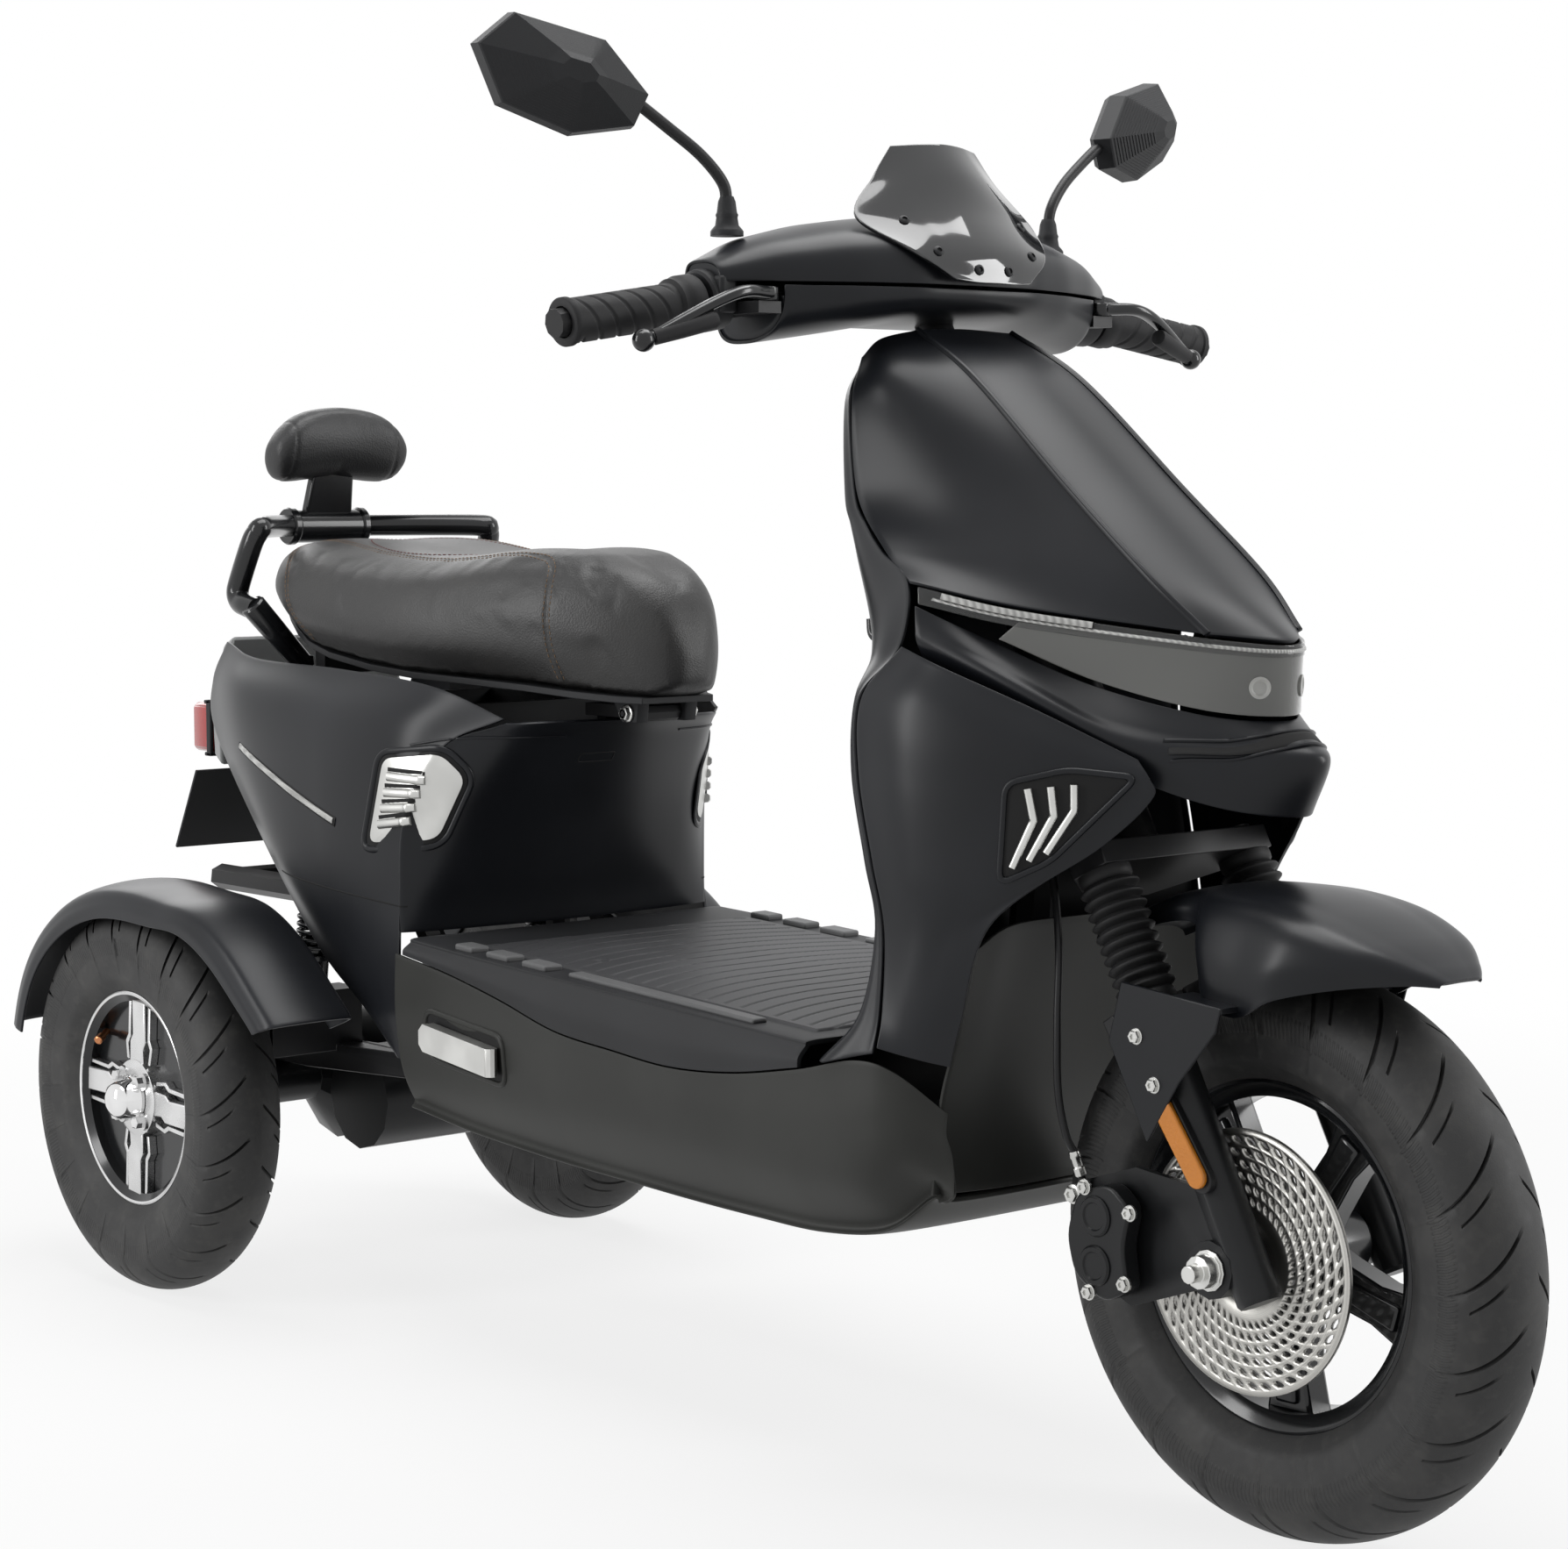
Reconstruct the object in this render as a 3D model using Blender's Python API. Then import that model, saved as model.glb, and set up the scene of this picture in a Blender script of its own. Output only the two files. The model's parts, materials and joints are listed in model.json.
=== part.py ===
"""Three-wheel electric scooter, modelled as separate pieces at real size.

Metres, +Z up. The rider faces -Y and the rider's right hand is on -X.
The ground is z = 0 and the middle of the outer box is over the origin.
Each object is one closed solid. Pieces that touch keep a gap of TOUCH.
"""
import math

import bmesh
import bpy
import numpy as np
from mathutils import Vector
from mathutils.bvhtree import BVHTree

TOUCH = 0.0003
SLIP = 0.0006

# Front wheel, tyre 3.00-10
FRONT_TYRE_RADIUS = 0.208
FRONT_TYRE_WIDTH = 0.088
FRONT_BEAD_RADIUS = 0.127
FRONT_AXLE_Y = -0.638
FRONT_AXLE_RADIUS = 0.008

# Rear wheels, tyre 3.00-8
REAR_TYRE_RADIUS = 0.184
REAR_TYRE_WIDTH = 0.080
REAR_BEAD_RADIUS = 0.1016
REAR_AXLE_Y = 0.573
REAR_TRACK = 0.476
REAR_STUB_RADIUS = 0.014

# Steps of both wheels: sides of the turned forms, spans of the tread
WHEEL_SIDES = 24
TREAD_STEPS = 6

# Steering head and fork
RAKE = math.radians(28.0)
STEER_Y = -0.475
STEER_Z = 0.466
FORK_OFFSET = 0.042
FORK_SPREAD = 0.150
STANCHION_RADIUS = 0.0125
LEG_RADIUS = 0.0168
GAITER_RADIUS = 0.0225
GAITER_WAIST = 0.0185
GAITER_WALL = 0.0015
GAITER_RIBS = 9
STEM_RADIUS = 0.0150
HEAD_TUBE_RADIUS = 0.0270

# Brake
DISC_RADIUS = 0.095
DISC_THICKNESS = 0.004
DISC_BORE = 0.022
DISC_X = -0.0535
HOSE_RADIUS = 0.0028

# Handlebar
BAR_RADIUS = 0.0110
BAR_Y = -0.240
BAR_END = 0.345
GRIP_RADIUS = 0.0165
GRIP_FLANGE = 0.0200
GRIP_LENGTH = 0.125
COWL_HALF = 0.205

# Body
DECK_Z = 0.352
DECK_SLOPE = 0.045
PANEL_WALL = 0.0025
PANEL_SEAM = 0.0015

# Rear axle, swing arm, shock absorbers and rear fenders
AXLE_TUBE_RADIUS = 0.024
AXLE_FLANGE_RADIUS = 0.034
HOUSING_RADIUS = 0.066
MOTOR_RADIUS = 0.050
MOTOR_HALF = 0.075
MOTOR_AHEAD = 0.100
MOTOR_DROP = 0.008
SWING_PIVOT_Y = 0.262
SWING_PIVOT_Z = 0.232
SWING_ARM_X = 0.105
SWING_ARM_DEPTH = 0.026
SHOCK_X = 0.132
SHOCK_Y = 0.460
SHOCK_FOOT_Z = 0.290
SHOCK_LEAN = math.radians(8.0)
SHOCK_TALL = 0.108
SHOCK_HEAD_WALL = 0.006
SPRING_RADIUS = 0.0195
SPRING_WIRE = 0.0022
SPRING_STEPS = 7
SPRING_CURLS = 9
SPRING_SEAT = 0.034
DAMPER_RADIUS = 0.0130
DAMPER_BORE = 0.0105
DAMPER_TALL = 0.048
ROD_FOOT = 0.034
SHOCK_ROD_RADIUS = 0.0045
FENDER_WALL = 0.0025
FENDER_OUTER = 0.048
FENDER_INNER = 0.043
EAR_WALL = 0.006

# Crown, legs and lugs: distances along the steering axis
CROWN_LOW = -0.010
CROWN_HIGH = 0.012
STEM_TOP = 0.484
STANCHION_FOOT = -0.212
LEG_TOP = -0.1140
LEG_FOOT = -0.338
LEG_BORE_FLOOR = -0.284
HEAD_TUBE_LOW = 0.0125
HEAD_TUBE_HIGH = 0.300
FORK_X = FORK_SPREAD / 2
LUG_HALF = 0.0172

# Brake caliper and front fender
CALIPER_CENTRE = (-0.062, -0.545, 0.214)
FENDER_PLATE_X = 0.0990
FENDER_BOLTS = (-0.135, -0.172)

# Bar, levers, cowl and mirrors
GRIP_INNER = 0.214
GRIP_GAP = 0.0008
BAR_BEND_X = 0.150
BAR_SWEEP = 0.024
BAR_RETURN = 0.004
BAR_CENTRE_Z = 0.904
BAR_OUTER_Z = 0.874
COWL_GAP = 0.0026
COWL_SKEW = 0.22
COWL_SPLIT_Z = 0.908
STAY_X = 0.080
STAY_RADIUS = 0.005
SCREEN_BOSS = (0.028, -0.285, 0.922)
SCREEN_BOSS_RADIUS = 0.004
CLAMP_TALL = 0.030
PIVOT_X = 0.178
PIVOT_Y = -0.262
LEVER_TIP = (0.292, -0.258, 0.862)
BOOT = (0.172, -0.208, 0.946)
BOOT_SEAT_RADIUS = 0.0135
BOOT_SEAT_TALL = 0.016
MIRROR_HEAD = (0.300, -0.182, 1.059)
MIRROR_YAW = math.radians(20.5)
MIRROR_SHARE = 0.90

# Headlight
LAMP_WALL = 0.0055
LAMP_GAP = 0.0032
LAMP_END = (-0.1455, -0.3945, 0.6848)
LENS_BITE = 0.0040
LENS_SET = 0.0009
COLUMN_MIDDLE = (0.0, -0.36, 0.70)

# Leg shield and footwell
EDGE_INSET = 0.0031
MAT_FRONT = -0.307
MAT_REAR = 0.2300
MAT_WALL = 0.004
SKIRT_WIDEST = 0.190
TUB_SWELL = 0.001

# Seat
PAN_TALL = 0.0060
PAN_GAP = 0.0005

# Frame
RAIL_X = 0.085
RAIL_HALF = 0.012
RAIL_LOW = 0.245
RAIL_HIGH = 0.275
REAR_RAIL_X = 0.094
REAR_RAIL_Z = 0.372
REAR_RAIL_RADIUS = 0.0125
HOOP_Y = 0.500
RAIL_FOOT_Y = 0.535
HINGE_Y = 0.100
HINGE_Z = 0.5600
HINGE_PIN_RADIUS = 0.0045
HINGE_BARREL_RADIUS = 0.0080
HINGE_HALF = 0.020
BRACKET_TOP = 0.4100
SHELF_WALL = 0.0080
CROSS_PLACES = (-0.240, 0.170)
STAY_HALF = 0.006
BEAK_STAY = (-0.440, 0.573)
SHIELD_STAY = (-0.345, 0.661)
WING_STAY = (-0.400, 0.411)

# Storage bin and battery
BIN_HALF = 0.088
BIN_FRONT = 0.288
BIN_REAR = 0.478
BIN_TOP = 0.562
BIN_WALL = 0.003
BATTERY_TOP = 0.500

# Tail
TAIL_FRONT = 0.6625
TAIL_REAR = 0.756
REAR_RAIL_END = TAIL_REAR - 0.066

# Grab rail and backrest
RAIL_FOOT_Z = 0.5880
RAIL_TUBE_RADIUS = 0.0105
CLAMP_RADIUS = 0.0165
CLAMP_HALF = 0.038
POST_DEPTH = (0, 0.010, 0.004)
PAD_CENTRE = (0.0, 0.6205, 0.8000)
PAD_HALF = 0.077
PAD_DEPTH = 0.0270
PAD_TOP = 0.0380
PAD_LOW = 0.0340
PAD_LEAN = 0.25
PAD_GAP = 0.0005

# Passenger pegs
PEG_FRONT = 0.080
PEG_LENGTH = 0.099
PEG_WALL = 0.012
PEG_GAP = 0.0004
PEG_LOW = 0.262
PEG_HIGH = 0.286

# Shift along Y that brings the middle of the outer box over the origin
TO_MIDDLE = 0.0240

COLOURS = {
    "satin_black": ((0.016, 0.017, 0.020), 0.42, 0.0),
    "lower_black": ((0.030, 0.031, 0.030), 0.55, 0.0),
    "texture_black": ((0.020, 0.020, 0.021), 0.70, 0.0),
    "rubber": ((0.018, 0.018, 0.018), 0.80, 0.0),
    "seat_black": ((0.020, 0.019, 0.019), 0.60, 0.0),
    "steel_black": ((0.022, 0.022, 0.023), 0.45, 0.2),
    "brushed_steel": ((0.60, 0.60, 0.60), 0.35, 1.0),
    "cast_silver": ((0.62, 0.62, 0.63), 0.32, 0.9),
    "smoked_lens": ((0.06, 0.065, 0.06), 0.08, 0.0),
    "red_lens": ((0.55, 0.02, 0.01), 0.15, 0.0),
    "grey_trim": ((0.30, 0.31, 0.32), 0.40, 0.1),
    "battery_grey": ((0.10, 0.11, 0.12), 0.60, 0.0),
}


def material(key):
    """The Principled material of one finish, made once."""
    found = bpy.data.materials.get(key)
    if found:
        return found
    colour, roughness, metallic = COLOURS[key]
    made = bpy.data.materials.new(key)
    made.use_nodes = True
    shader = made.node_tree.nodes["Principled BSDF"]
    shader.inputs["Base Color"].default_value = (*colour, 1.0)
    shader.inputs["Roughness"].default_value = roughness
    shader.inputs["Metallic"].default_value = metallic
    made.diffuse_color = (*colour, 1.0)
    return made


def put(name, points, faces, finish, origin=(0, 0, 0), keep=True):
    """An object from points in world metres, with its own origin."""
    home = np.asarray(origin, float)
    mesh = bpy.data.meshes.new(name)
    mesh.from_pydata([tuple(np.asarray(p, float) - home) for p in points], [], faces)
    shape = bmesh.new()
    shape.from_mesh(mesh)
    bmesh.ops.remove_doubles(shape, verts=shape.verts, dist=1e-6)
    bmesh.ops.recalc_face_normals(shape, faces=shape.faces)
    shape.to_mesh(mesh)
    shape.free()
    made = bpy.data.objects.new(name, mesh)
    made.location = origin
    bpy.context.collection.objects.link(made)
    mesh.materials.append(material(finish))
    mesh.shade_smooth()
    mesh.set_sharp_from_angle(angle=math.radians(35))
    if not keep:
        made.hide_render = True
        made.display_type = "WIRE"
    return made


def flip(points, side):
    """The points as they are for a side of 1, or their mirror image for -1."""
    return [(p[0] * side, p[1], p[2]) for p in points]


def spline(points, count):
    """A smooth curve through the points, count samples, ends included."""
    points = np.asarray(points, float)
    padded = np.vstack([2 * points[0] - points[1], points, 2 * points[-1] - points[-2]])
    spans = len(points) - 1
    at = np.linspace(0, spans, count)
    index = np.minimum(at.astype(int), spans - 1)
    part = (at - index)[:, None]
    a, b, c, d = (padded[index + k] for k in range(4))
    return 0.5 * (2 * b + (c - a) * part + (2 * a - 5 * b + 4 * c - d) * part ** 2
                  + (3 * b - a - 3 * c + d) * part ** 3)


def net(rows, across, along):
    """A smooth grid through rows of control points."""
    rows = [spline(row, across) for row in rows]
    columns = [spline([row[k] for row in rows], along) for k in range(across)]
    return np.array(columns).transpose(1, 0, 2)


def full_width(half):
    """A row across the whole body, from a half row that ends in the middle."""
    return list(half) + [(-p[0], p[1], p[2]) for p in reversed(half[:-1])]


def grid_faces(rows, columns, ring=False):
    """Quads of a grid, closed round each row when ring is set."""
    faces = []
    last = columns if ring else columns - 1
    for j in range(rows - 1):
        for i in range(last):
            k = (i + 1) % columns
            faces.append((j * columns + i, j * columns + k,
                          (j + 1) * columns + k, (j + 1) * columns + i))
    return faces


def skin(name, grid, wall, inside, finish, origin=(0, 0, 0), keep=True):
    """A panel of even wall: the grid is its outer face.

    The wall is laid towards the point called inside.
    """
    grid = np.asarray(grid, float)
    rows, columns = grid.shape[:2]
    down = np.gradient(grid, axis=0)
    over = np.gradient(grid, axis=1)
    normal = np.cross(over, down)
    normal /= np.maximum(np.linalg.norm(normal, axis=2, keepdims=True), 1e-9)
    middle = grid[rows // 2, columns // 2]
    if np.dot(normal[rows // 2, columns // 2], np.asarray(inside, float) - middle) < 0:
        normal = -normal
    inner = grid + wall * normal
    count = rows * columns
    faces = grid_faces(rows, columns)
    faces += [tuple(count + v for v in reversed(face)) for face in faces]
    rim = [i for i in range(columns)]
    rim += [j * columns + columns - 1 for j in range(1, rows)]
    rim += [(rows - 1) * columns + i for i in range(columns - 2, -1, -1)]
    rim += [j * columns for j in range(rows - 2, 0, -1)]
    for a, b in zip(rim, rim[1:] + rim[:1]):
        faces.append((a, b, b + count, a + count))
    points = np.vstack([grid.reshape(-1, 3), inner.reshape(-1, 3)])
    return put(name, points, faces, finish, origin, keep)


def loft(name, rings, finish, origin=(0, 0, 0), keep=True):
    """A closed solid through rings of the same number of points."""
    rings = np.asarray(rings, float)
    rows, columns = rings.shape[:2]
    faces = grid_faces(rows, columns, ring=True)
    faces.append(tuple(range(columns)))
    faces.append(tuple(range((rows - 1) * columns, rows * columns)))
    return put(name, rings.reshape(-1, 3), faces, finish, origin, keep)


def frame_of(direction):
    """Two directions square to the given one."""
    direction = Vector(direction).normalized()
    helper = Vector((1, 0, 0)) if abs(direction.x) < 0.9 else Vector((0, 0, 1))
    first = direction.cross(helper).normalized()
    return np.array(first), np.array(direction.cross(first))


def circle(centre, direction, radius, sides):
    """A ring of points round a direction."""
    first, second = frame_of(direction)
    turn = np.linspace(0, 2 * math.pi, sides, endpoint=False)
    wave = np.outer(np.cos(turn), first) + np.outer(np.sin(turn), second)
    return np.asarray(centre, float) + radius * wave


def turned(name, centre, direction, profile, sides, finish, origin=None, keep=True):
    """A solid of revolution from (height, radius) pairs that close on the axis or a bore."""
    axis = np.array(Vector(direction).normalized())
    centre = np.asarray(centre, float)
    home = centre if origin is None else origin
    closed = profile[0][1] > 0
    points = []
    rings = []
    for height, radius in profile:
        start = len(points)
        if radius == 0:
            points.append(centre + axis * height)
            rings.append([start])
        else:
            points.extend(circle(centre + axis * height, axis, radius, sides))
            rings.append(list(range(start, start + sides)))
    faces = []
    pairs = list(zip(rings, rings[1:]))
    if closed:
        pairs.append((rings[-1], rings[0]))
    for low, high in pairs:
        for i in range(sides):
            k = (i + 1) % sides
            quad = [low[i % len(low)], low[k % len(low)], high[k % len(high)], high[i % len(high)]]
            face = list(dict.fromkeys(quad))
            if len(face) > 2:
                faces.append(tuple(face))
    return put(name, points, faces, finish, home, keep)


def rod(name, start, end, radius, sides, finish, origin=None, keep=True):
    """A straight round bar."""
    start = np.asarray(start, float)
    reach = np.asarray(end, float) - start
    length = float(np.linalg.norm(reach))
    profile = [(0, 0), (0, radius), (length, radius), (length, 0)]
    return turned(name, start, reach, profile, sides, finish, origin, keep)


def sleeve(name, start, end, bore, radius, sides, finish, origin=None, keep=True):
    """A straight tube with a bore."""
    start = np.asarray(start, float)
    reach = np.asarray(end, float) - start
    length = float(np.linalg.norm(reach))
    profile = [(0, bore), (0, radius), (length, radius), (length, bore)]
    return turned(name, start, reach, profile, sides, finish, origin, keep)


def sweep(name, path, radius, sides, finish, origin=(0, 0, 0), keep=True):
    """A bent round bar along a path."""
    path = np.asarray(path, float)
    ahead = np.gradient(path, axis=0)
    ahead /= np.linalg.norm(ahead, axis=1, keepdims=True)
    side = frame_of(ahead[0])[0]
    rings = []
    turn = np.linspace(0, 2 * math.pi, sides, endpoint=False)
    for point, way in zip(path, ahead):
        side = side - way * np.dot(side, way)
        side /= np.linalg.norm(side)
        up = np.cross(way, side)
        rings.append(point + radius * (np.outer(np.cos(turn), side) + np.outer(np.sin(turn), up)))
    return loft(name, rings, finish, origin, keep)


def box(name, low, high, finish, bevel=0.0, steps=2, keep=True):
    """A block between two corners, with its edges rounded."""
    x0, y0, z0 = low
    x1, y1, z1 = high
    points = [(x, y, z) for z in (z0, z1) for x, y in ((x0, y0), (x1, y0), (x1, y1), (x0, y1))]
    faces = [(0, 1, 2, 3), (4, 5, 6, 7), (0, 1, 5, 4), (1, 2, 6, 5), (2, 3, 7, 6), (3, 0, 4, 7)]
    made = put(name, points, faces, finish, keep=keep)
    if bevel > 0:
        soften(made, bevel, steps)
    return made


def soften(piece, width, segments):
    """Round the sharp edges of a piece."""
    step = piece.modifiers.new("rounding", "BEVEL")
    step.width = width
    step.segments = segments
    step.limit_method = "ANGLE"
    step.angle_limit = math.radians(40)


def prism(name, outline, offset, finish, origin=(0, 0, 0), keep=True):
    """An outline of 3-D points pushed along an offset."""
    outline = [np.asarray(p, float) for p in outline]
    count = len(outline)
    points = outline + [p + np.asarray(offset, float) for p in outline]
    faces = [tuple(range(count)), tuple(range(count, 2 * count))]
    for i in range(count):
        k = (i + 1) % count
        faces.append((i, k, k + count, i + count))
    return put(name, points, faces, finish, origin, keep)


def combine(piece, others, operation="UNION"):
    """Boolean the hidden shapes with a piece."""
    for other in others:
        other.hide_render = True
        other.display_type = "WIRE"
        step = piece.modifiers.new(operation.lower(), "BOOLEAN")
        step.operation = operation
        step.solver = "EXACT"
        step.object = other
    return piece


def reach_to(piece, starts, way):
    """The least distance from some points, along one direction, to a piece."""
    home = piece.location
    tree = BVHTree.FromPolygons([point.co + home for point in piece.data.vertices],
                                [tuple(face.vertices) for face in piece.data.polygons])
    found = [tree.ray_cast(Vector(start), Vector(way))[3] for start in starts]
    return min(distance for distance in found if distance is not None)


def stay_end(piece, start, way, half, other):
    """How far a stay of some half thickness runs before it meets a piece."""
    start = np.asarray(start, float)
    other = np.asarray(other, float) * half
    side = np.cross(np.asarray(way, float), other)
    starts = [start, start + other, start - other, start + side, start - side]
    return reach_to(piece, starts, way) - TOUCH


def start_clean():
    """Remove whatever the scene holds."""
    for old in list(bpy.data.objects):
        bpy.data.objects.remove(old, do_unlink=True)


STEER_UP = np.array((0.0, math.sin(RAKE), math.cos(RAKE)))
STEER_AHEAD = np.array((0.0, -math.cos(RAKE), math.sin(RAKE)))


def on_steer(distance, x=0.0, ahead=0.0):
    """A point at a distance up the steering axis, to the side and ahead of it."""
    base = np.array((x, STEER_Y, STEER_Z))
    return base + distance * STEER_UP + ahead * STEER_AHEAD


def deck_height(y):
    """Height of the footwell floor, which falls a little towards the front."""
    return DECK_Z + DECK_SLOPE * y


def wheel_tyre(name, centre, outer, bead, width, sides):
    """A tyre with a round tread and its bore at the bead."""
    half = width / 2
    tread = []
    for step in range(TREAD_STEPS + 1):
        angle = math.pi * step / TREAD_STEPS
        tread.append((-half * math.cos(angle), outer - half * 0.86 * (1 - math.sin(angle))))
    profile = [(-half * 0.62, bead)]
    profile += [(-half * 0.80, bead + 0.010)]
    profile += tread
    profile += [(half * 0.80, bead + 0.010), (half * 0.62, bead)]
    return turned(name, centre, (1, 0, 0), profile, sides, "rubber")


def wheel_rim(name, centre, spec, sides, finish):
    """A cast rim: well, web with windows, hub and a bore for the axle."""
    bead, width, hub, bore, web, hub_low, hub_high = spec
    half = width * 0.31
    seat = bead - TOUCH
    well = seat - 0.010
    profile = [
        (hub_low, bore), (hub_low, hub), (web[0], hub), (web[0], well),
        (-half, seat - 0.003), (-half, seat), (half, seat), (half, seat - 0.003),
        (web[1], well), (web[1], hub), (hub_high, hub), (hub_high, bore),
    ]
    rim = turned(name, centre, (1, 0, 0), profile, sides, finish)
    windows = []
    spokes = 5
    for k in range(spokes):
        middle = 2 * math.pi * (k + 0.5) / spokes
        reach = math.pi / spokes
        outline = []
        for turn in np.linspace(-0.72, 0.72, 2):
            angle = middle + reach * turn
            outline.append((angle, well - 0.006))
        for turn in (0.35, -0.35):
            outline.append((middle + reach * turn, hub + 0.010))
        points = [np.asarray(centre) + (-0.08, r * math.sin(a), r * math.cos(a)) for a, r in outline]
        windows.append(prism("%s_window_%d" % (name, k), points, (0.16, 0, 0), finish, keep=False))
    return combine(rim, windows, "DIFFERENCE")


def front_wheel():
    """Tyre, cast rim and brake disc of the front wheel."""
    centre = (0.0, FRONT_AXLE_Y, FRONT_TYRE_RADIUS)
    wheel_tyre("front_tyre", centre, FRONT_TYRE_RADIUS, FRONT_BEAD_RADIUS, FRONT_TYRE_WIDTH,
               WHEEL_SIDES)
    hub = 0.026
    face = DISC_X + DISC_THICKNESS / 2 + TOUCH
    spec = (FRONT_BEAD_RADIUS, FRONT_TYRE_WIDTH, hub, FRONT_AXLE_RADIUS + SLIP,
            (-0.014, 0.014), face, -face)
    wheel_rim("front_rim", centre, spec, WHEEL_SIDES, "satin_black")
    low = DISC_X - DISC_THICKNESS / 2
    sleeve("brake_disc", (low, centre[1], centre[2]), (low + DISC_THICKNESS, centre[1], centre[2]),
           DISC_BORE, DISC_RADIUS, WHEEL_SIDES, "brushed_steel", centre)


def rear_wheels():
    """Tyre and machined rim at each end of the rear axle."""
    for side, word in ((-1, "right"), (1, "left")):
        centre = (side * REAR_TRACK / 2, REAR_AXLE_Y, REAR_TYRE_RADIUS)
        wheel_tyre("rear_tyre_" + word, centre, REAR_TYRE_RADIUS, REAR_BEAD_RADIUS,
                   REAR_TYRE_WIDTH, WHEEL_SIDES)
        web = (-0.006, 0.020) if side > 0 else (-0.020, 0.006)
        hub_ends = (-0.028, 0.030) if side > 0 else (-0.030, 0.028)
        spec = (REAR_BEAD_RADIUS, REAR_TYRE_WIDTH, 0.032, REAR_STUB_RADIUS + SLIP, web, *hub_ends)
        wheel_rim("rear_rim_" + word, centre, spec, WHEEL_SIDES, "cast_silver")


def rear_axle():
    """The axle tube with its bulged gear case, the motor and the wheel stubs."""
    y = REAR_AXLE_Y
    z = REAR_TYRE_RADIUS
    stub_end = REAR_TRACK / 2 + 0.034
    face = REAR_TRACK / 2 - 0.028 - TOUCH
    half = [(-stub_end, 0), (-stub_end, REAR_STUB_RADIUS), (-face, REAR_STUB_RADIUS),
            (-face, AXLE_FLANGE_RADIUS), (-face + 0.012, AXLE_FLANGE_RADIUS),
            (-face + 0.014, AXLE_TUBE_RADIUS), (-0.068, AXLE_TUBE_RADIUS),
            (-0.036, HOUSING_RADIUS)]
    profile = half + [(-h, r) for h, r in reversed(half)]
    case = turned("rear_axle_housing", (0, y, z), (1, 0, 0), profile, 12, "steel_black")
    motor = rod("motor_barrel", (-MOTOR_HALF, y - MOTOR_AHEAD, z - MOTOR_DROP),
                (MOTOR_HALF, y - MOTOR_AHEAD, z - MOTOR_DROP), MOTOR_RADIUS, 12, "steel_black",
                keep=False)
    return combine(case, [motor])


def swing_arm():
    """Two trailing arms from the pivot tube to saddles over the axle tube."""
    y = REAR_AXLE_Y
    z = REAR_TYRE_RADIUS
    low = z + AXLE_TUBE_RADIUS + TOUCH
    pivot = (0, SWING_PIVOT_Y, SWING_PIVOT_Z)
    tube = sleeve("rear_swing_arm", (-SWING_ARM_X - 0.020, pivot[1], pivot[2]),
                  (SWING_ARM_X + 0.020, pivot[1], pivot[2]), 0.0085, 0.0170, 16,
                  "steel_black", pivot)
    parts = []
    for x in (-SWING_ARM_X, SWING_ARM_X):
        outline = [(x - 0.015, SWING_PIVOT_Y + 0.013, SWING_PIVOT_Z - 0.010),
                   (x - 0.015, SWING_PIVOT_Y + 0.013, SWING_PIVOT_Z + 0.012),
                   (x - 0.015, y - 0.090, low + SWING_ARM_DEPTH),
                   (x - 0.015, y + 0.032, low + SWING_ARM_DEPTH),
                   (x - 0.015, y + 0.032, low), (x - 0.015, y - 0.080, low)]
        parts.append(prism("arm_beam", outline, (0.030, 0, 0), "steel_black", keep=False))
    top = low + SWING_ARM_DEPTH
    reach = REAR_TRACK / 2 - FENDER_INNER + 0.001 - EAR_WALL - TOUCH
    saddle = SHOCK_FOOT_Z - DAMPER_RADIUS * math.sin(SHOCK_LEAN) - TOUCH
    for side in (-1, 1):
        ends = sorted((side * (SWING_ARM_X - 0.014), side * reach))
        parts.append(box("arm_outrigger", (ends[0], SHOCK_Y - 0.020, top - 0.004),
                         (ends[1], SHOCK_Y + 0.020, saddle), "steel_black", keep=False))
    return combine(tube, parts)


def on_shock(x, distance):
    """A point at a distance up the leaning line of one shock absorber."""
    lean = distance * np.array((0.0, -math.sin(SHOCK_LEAN), math.cos(SHOCK_LEAN)))
    return np.array((x, SHOCK_Y, SHOCK_FOOT_Z)) + lean


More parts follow.
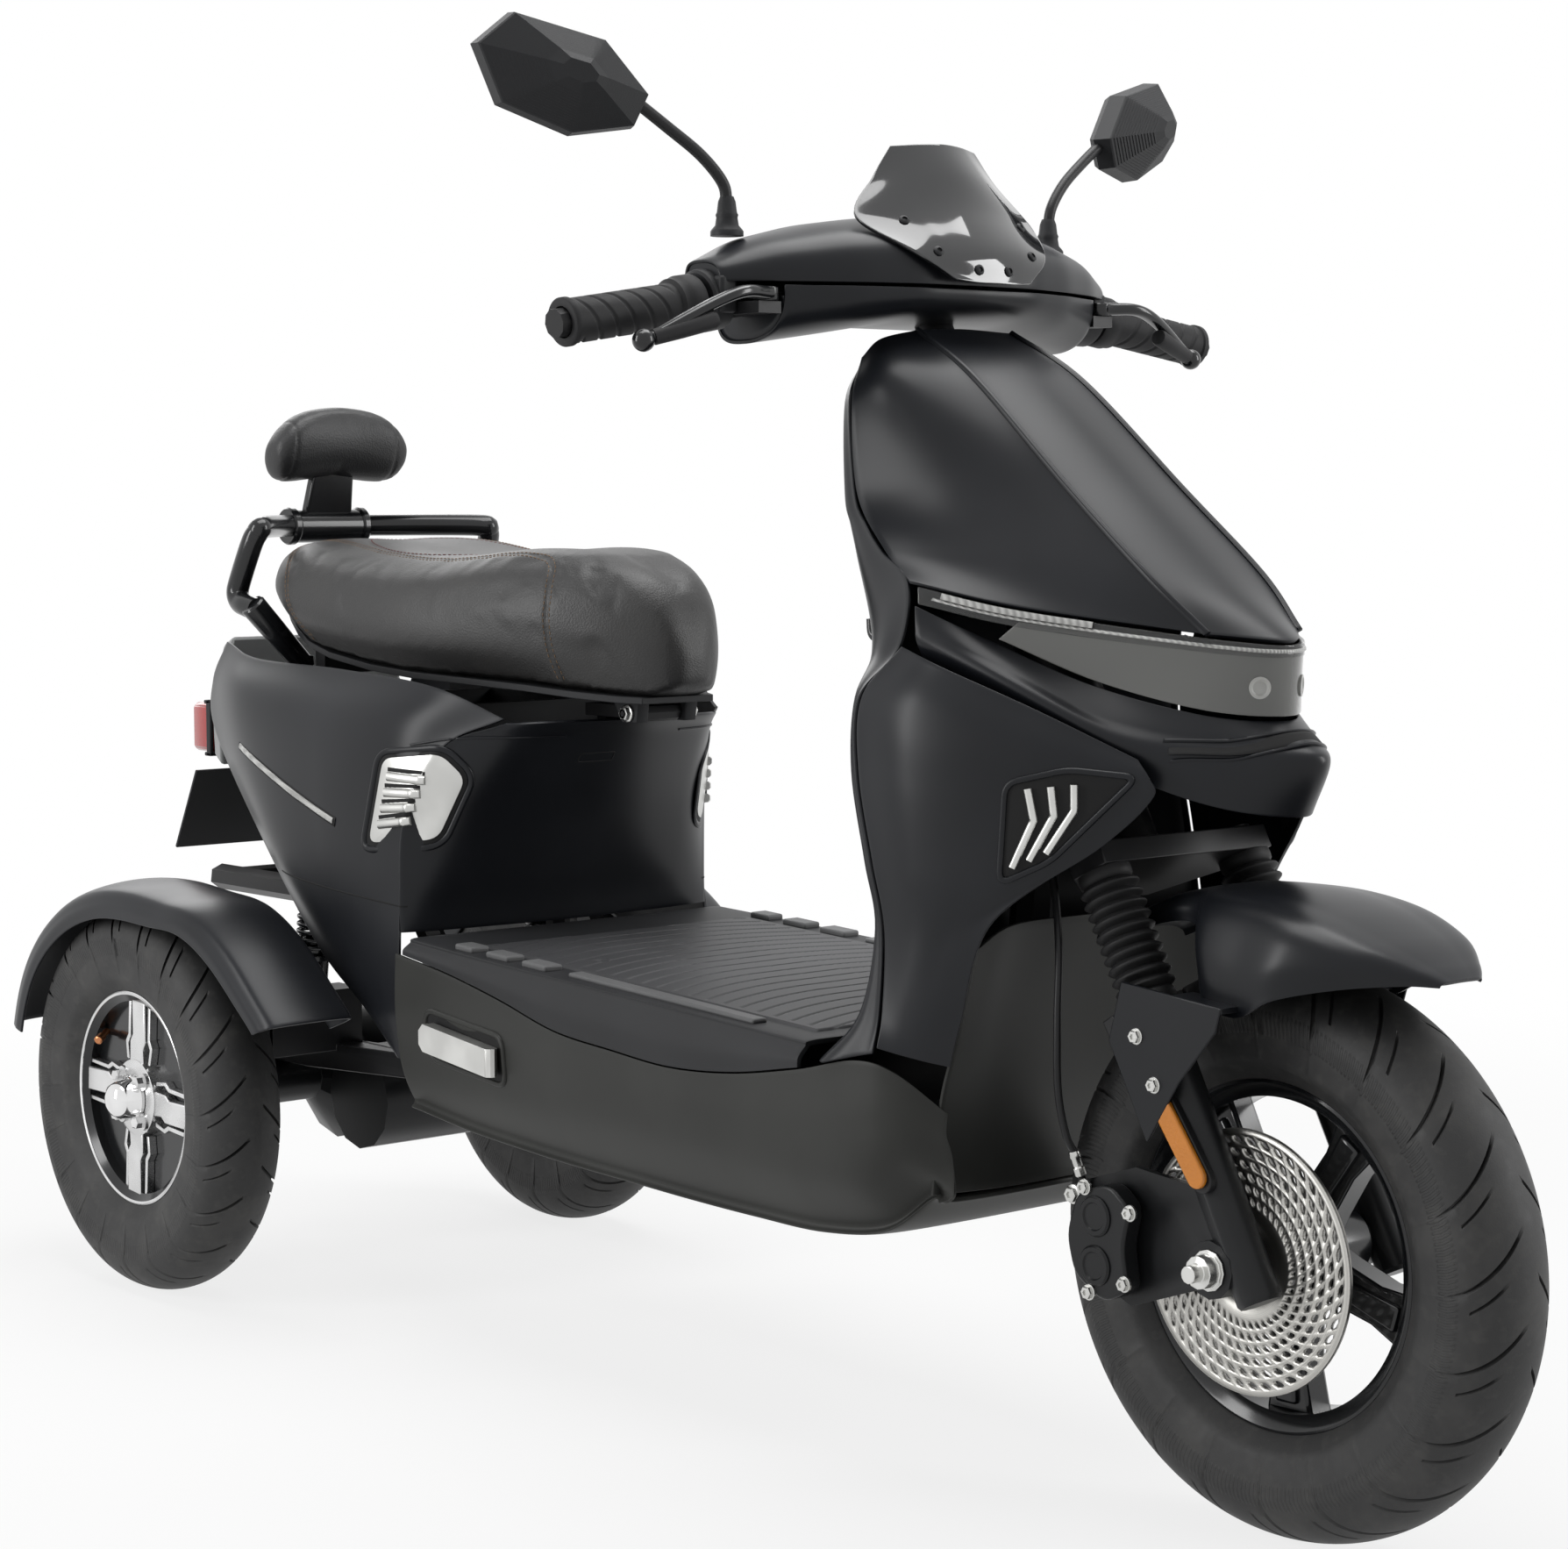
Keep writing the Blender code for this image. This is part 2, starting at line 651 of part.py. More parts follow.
def shocks():
    """Damper, rod and coil spring between the arm and the frame, each side."""
    for side, word in ((-1, "right"), (1, "left")):
        x = side * SHOCK_X
        way = on_shock(x, 1.0) - on_shock(x, 0.0)
        cup = [(0, 0), (0, DAMPER_RADIUS), (SPRING_SEAT - 0.005, DAMPER_RADIUS),
               (SPRING_SEAT - 0.005, 0.0195), (SPRING_SEAT, 0.0195), (SPRING_SEAT, DAMPER_RADIUS),
               (DAMPER_TALL, DAMPER_RADIUS), (DAMPER_TALL, DAMPER_BORE), (0.012, DAMPER_BORE),
               (0.012, 0)]
        turned("shock_damper_" + word, on_shock(x, 0.0), way, cup, 12, "steel_black")
        rod_tall = SHOCK_TALL - SHOCK_HEAD_WALL - ROD_FOOT
        head = [(0, 0), (0, SHOCK_ROD_RADIUS), (rod_tall, SHOCK_ROD_RADIUS), (rod_tall, 0.0195),
                (rod_tall + SHOCK_HEAD_WALL, 0.0195), (rod_tall + SHOCK_HEAD_WALL, 0.0)]
        turned("shock_rod_" + word, on_shock(x, ROD_FOOT), way, head, 12, "brushed_steel")
        low = SPRING_SEAT + SPRING_WIRE + TOUCH
        high = SHOCK_TALL - SHOCK_HEAD_WALL - SPRING_WIRE - TOUCH
        count = SPRING_CURLS * SPRING_STEPS + 1
        turn = np.linspace(0, 2 * math.pi * SPRING_CURLS, count)
        radius = SPRING_RADIUS - SPRING_WIRE
        level = np.array((0.0, way[2], -way[1]))
        path = [on_shock(x, height) + (radius * math.cos(angle), 0, 0) + radius * math.sin(angle) * level
                for height, angle in zip(np.linspace(low, high, count), turn)]
        pitch = (high - low) / SPRING_CURLS
        print("spring gap to itself, mm:", round(1000 * (pitch - 2 * SPRING_WIRE), 2))
        sweep("shock_spring_" + word, path, SPRING_WIRE, 5, "steel_black", on_shock(x, SPRING_SEAT))


def rear_fender(name, side):
    """A fender over one rear wheel, drawn out towards the front."""
    centre = np.array((side * REAR_TRACK / 2, REAR_AXLE_Y, REAR_TYRE_RADIUS))
    outer = FENDER_OUTER
    inner = FENDER_INNER
    # angle from straight up, clearance over the tyre
    arch = [(76, 0.030), (56, 0.029), (32, 0.023), (12, 0.021), (-8, 0.025), (-24, 0.038),
            (-39, 0.066), (-60, 0.100), (-70, 0.124)]
    arch = spline([(a, REAR_TYRE_RADIUS + gap, 0) for a, gap in arch], 11)
    rows = []
    for angle, radius, _ in arch:
        lean = math.radians(angle)
        out = np.array((0, math.sin(lean), math.cos(lean)))
        row = [(-inner, -0.050), (-inner, -0.020), (-inner * 0.8, -0.004), (0, 0.0),
               (outer * 0.8, -0.006), (outer, -0.020), (outer + 0.001, -0.034)]
        rows.append([centre + out * (radius + drop) + np.array((side * across, 0, 0))
                     for across, drop in row])
    shell = skin(name, net(rows, 7, 9), FENDER_WALL, centre, "satin_black", tuple(centre))
    soft = centre[0] - side * (FENDER_INNER - 0.001)
    top = REAR_TYRE_RADIUS + AXLE_TUBE_RADIUS + TOUCH + SWING_ARM_DEPTH
    ear = box(name + "_ear", (min(soft, soft - side * EAR_WALL), SHOCK_Y - 0.018, top - 0.003),
              (max(soft, soft - side * EAR_WALL), SHOCK_Y + 0.018, top + 0.130), "satin_black", keep=False)
    return combine(shell, [ear])


def steering_stem():
    """The stem, the lower crown and both stanchions, welded as one."""
    home = tuple(on_steer(0))
    stem = rod("steering_stem", on_steer(CROWN_LOW), on_steer(STEM_TOP), STEM_RADIUS, 12,
               "steel_black", home)
    parts = []
    for side in (-1, 1):
        x = side * FORK_X
        parts.append(rod("stanchion", on_steer(STANCHION_FOOT, x, FORK_OFFSET),
                         on_steer(CROWN_HIGH, x, FORK_OFFSET), STANCHION_RADIUS, 12,
                         "steel_black", keep=False))
    corners = [(-0.032, -0.024), (0.032, -0.024), (FORK_X + 0.018, FORK_OFFSET - 0.014),
               (FORK_X + 0.014, FORK_OFFSET + 0.018), (-FORK_X - 0.014, FORK_OFFSET + 0.018),
               (-FORK_X - 0.018, FORK_OFFSET - 0.014)]
    outline = [on_steer(CROWN_LOW, x, ahead) for x, ahead in corners]
    parts.append(prism("crown", outline, (CROWN_HIGH - CROWN_LOW - 0.004) * STEER_UP,
                       "steel_black", keep=False))
    return combine(stem, parts)


def gaiter(name, side):
    """A ribbed rubber sleeve between the crown and the top of the leg."""
    x = side * FORK_X
    low = LEG_TOP + TOUCH
    high = CROWN_LOW - TOUCH
    end = 0.008
    bore = GAITER_WAIST - GAITER_WALL
    bottom = on_steer(low, x, FORK_OFFSET)
    pitch = (high - low - 2 * end) / GAITER_RIBS
    profile = [(0, bore), (0, GAITER_WAIST + 0.001), (end, GAITER_WAIST + 0.001)]
    for k in range(GAITER_RIBS):
        profile.append((end + (k + 0.5) * pitch, GAITER_RADIUS))
        if k < GAITER_RIBS - 1:
            profile.append((end + (k + 1) * pitch, GAITER_WAIST))
    profile += [(high - low - end, GAITER_WAIST + 0.001), (high - low, GAITER_WAIST + 0.001),
                (high - low, bore)]
    return turned(name, bottom, STEER_UP, profile, 10, "rubber")


def fork_leg(name, side):
    """A lower leg: a cup for the stanchion, and the lug that holds the axle."""
    x = side * FORK_X
    foot = on_steer(LEG_FOOT, x, FORK_OFFSET)
    bore = STANCHION_RADIUS + SLIP
    floor = LEG_BORE_FLOOR - LEG_FOOT
    top = LEG_TOP - LEG_FOOT
    profile = [(0, 0), (0, LEG_RADIUS - 0.002), (0.003, LEG_RADIUS), (top, LEG_RADIUS),
               (top, bore), (floor, bore), (floor, 0)]
    home = (x, FRONT_AXLE_Y, FRONT_TYRE_RADIUS)
    leg = turned(name, foot, STEER_UP, profile, 12, "satin_black", home)
    inner = side * (-DISC_X + DISC_THICKNESS / 2 + TOUCH)
    spacer = rod(name + "_spacer", (inner, FRONT_AXLE_Y, FRONT_TYRE_RADIUS),
                 (x, FRONT_AXLE_Y, FRONT_TYRE_RADIUS), 0.0130, 12, "satin_black", keep=False)
    lug = rod(name + "_lug", (x - LUG_HALF, FRONT_AXLE_Y, FRONT_TYRE_RADIUS),
              (x + LUG_HALF, FRONT_AXLE_Y, FRONT_TYRE_RADIUS), 0.021, 12, "satin_black", keep=False)
    hole = rod(name + "_hole", (x - 0.05, FRONT_AXLE_Y, FRONT_TYRE_RADIUS),
               (x + 0.05, FRONT_AXLE_Y, FRONT_TYRE_RADIUS), FRONT_AXLE_RADIUS + TOUCH, 12,
               "satin_black", keep=False)
    parts = [lug, spacer]
    for distance in FENDER_BOLTS:
        start = on_steer(distance, side * (FORK_X + bore + 0.001), FORK_OFFSET)
        parts.append(rod(name + "_boss", start, (side * (FENDER_PLATE_X - TOUCH), *start[1:]), 0.006, 8,
                         "satin_black", keep=False))
    if side < 0:
        parts += caliper_ears(x)
    combine(leg, parts)
    return combine(leg, [hole], "DIFFERENCE")


def caliper_ears(x):
    """A flat bracket behind the right leg, to which the caliper bolts."""
    outline = [(x - 0.004, -0.628, 0.262), (x - 0.004, -0.560, 0.268), (x - 0.004, -0.506, 0.250),
               (x - 0.004, -0.506, 0.186), (x - 0.004, -0.556, 0.166), (x - 0.004, -0.650, 0.200)]
    plate = prism("caliper_bracket", outline, (-0.006, 0, 0), "satin_black", keep=False)
    banjo = rod("hose_banjo", (x - 0.009, -0.512, 0.243), (x - 0.021, -0.512, 0.243), 0.0075, 14,
                "satin_black", keep=False)
    return [plate, banjo]


def front_axle():
    """The wheel spindle with its nut on the right and its head on the left."""
    reach = FORK_X + LUG_HALF + TOUCH
    profile = [(-reach - 0.022, 0), (-reach - 0.022, 0.0065), (-reach - 0.012, 0.0065),
               (-reach - 0.012, 0.0120), (-reach - 0.002, 0.0120), (-reach - 0.002, 0.0150),
               (-reach, 0.0150), (-reach, FRONT_AXLE_RADIUS), (reach, FRONT_AXLE_RADIUS),
               (reach, 0.0130), (reach + 0.009, 0.0130), (reach + 0.009, 0)]
    return turned("front_axle", (0, FRONT_AXLE_Y, FRONT_TYRE_RADIUS), (1, 0, 0), profile, 12,
                  "brushed_steel")


def brake_caliper():
    """A two-pot caliper that straddles the disc behind the right leg."""
    x, y, z = CALIPER_CENTRE
    plate = -FORK_X - 0.004 - 0.006 - TOUCH
    inner = DISC_X - DISC_THICKNESS / 2
    rows = [(y - 0.026, z - 0.030), (y + 0.012, z - 0.038), (y + 0.030, z - 0.018),
            (y + 0.030, z + 0.022), (y + 0.010, z + 0.040), (y - 0.026, z + 0.034)]
    low = FORK_X + 0.004 - TOUCH
    outline = [(-low, p, q) for p, q in rows]
    body = prism("front_caliper", outline, (low - 0.035, 0, 0), "steel_black", (x, y, z))
    slot = box("disc_slot", (inner - 0.0012, y - 0.060, z - 0.060),
               (inner + DISC_THICKNESS + 0.0012, y + 0.016, z + 0.060), "steel_black", keep=False)
    body = combine(body, [slot], "DIFFERENCE")
    return body


def front_fender():
    """The front fender, narrow between the gaiters, wide in front of the legs."""
    centre = np.array((0.0, FRONT_AXLE_Y, FRONT_TYRE_RADIUS))
    # angle back from straight up, clearance over the tyre, half width, drop of the side
    stations = [(36, 0.064, 0.047, 0.014), (20, 0.060, 0.049, 0.020), (12, 0.0585, 0.051, 0.030),
                (7, 0.057, 0.078, 0.072), (-4, 0.055, 0.084, 0.084), (-14, 0.0525, 0.084, 0.060),
                (-24, 0.0505, 0.068, 0.034), (-31, 0.0495, 0.040, 0.014), (-34.5, 0.049, 0.022, 0.005)]
    rows = []
    for angle, gap, half, drop in stations:
        radius = FRONT_TYRE_RADIUS + gap
        lean = math.radians(angle)
        out = np.array((0, math.sin(lean), math.cos(lean)))
        row = []
        for share, fall in ((-1.0, 1.0), (-0.985, 0.5), (-0.80, 0.13), (-0.40, 0.03), (0.0, 0.0)):
            row.append(centre + out * (radius - drop * fall) + np.array((half * share, 0, 0)))
        rows.append(full_width(row))
    shell = skin("front_fender", net(rows, 9, 9), FENDER_WALL, centre, "satin_black", tuple(centre))
    plates = []
    for side in (-1, 1):
        x = side * FENDER_PLATE_X
        shape = [(-0.655, 0.187), (-0.560, 0.196), (-0.548, 0.152), (-0.586, 0.084), (-0.616, 0.130),
                 (-0.650, 0.170)]
        outline = [(x, y, FRONT_TYRE_RADIUS + rise) for y, rise in shape]
        plates.append(prism("fender_plate", outline, (side * 0.0025, 0, 0), "satin_black", keep=False))
        shape = [(-0.655, 0.187), (-0.600, 0.190), (-0.600, 0.186), (-0.655, 0.183)]
        web = [(side * 0.070, y, FRONT_TYRE_RADIUS + rise) for y, rise in shape]
        plates.append(prism("fender_web", web, (side * 0.0305, 0, 0), "satin_black", keep=False))
    return combine(shell, plates)


HOSE_ROUTE = [(-0.066, -0.430, 0.520), (-0.080, -0.452, 0.470), (-0.098, -0.476, 0.420),
              (-0.108, -0.492, 0.370), (-0.109, -0.500, 0.320), (-0.103, -0.507, 0.285),
              (-0.0935, -0.5105, 0.268), (-0.0905, -0.5120, 0.2509)]


def brake_hose():
    """The hose to the caliper, held at both ends."""
    route = bpy.data.curves.new("brake_hose", "CURVE")
    route.dimensions = "3D"
    line = route.splines.new("POLY")
    points = spline(HOSE_ROUTE, 16)
    line.points.add(len(points) - 1)
    for slot, point in zip(line.points, points):
        slot.co = (*point, 1.0)
    route.bevel_depth = HOSE_RADIUS
    route.bevel_resolution = 2
    route.use_fill_caps = True
    made = bpy.data.objects.new("brake_hose", route)
    bpy.context.collection.objects.link(made)
    route.materials.append(material("rubber"))
    return made


def bar_line(x):
    """The bar's middle line at a distance x from the middle of the scooter."""
    share = max(0.0, (abs(x) - BAR_BEND_X) / (BAR_END - BAR_BEND_X))
    height = BAR_CENTRE_Z + share * (BAR_OUTER_Z - BAR_CENTRE_Z)
    bend = min(1.0, abs(x) / BAR_BEND_X)
    return np.array((x, BAR_Y + BAR_SWEEP * bend - BAR_RETURN * share, height))


def grip_direction(side):
    """The direction of one grip, outwards."""
    reach = bar_line(side * BAR_END) - bar_line(side * BAR_BEND_X)
    return reach / np.linalg.norm(reach)


def handlebar(upper, lower):
    """The bent bar with its clamp on the stem, the lever perches and the stays of the cowl."""
    stops = [-BAR_END, -0.25, -BAR_BEND_X - 0.02, -BAR_BEND_X + 0.02, 0.0]
    stops += [-x for x in reversed(stops[:-1])]
    bar = sweep("handlebar", [bar_line(x) for x in stops], BAR_RADIUS, 10, "steel_black",
                tuple(on_steer(0)))
    plate = [on_steer(STEM_TOP + TOUCH, x, ahead) for x, ahead in
             ((-0.022, 0.018), (0.022, 0.018), (0.022, -0.018), (-0.022, -0.018))]
    parts = [prism("stem_clamp", plate, CLAMP_TALL * STEER_UP, "steel_black", keep=False)]
    for side in (-1, 1):
        hub = bar_line(side * PIVOT_X)
        way = grip_direction(side)
        parts.append(rod("perch_ring", hub - way * 0.011, hub + way * 0.011, 0.0165, 12,
                         "steel_black", keep=False))
        low = (side * PIVOT_X - 0.011, PIVOT_Y - 0.004, hub[2] - 0.0145)
        high = (side * PIVOT_X + 0.011, hub[1] - 0.004, hub[2] - 0.0055)
        parts.append(box("perch_arm", low, high, "steel_black", keep=False))
        foot = bar_line(side * STAY_X)
        rise = stay_end(upper, foot, (0, 0, 1), STAY_RADIUS, (1, 0, 0))
        drop = stay_end(lower, foot, (0, 0, -1), STAY_RADIUS, (1, 0, 0))
        parts.append(rod("cowl_stay", foot - (0, 0, drop), foot + (0, 0, rise), STAY_RADIUS, 6,
                         "steel_black", keep=False))
    return combine(bar, parts)


def lever(name, side):
    """A brake lever: a boss at its pivot, a tapered blade and a ball."""
    hub = bar_line(side * PIVOT_X)
    pivot = np.array((side * PIVOT_X, PIVOT_Y, hub[2] - 0.0055 + TOUCH))
    tip = np.array((side * LEVER_TIP[0], *LEVER_TIP[1:]))
    body = turned(name, pivot, (0, 0, 1), [(0, 0), (0, 0.0090), (0.0100, 0.0090), (0.0100, 0)], 12,
                  "satin_black", tuple(pivot))
    start = pivot + (0, -0.001, 0.0056)
    knee = start * 0.62 + tip * 0.38 + (0, -0.012, 0)
    knee[2] = start[2] - 0.0035
    path = spline([start, knee, tip], 5)
    blade = []
    for share, point in zip(np.linspace(0, 1, 5), path):
        tall = 0.0040 - 0.0010 * share
        deep = 0.0065 - 0.0030 * share
        turn = np.linspace(0, 2 * math.pi, 6, endpoint=False)
        blade.append([point + (0, deep * math.cos(t), tall * math.sin(t)) for t in turn])
    parts = [loft(name + "_blade", blade, "satin_black", keep=False)]
    parts.append(ball(name + "_ball", tip, 0.0085, "satin_black"))
    return combine(body, parts)


def ball(name, centre, radius, finish):
    """A hidden ball for joining to another shape."""
    profile = [(-radius, 0)]
    for step in range(1, 5):
        angle = math.pi * step / 5
        profile.append((-radius * math.cos(angle), radius * math.sin(angle)))
    profile.append((radius, 0))
    return turned(name, centre, (0, 0, 1), profile, 7, finish, keep=False)


def grip(name, side):
    """A rubber grip with a flange at its inner end."""
    way = grip_direction(side)
    start = bar_line(side * GRIP_INNER)
    bore = BAR_RADIUS + GRIP_GAP
    length = GRIP_LENGTH
    profile = [(0, bore), (0, 0.0215), (0.016, 0.0215), (0.018, GRIP_FLANGE), (0.021, GRIP_FLANGE),
               (0.023, GRIP_RADIUS), (length - 0.006, GRIP_RADIUS), (length - 0.005, 0.0180),
               (length, 0.0180), (length, bore)]
    return turned(name, start, way, profile, 12, "rubber")


def cowl_section(x, upper):
    """Half of the cowl's outline at x, from its front split over to the rear split."""
    shape = [(0.00, -0.312, -0.168, 0.966, 0.880), (0.06, -0.309, -0.168, 0.964, 0.880),
             (0.11, -0.294, -0.172, 0.957, 0.872), (0.165, -0.268, -0.184, 0.944, 0.864),
             (0.205, -0.240, -0.197, 0.926, 0.868)]
    keys = [s[0] for s in shape]
    front, rear, top, low = (np.interp(abs(x), keys, [s[k] for s in shape]) for k in (1, 2, 3, 4))
    split = COWL_SPLIT_Z + (COWL_GAP / 2 if upper else -COWL_GAP / 2)
    reach = (top if upper else low) - split
    middle = (front + rear) / 2
    half = (rear - front) / 2
    row = []
    for step in range(9):
        angle = math.pi * step / 8
        y = middle - half * math.copysign(abs(math.cos(angle)) ** 0.75, math.cos(angle))
        y += COWL_SKEW * half * math.sin(angle) ** 2
        row.append((x, y, split + reach * abs(math.sin(angle)) ** 0.70))
    return row


def cowls(screen):
    """Upper and lower covers of the handlebar, split at one height.

    The upper one has seats for the mirror boots and bosses for the screen's screws.
    """
    home = tuple(on_steer(0))
    middle = (0, BAR_Y, COWL_SPLIT_Z)
    reach = np.linspace(-COWL_HALF, COWL_HALF, 9)
    upper = [cowl_section(x, True) for x in reach]
    cover = skin("cowl_upper", upper, PANEL_WALL, middle, "satin_black", home)
    seats = []
    for side in (-1, 1):
        foot = np.array((side * BOOT[0], BOOT[1], BOOT[2] - TOUCH))
        seats.append(rod("boot_seat", foot - (0, 0, BOOT_SEAT_TALL), foot, BOOT_SEAT_RADIUS, 8,
                         "satin_black", keep=False))
        root = np.array((side * SCREEN_BOSS[0], *SCREEN_BOSS[1:]))
        reach = stay_end(screen, root, (0, -1, 0), SCREEN_BOSS_RADIUS, (1, 0, 0))
        seats.append(rod("screen_boss", root, root - (0, reach, 0), SCREEN_BOSS_RADIUS, 6, "satin_black",
                         keep=False))
    combine(cover, seats)
    reach = np.linspace(-0.165, 0.165, 9)
    lower = [cowl_section(x, False) for x in reach]
    under = skin("cowl_lower", lower, PANEL_WALL, middle, "satin_black", home)
    hole = rod("stem_hole", on_steer(STEM_TOP - 0.06), on_steer(STEM_TOP + 0.02), STEM_RADIUS + 0.006,
               20, "satin_black", keep=False)
    combine(under, [hole], "DIFFERENCE")
    return cover, under


def windscreen():
    """The short smoked screen, bent along its middle."""
    half = [
        [(-0.040, -0.3235, 0.913), (-0.020, -0.3250, 0.911), (0, -0.3255, 0.911)],
        [(-0.070, -0.3085, 0.934), (-0.035, -0.3155, 0.936), (0, -0.3180, 0.937)],
        [(-0.094, -0.268, 0.962), (-0.046, -0.287, 0.968), (0, -0.293, 0.971)],
        [(-0.066, -0.256, 0.994), (-0.033, -0.273, 0.998), (0, -0.279, 1.000)],
        [(-0.045, -0.253, 1.019), (-0.022, -0.262, 1.021), (0, -0.265, 1.022)],
    ]
    rows = net([full_width(row) for row in half], 9, 5)
    return skin("windscreen", rows, 0.003, (0, -0.1, 0.95), "smoked_lens", tuple(on_steer(0)))


def mirror(name, side):
    """A mirror: boot, bent stem and a faceted head with its glass towards the rider."""
    base = np.array((side * BOOT[0], BOOT[1], BOOT[2]))
    boot = turned(name, base, (0, 0, 1), [(0, 0), (0, 0.0125), (0.004, 0.0125), (0.008, 0.0085),
                                          (0.026, 0.0070), (0.028, 0.0)], 10, "texture_black",
                  tuple(base))
    bend = [base + (0, 0, 0.024), base + (side * 0.004, 0, 0.040), base + (side * 0.022, 0.004, 0.060),
            base + (side * 0.050, 0.010, 0.080), base + (side * 0.085, 0.016, 0.103)]
    parts = [sweep(name + "_stem", spline(bend, 6), 0.0045, 6, "steel_black", keep=False)]
    parts.append(mirror_head(name + "_head", side, keep=False))
    return combine(boot, parts)


def mirror_head(name, side, keep=True):
    """The head: a seven-cornered outline that rises to a blunt ridge in front.

    Its outer end is turned back by MIRROR_YAW.
    """
    home = np.array(MIRROR_HEAD)
    out = np.array((math.cos(MIRROR_YAW), math.sin(MIRROR_YAW), 0))
    back = np.array((-math.sin(MIRROR_YAW), math.cos(MIRROR_YAW), 0))
    up = np.array((0, 0, 1))
    outline = [(-0.068, -0.012), (-0.055, -0.036), (0.000, -0.043), (0.062, -0.022),
               (0.082, 0.022), (0.050, 0.046), (-0.030, 0.028)]
    rings = []
    for depth, size in ((0.016, 0.90), (0.010, 1.0), (-0.004, 0.97), (-0.030, 0.34), (-0.034, 0.20)):
        ring = [home + size * MIRROR_SHARE * p * out + size * q * up + depth * back
                for p, q in outline]
        rings.append(flip(ring, side))
    return loft(name, rings, "texture_black", keep=keep)


# Rear half-rows run from the outer edge to the middle of the body.
SHIELD_NET = [
    [(-0.088, -0.268, 0.854), (-0.078, -0.278, 0.868), (-0.050, -0.290, 0.8755), (0, -0.288, 0.8775)],
    [(-0.113, -0.285, 0.820), (-0.098, -0.320, 0.836), (-0.057, -0.362, 0.836), (0, -0.369, 0.837)],
    [(-0.121, -0.300, 0.750), (-0.100, -0.380, 0.752), (-0.060, -0.466, 0.752), (0, -0.478, 0.752)],
    [(-0.136, -0.348, 0.708), (-0.108, -0.430, 0.700), (-0.060, -0.545, 0.690), (0, -0.560, 0.689)],
    [(-0.148, -0.389, 0.686), (-0.113, -0.468, 0.668), (-0.049, -0.5917, 0.650), (0, -0.627, 0.645)],
]
LIGHT_BAR_DROP = (0.0160, 0.0150, 0.0130, 0.0120)
LENS_LOW = [(-0.117, -0.450, 0.6440), (-0.084, -0.5164, 0.6150), (-0.050, -0.5904, 0.5960),
            (0, -0.624, 0.5910)]


def shifted(row, drops, lift=0.0):
    """A row of points lowered by its own drops, then raised by lift."""
    return [(x, y, z - drop + lift) for (x, y, z), drop in zip(row, drops)]


def nose_upper():
    """The nose shield, with a crease each side, and the light bar under it."""
    rows = net([full_width(row) for row in SHIELD_NET], 11, 9)
    skin("front_shield", rows, PANEL_WALL, COLUMN_MIDDLE, "satin_black")
    edge = [LAMP_END] + SHIELD_NET[-1][1:]
    top = shifted(edge, (LAMP_GAP,) * 4)
    low = shifted(edge, LIGHT_BAR_DROP)
    rows = net([full_width(top), full_width(low)], 13, 2)
    bar = skin("front_lamp", rows, LAMP_WALL, (0, -0.40, 0.65), "smoked_lens")
    head = [(x, y + LENS_SET, z + LENS_BITE) for x, y, z in low[1:]]
    rows = net([full_width(head), full_width(LENS_LOW)], 9, 3)
    lens = skin("lamp_lens", rows, LAMP_WALL * 0.7, (0, -0.40, 0.60), "smoked_lens", keep=False)
    return combine(bar, [lens])


BEAK_NET = [
    [(-0.1485, -0.3945, 0.6680), (-0.119, -0.446, 0.6425), (-0.085, -0.5154, 0.6120),
     (-0.050, -0.5884, 0.5930), (0, -0.622, 0.5880)],
    [(-0.1505, -0.3970, 0.6530), (-0.126, -0.4676, 0.6240), (-0.092, -0.5355, 0.5900),
     (-0.050, -0.6034, 0.5760), (0, -0.647, 0.5720)],
    [(-0.1495, -0.3980, 0.6400), (-0.128, -0.4861, 0.6070), (-0.092, -0.5554, 0.5720),
     (-0.050, -0.6127, 0.5600), (0, -0.658, 0.5580)],
    [(-0.138, -0.400, 0.6180), (-0.114, -0.4953, 0.5800), (-0.083, -0.5610, 0.5450),
     (-0.0454, -0.6077, 0.5260), (0, -0.640, 0.5200)],
]


def beak():
    """The lower nose: it runs under the lens and out to a lip."""
    rows = net([full_width(row) for row in BEAK_NET], 13, 5)
    return skin("beak", rows, PANEL_WALL, (0, -0.42, 0.60), "satin_black")


WING_NET = [
    [(-0.152, -0.384, 0.6380), (-0.153, -0.430, 0.6240), (-0.128, -0.4993, 0.5960),
     (-0.0925, -0.5669, 0.5620)],
    [(-0.172, -0.362, 0.6000), (-0.172, -0.420, 0.5900), (-0.144, -0.4955, 0.5700),
     (-0.0917, -0.5779, 0.5480)],
    [(-0.175, -0.362, 0.5450), (-0.175, -0.420, 0.5400), (-0.145, -0.4955, 0.5320),
     (-0.0880, -0.5759, 0.5330)],
    [(-0.174, -0.376, 0.4800), (-0.172, -0.425, 0.4760), (-0.148, -0.4879, 0.4730),
     (-0.1063, -0.5438, 0.4980)],
    [(-0.172, -0.387, 0.4300), (-0.170, -0.420, 0.4280), (-0.161, -0.448, 0.4300),
     (-0.149, -0.4773, 0.4420)],
    [(-0.177, -0.390, 0.3700), (-0.173, -0.410, 0.3690), (-0.166, -0.430, 0.3680),
     (-0.154, -0.450, 0.3660)],
    [(-0.184, -0.392, 0.3440), (-0.176, -0.408, 0.3400), (-0.166, -0.424, 0.3360),
     (-0.153, -0.438, 0.3320)],
]


def nose_wings():
    """The flared side panels of the column."""
    made = []
    for side, word in ((1, "right"), (-1, "left")):
        rows = [flip(row, side) for row in WING_NET]
        made.append(skin("nose_wing_" + word, net(rows, 7, 9), PANEL_WALL, (0, -0.42, 0.54),
                         "satin_black"))
    return made


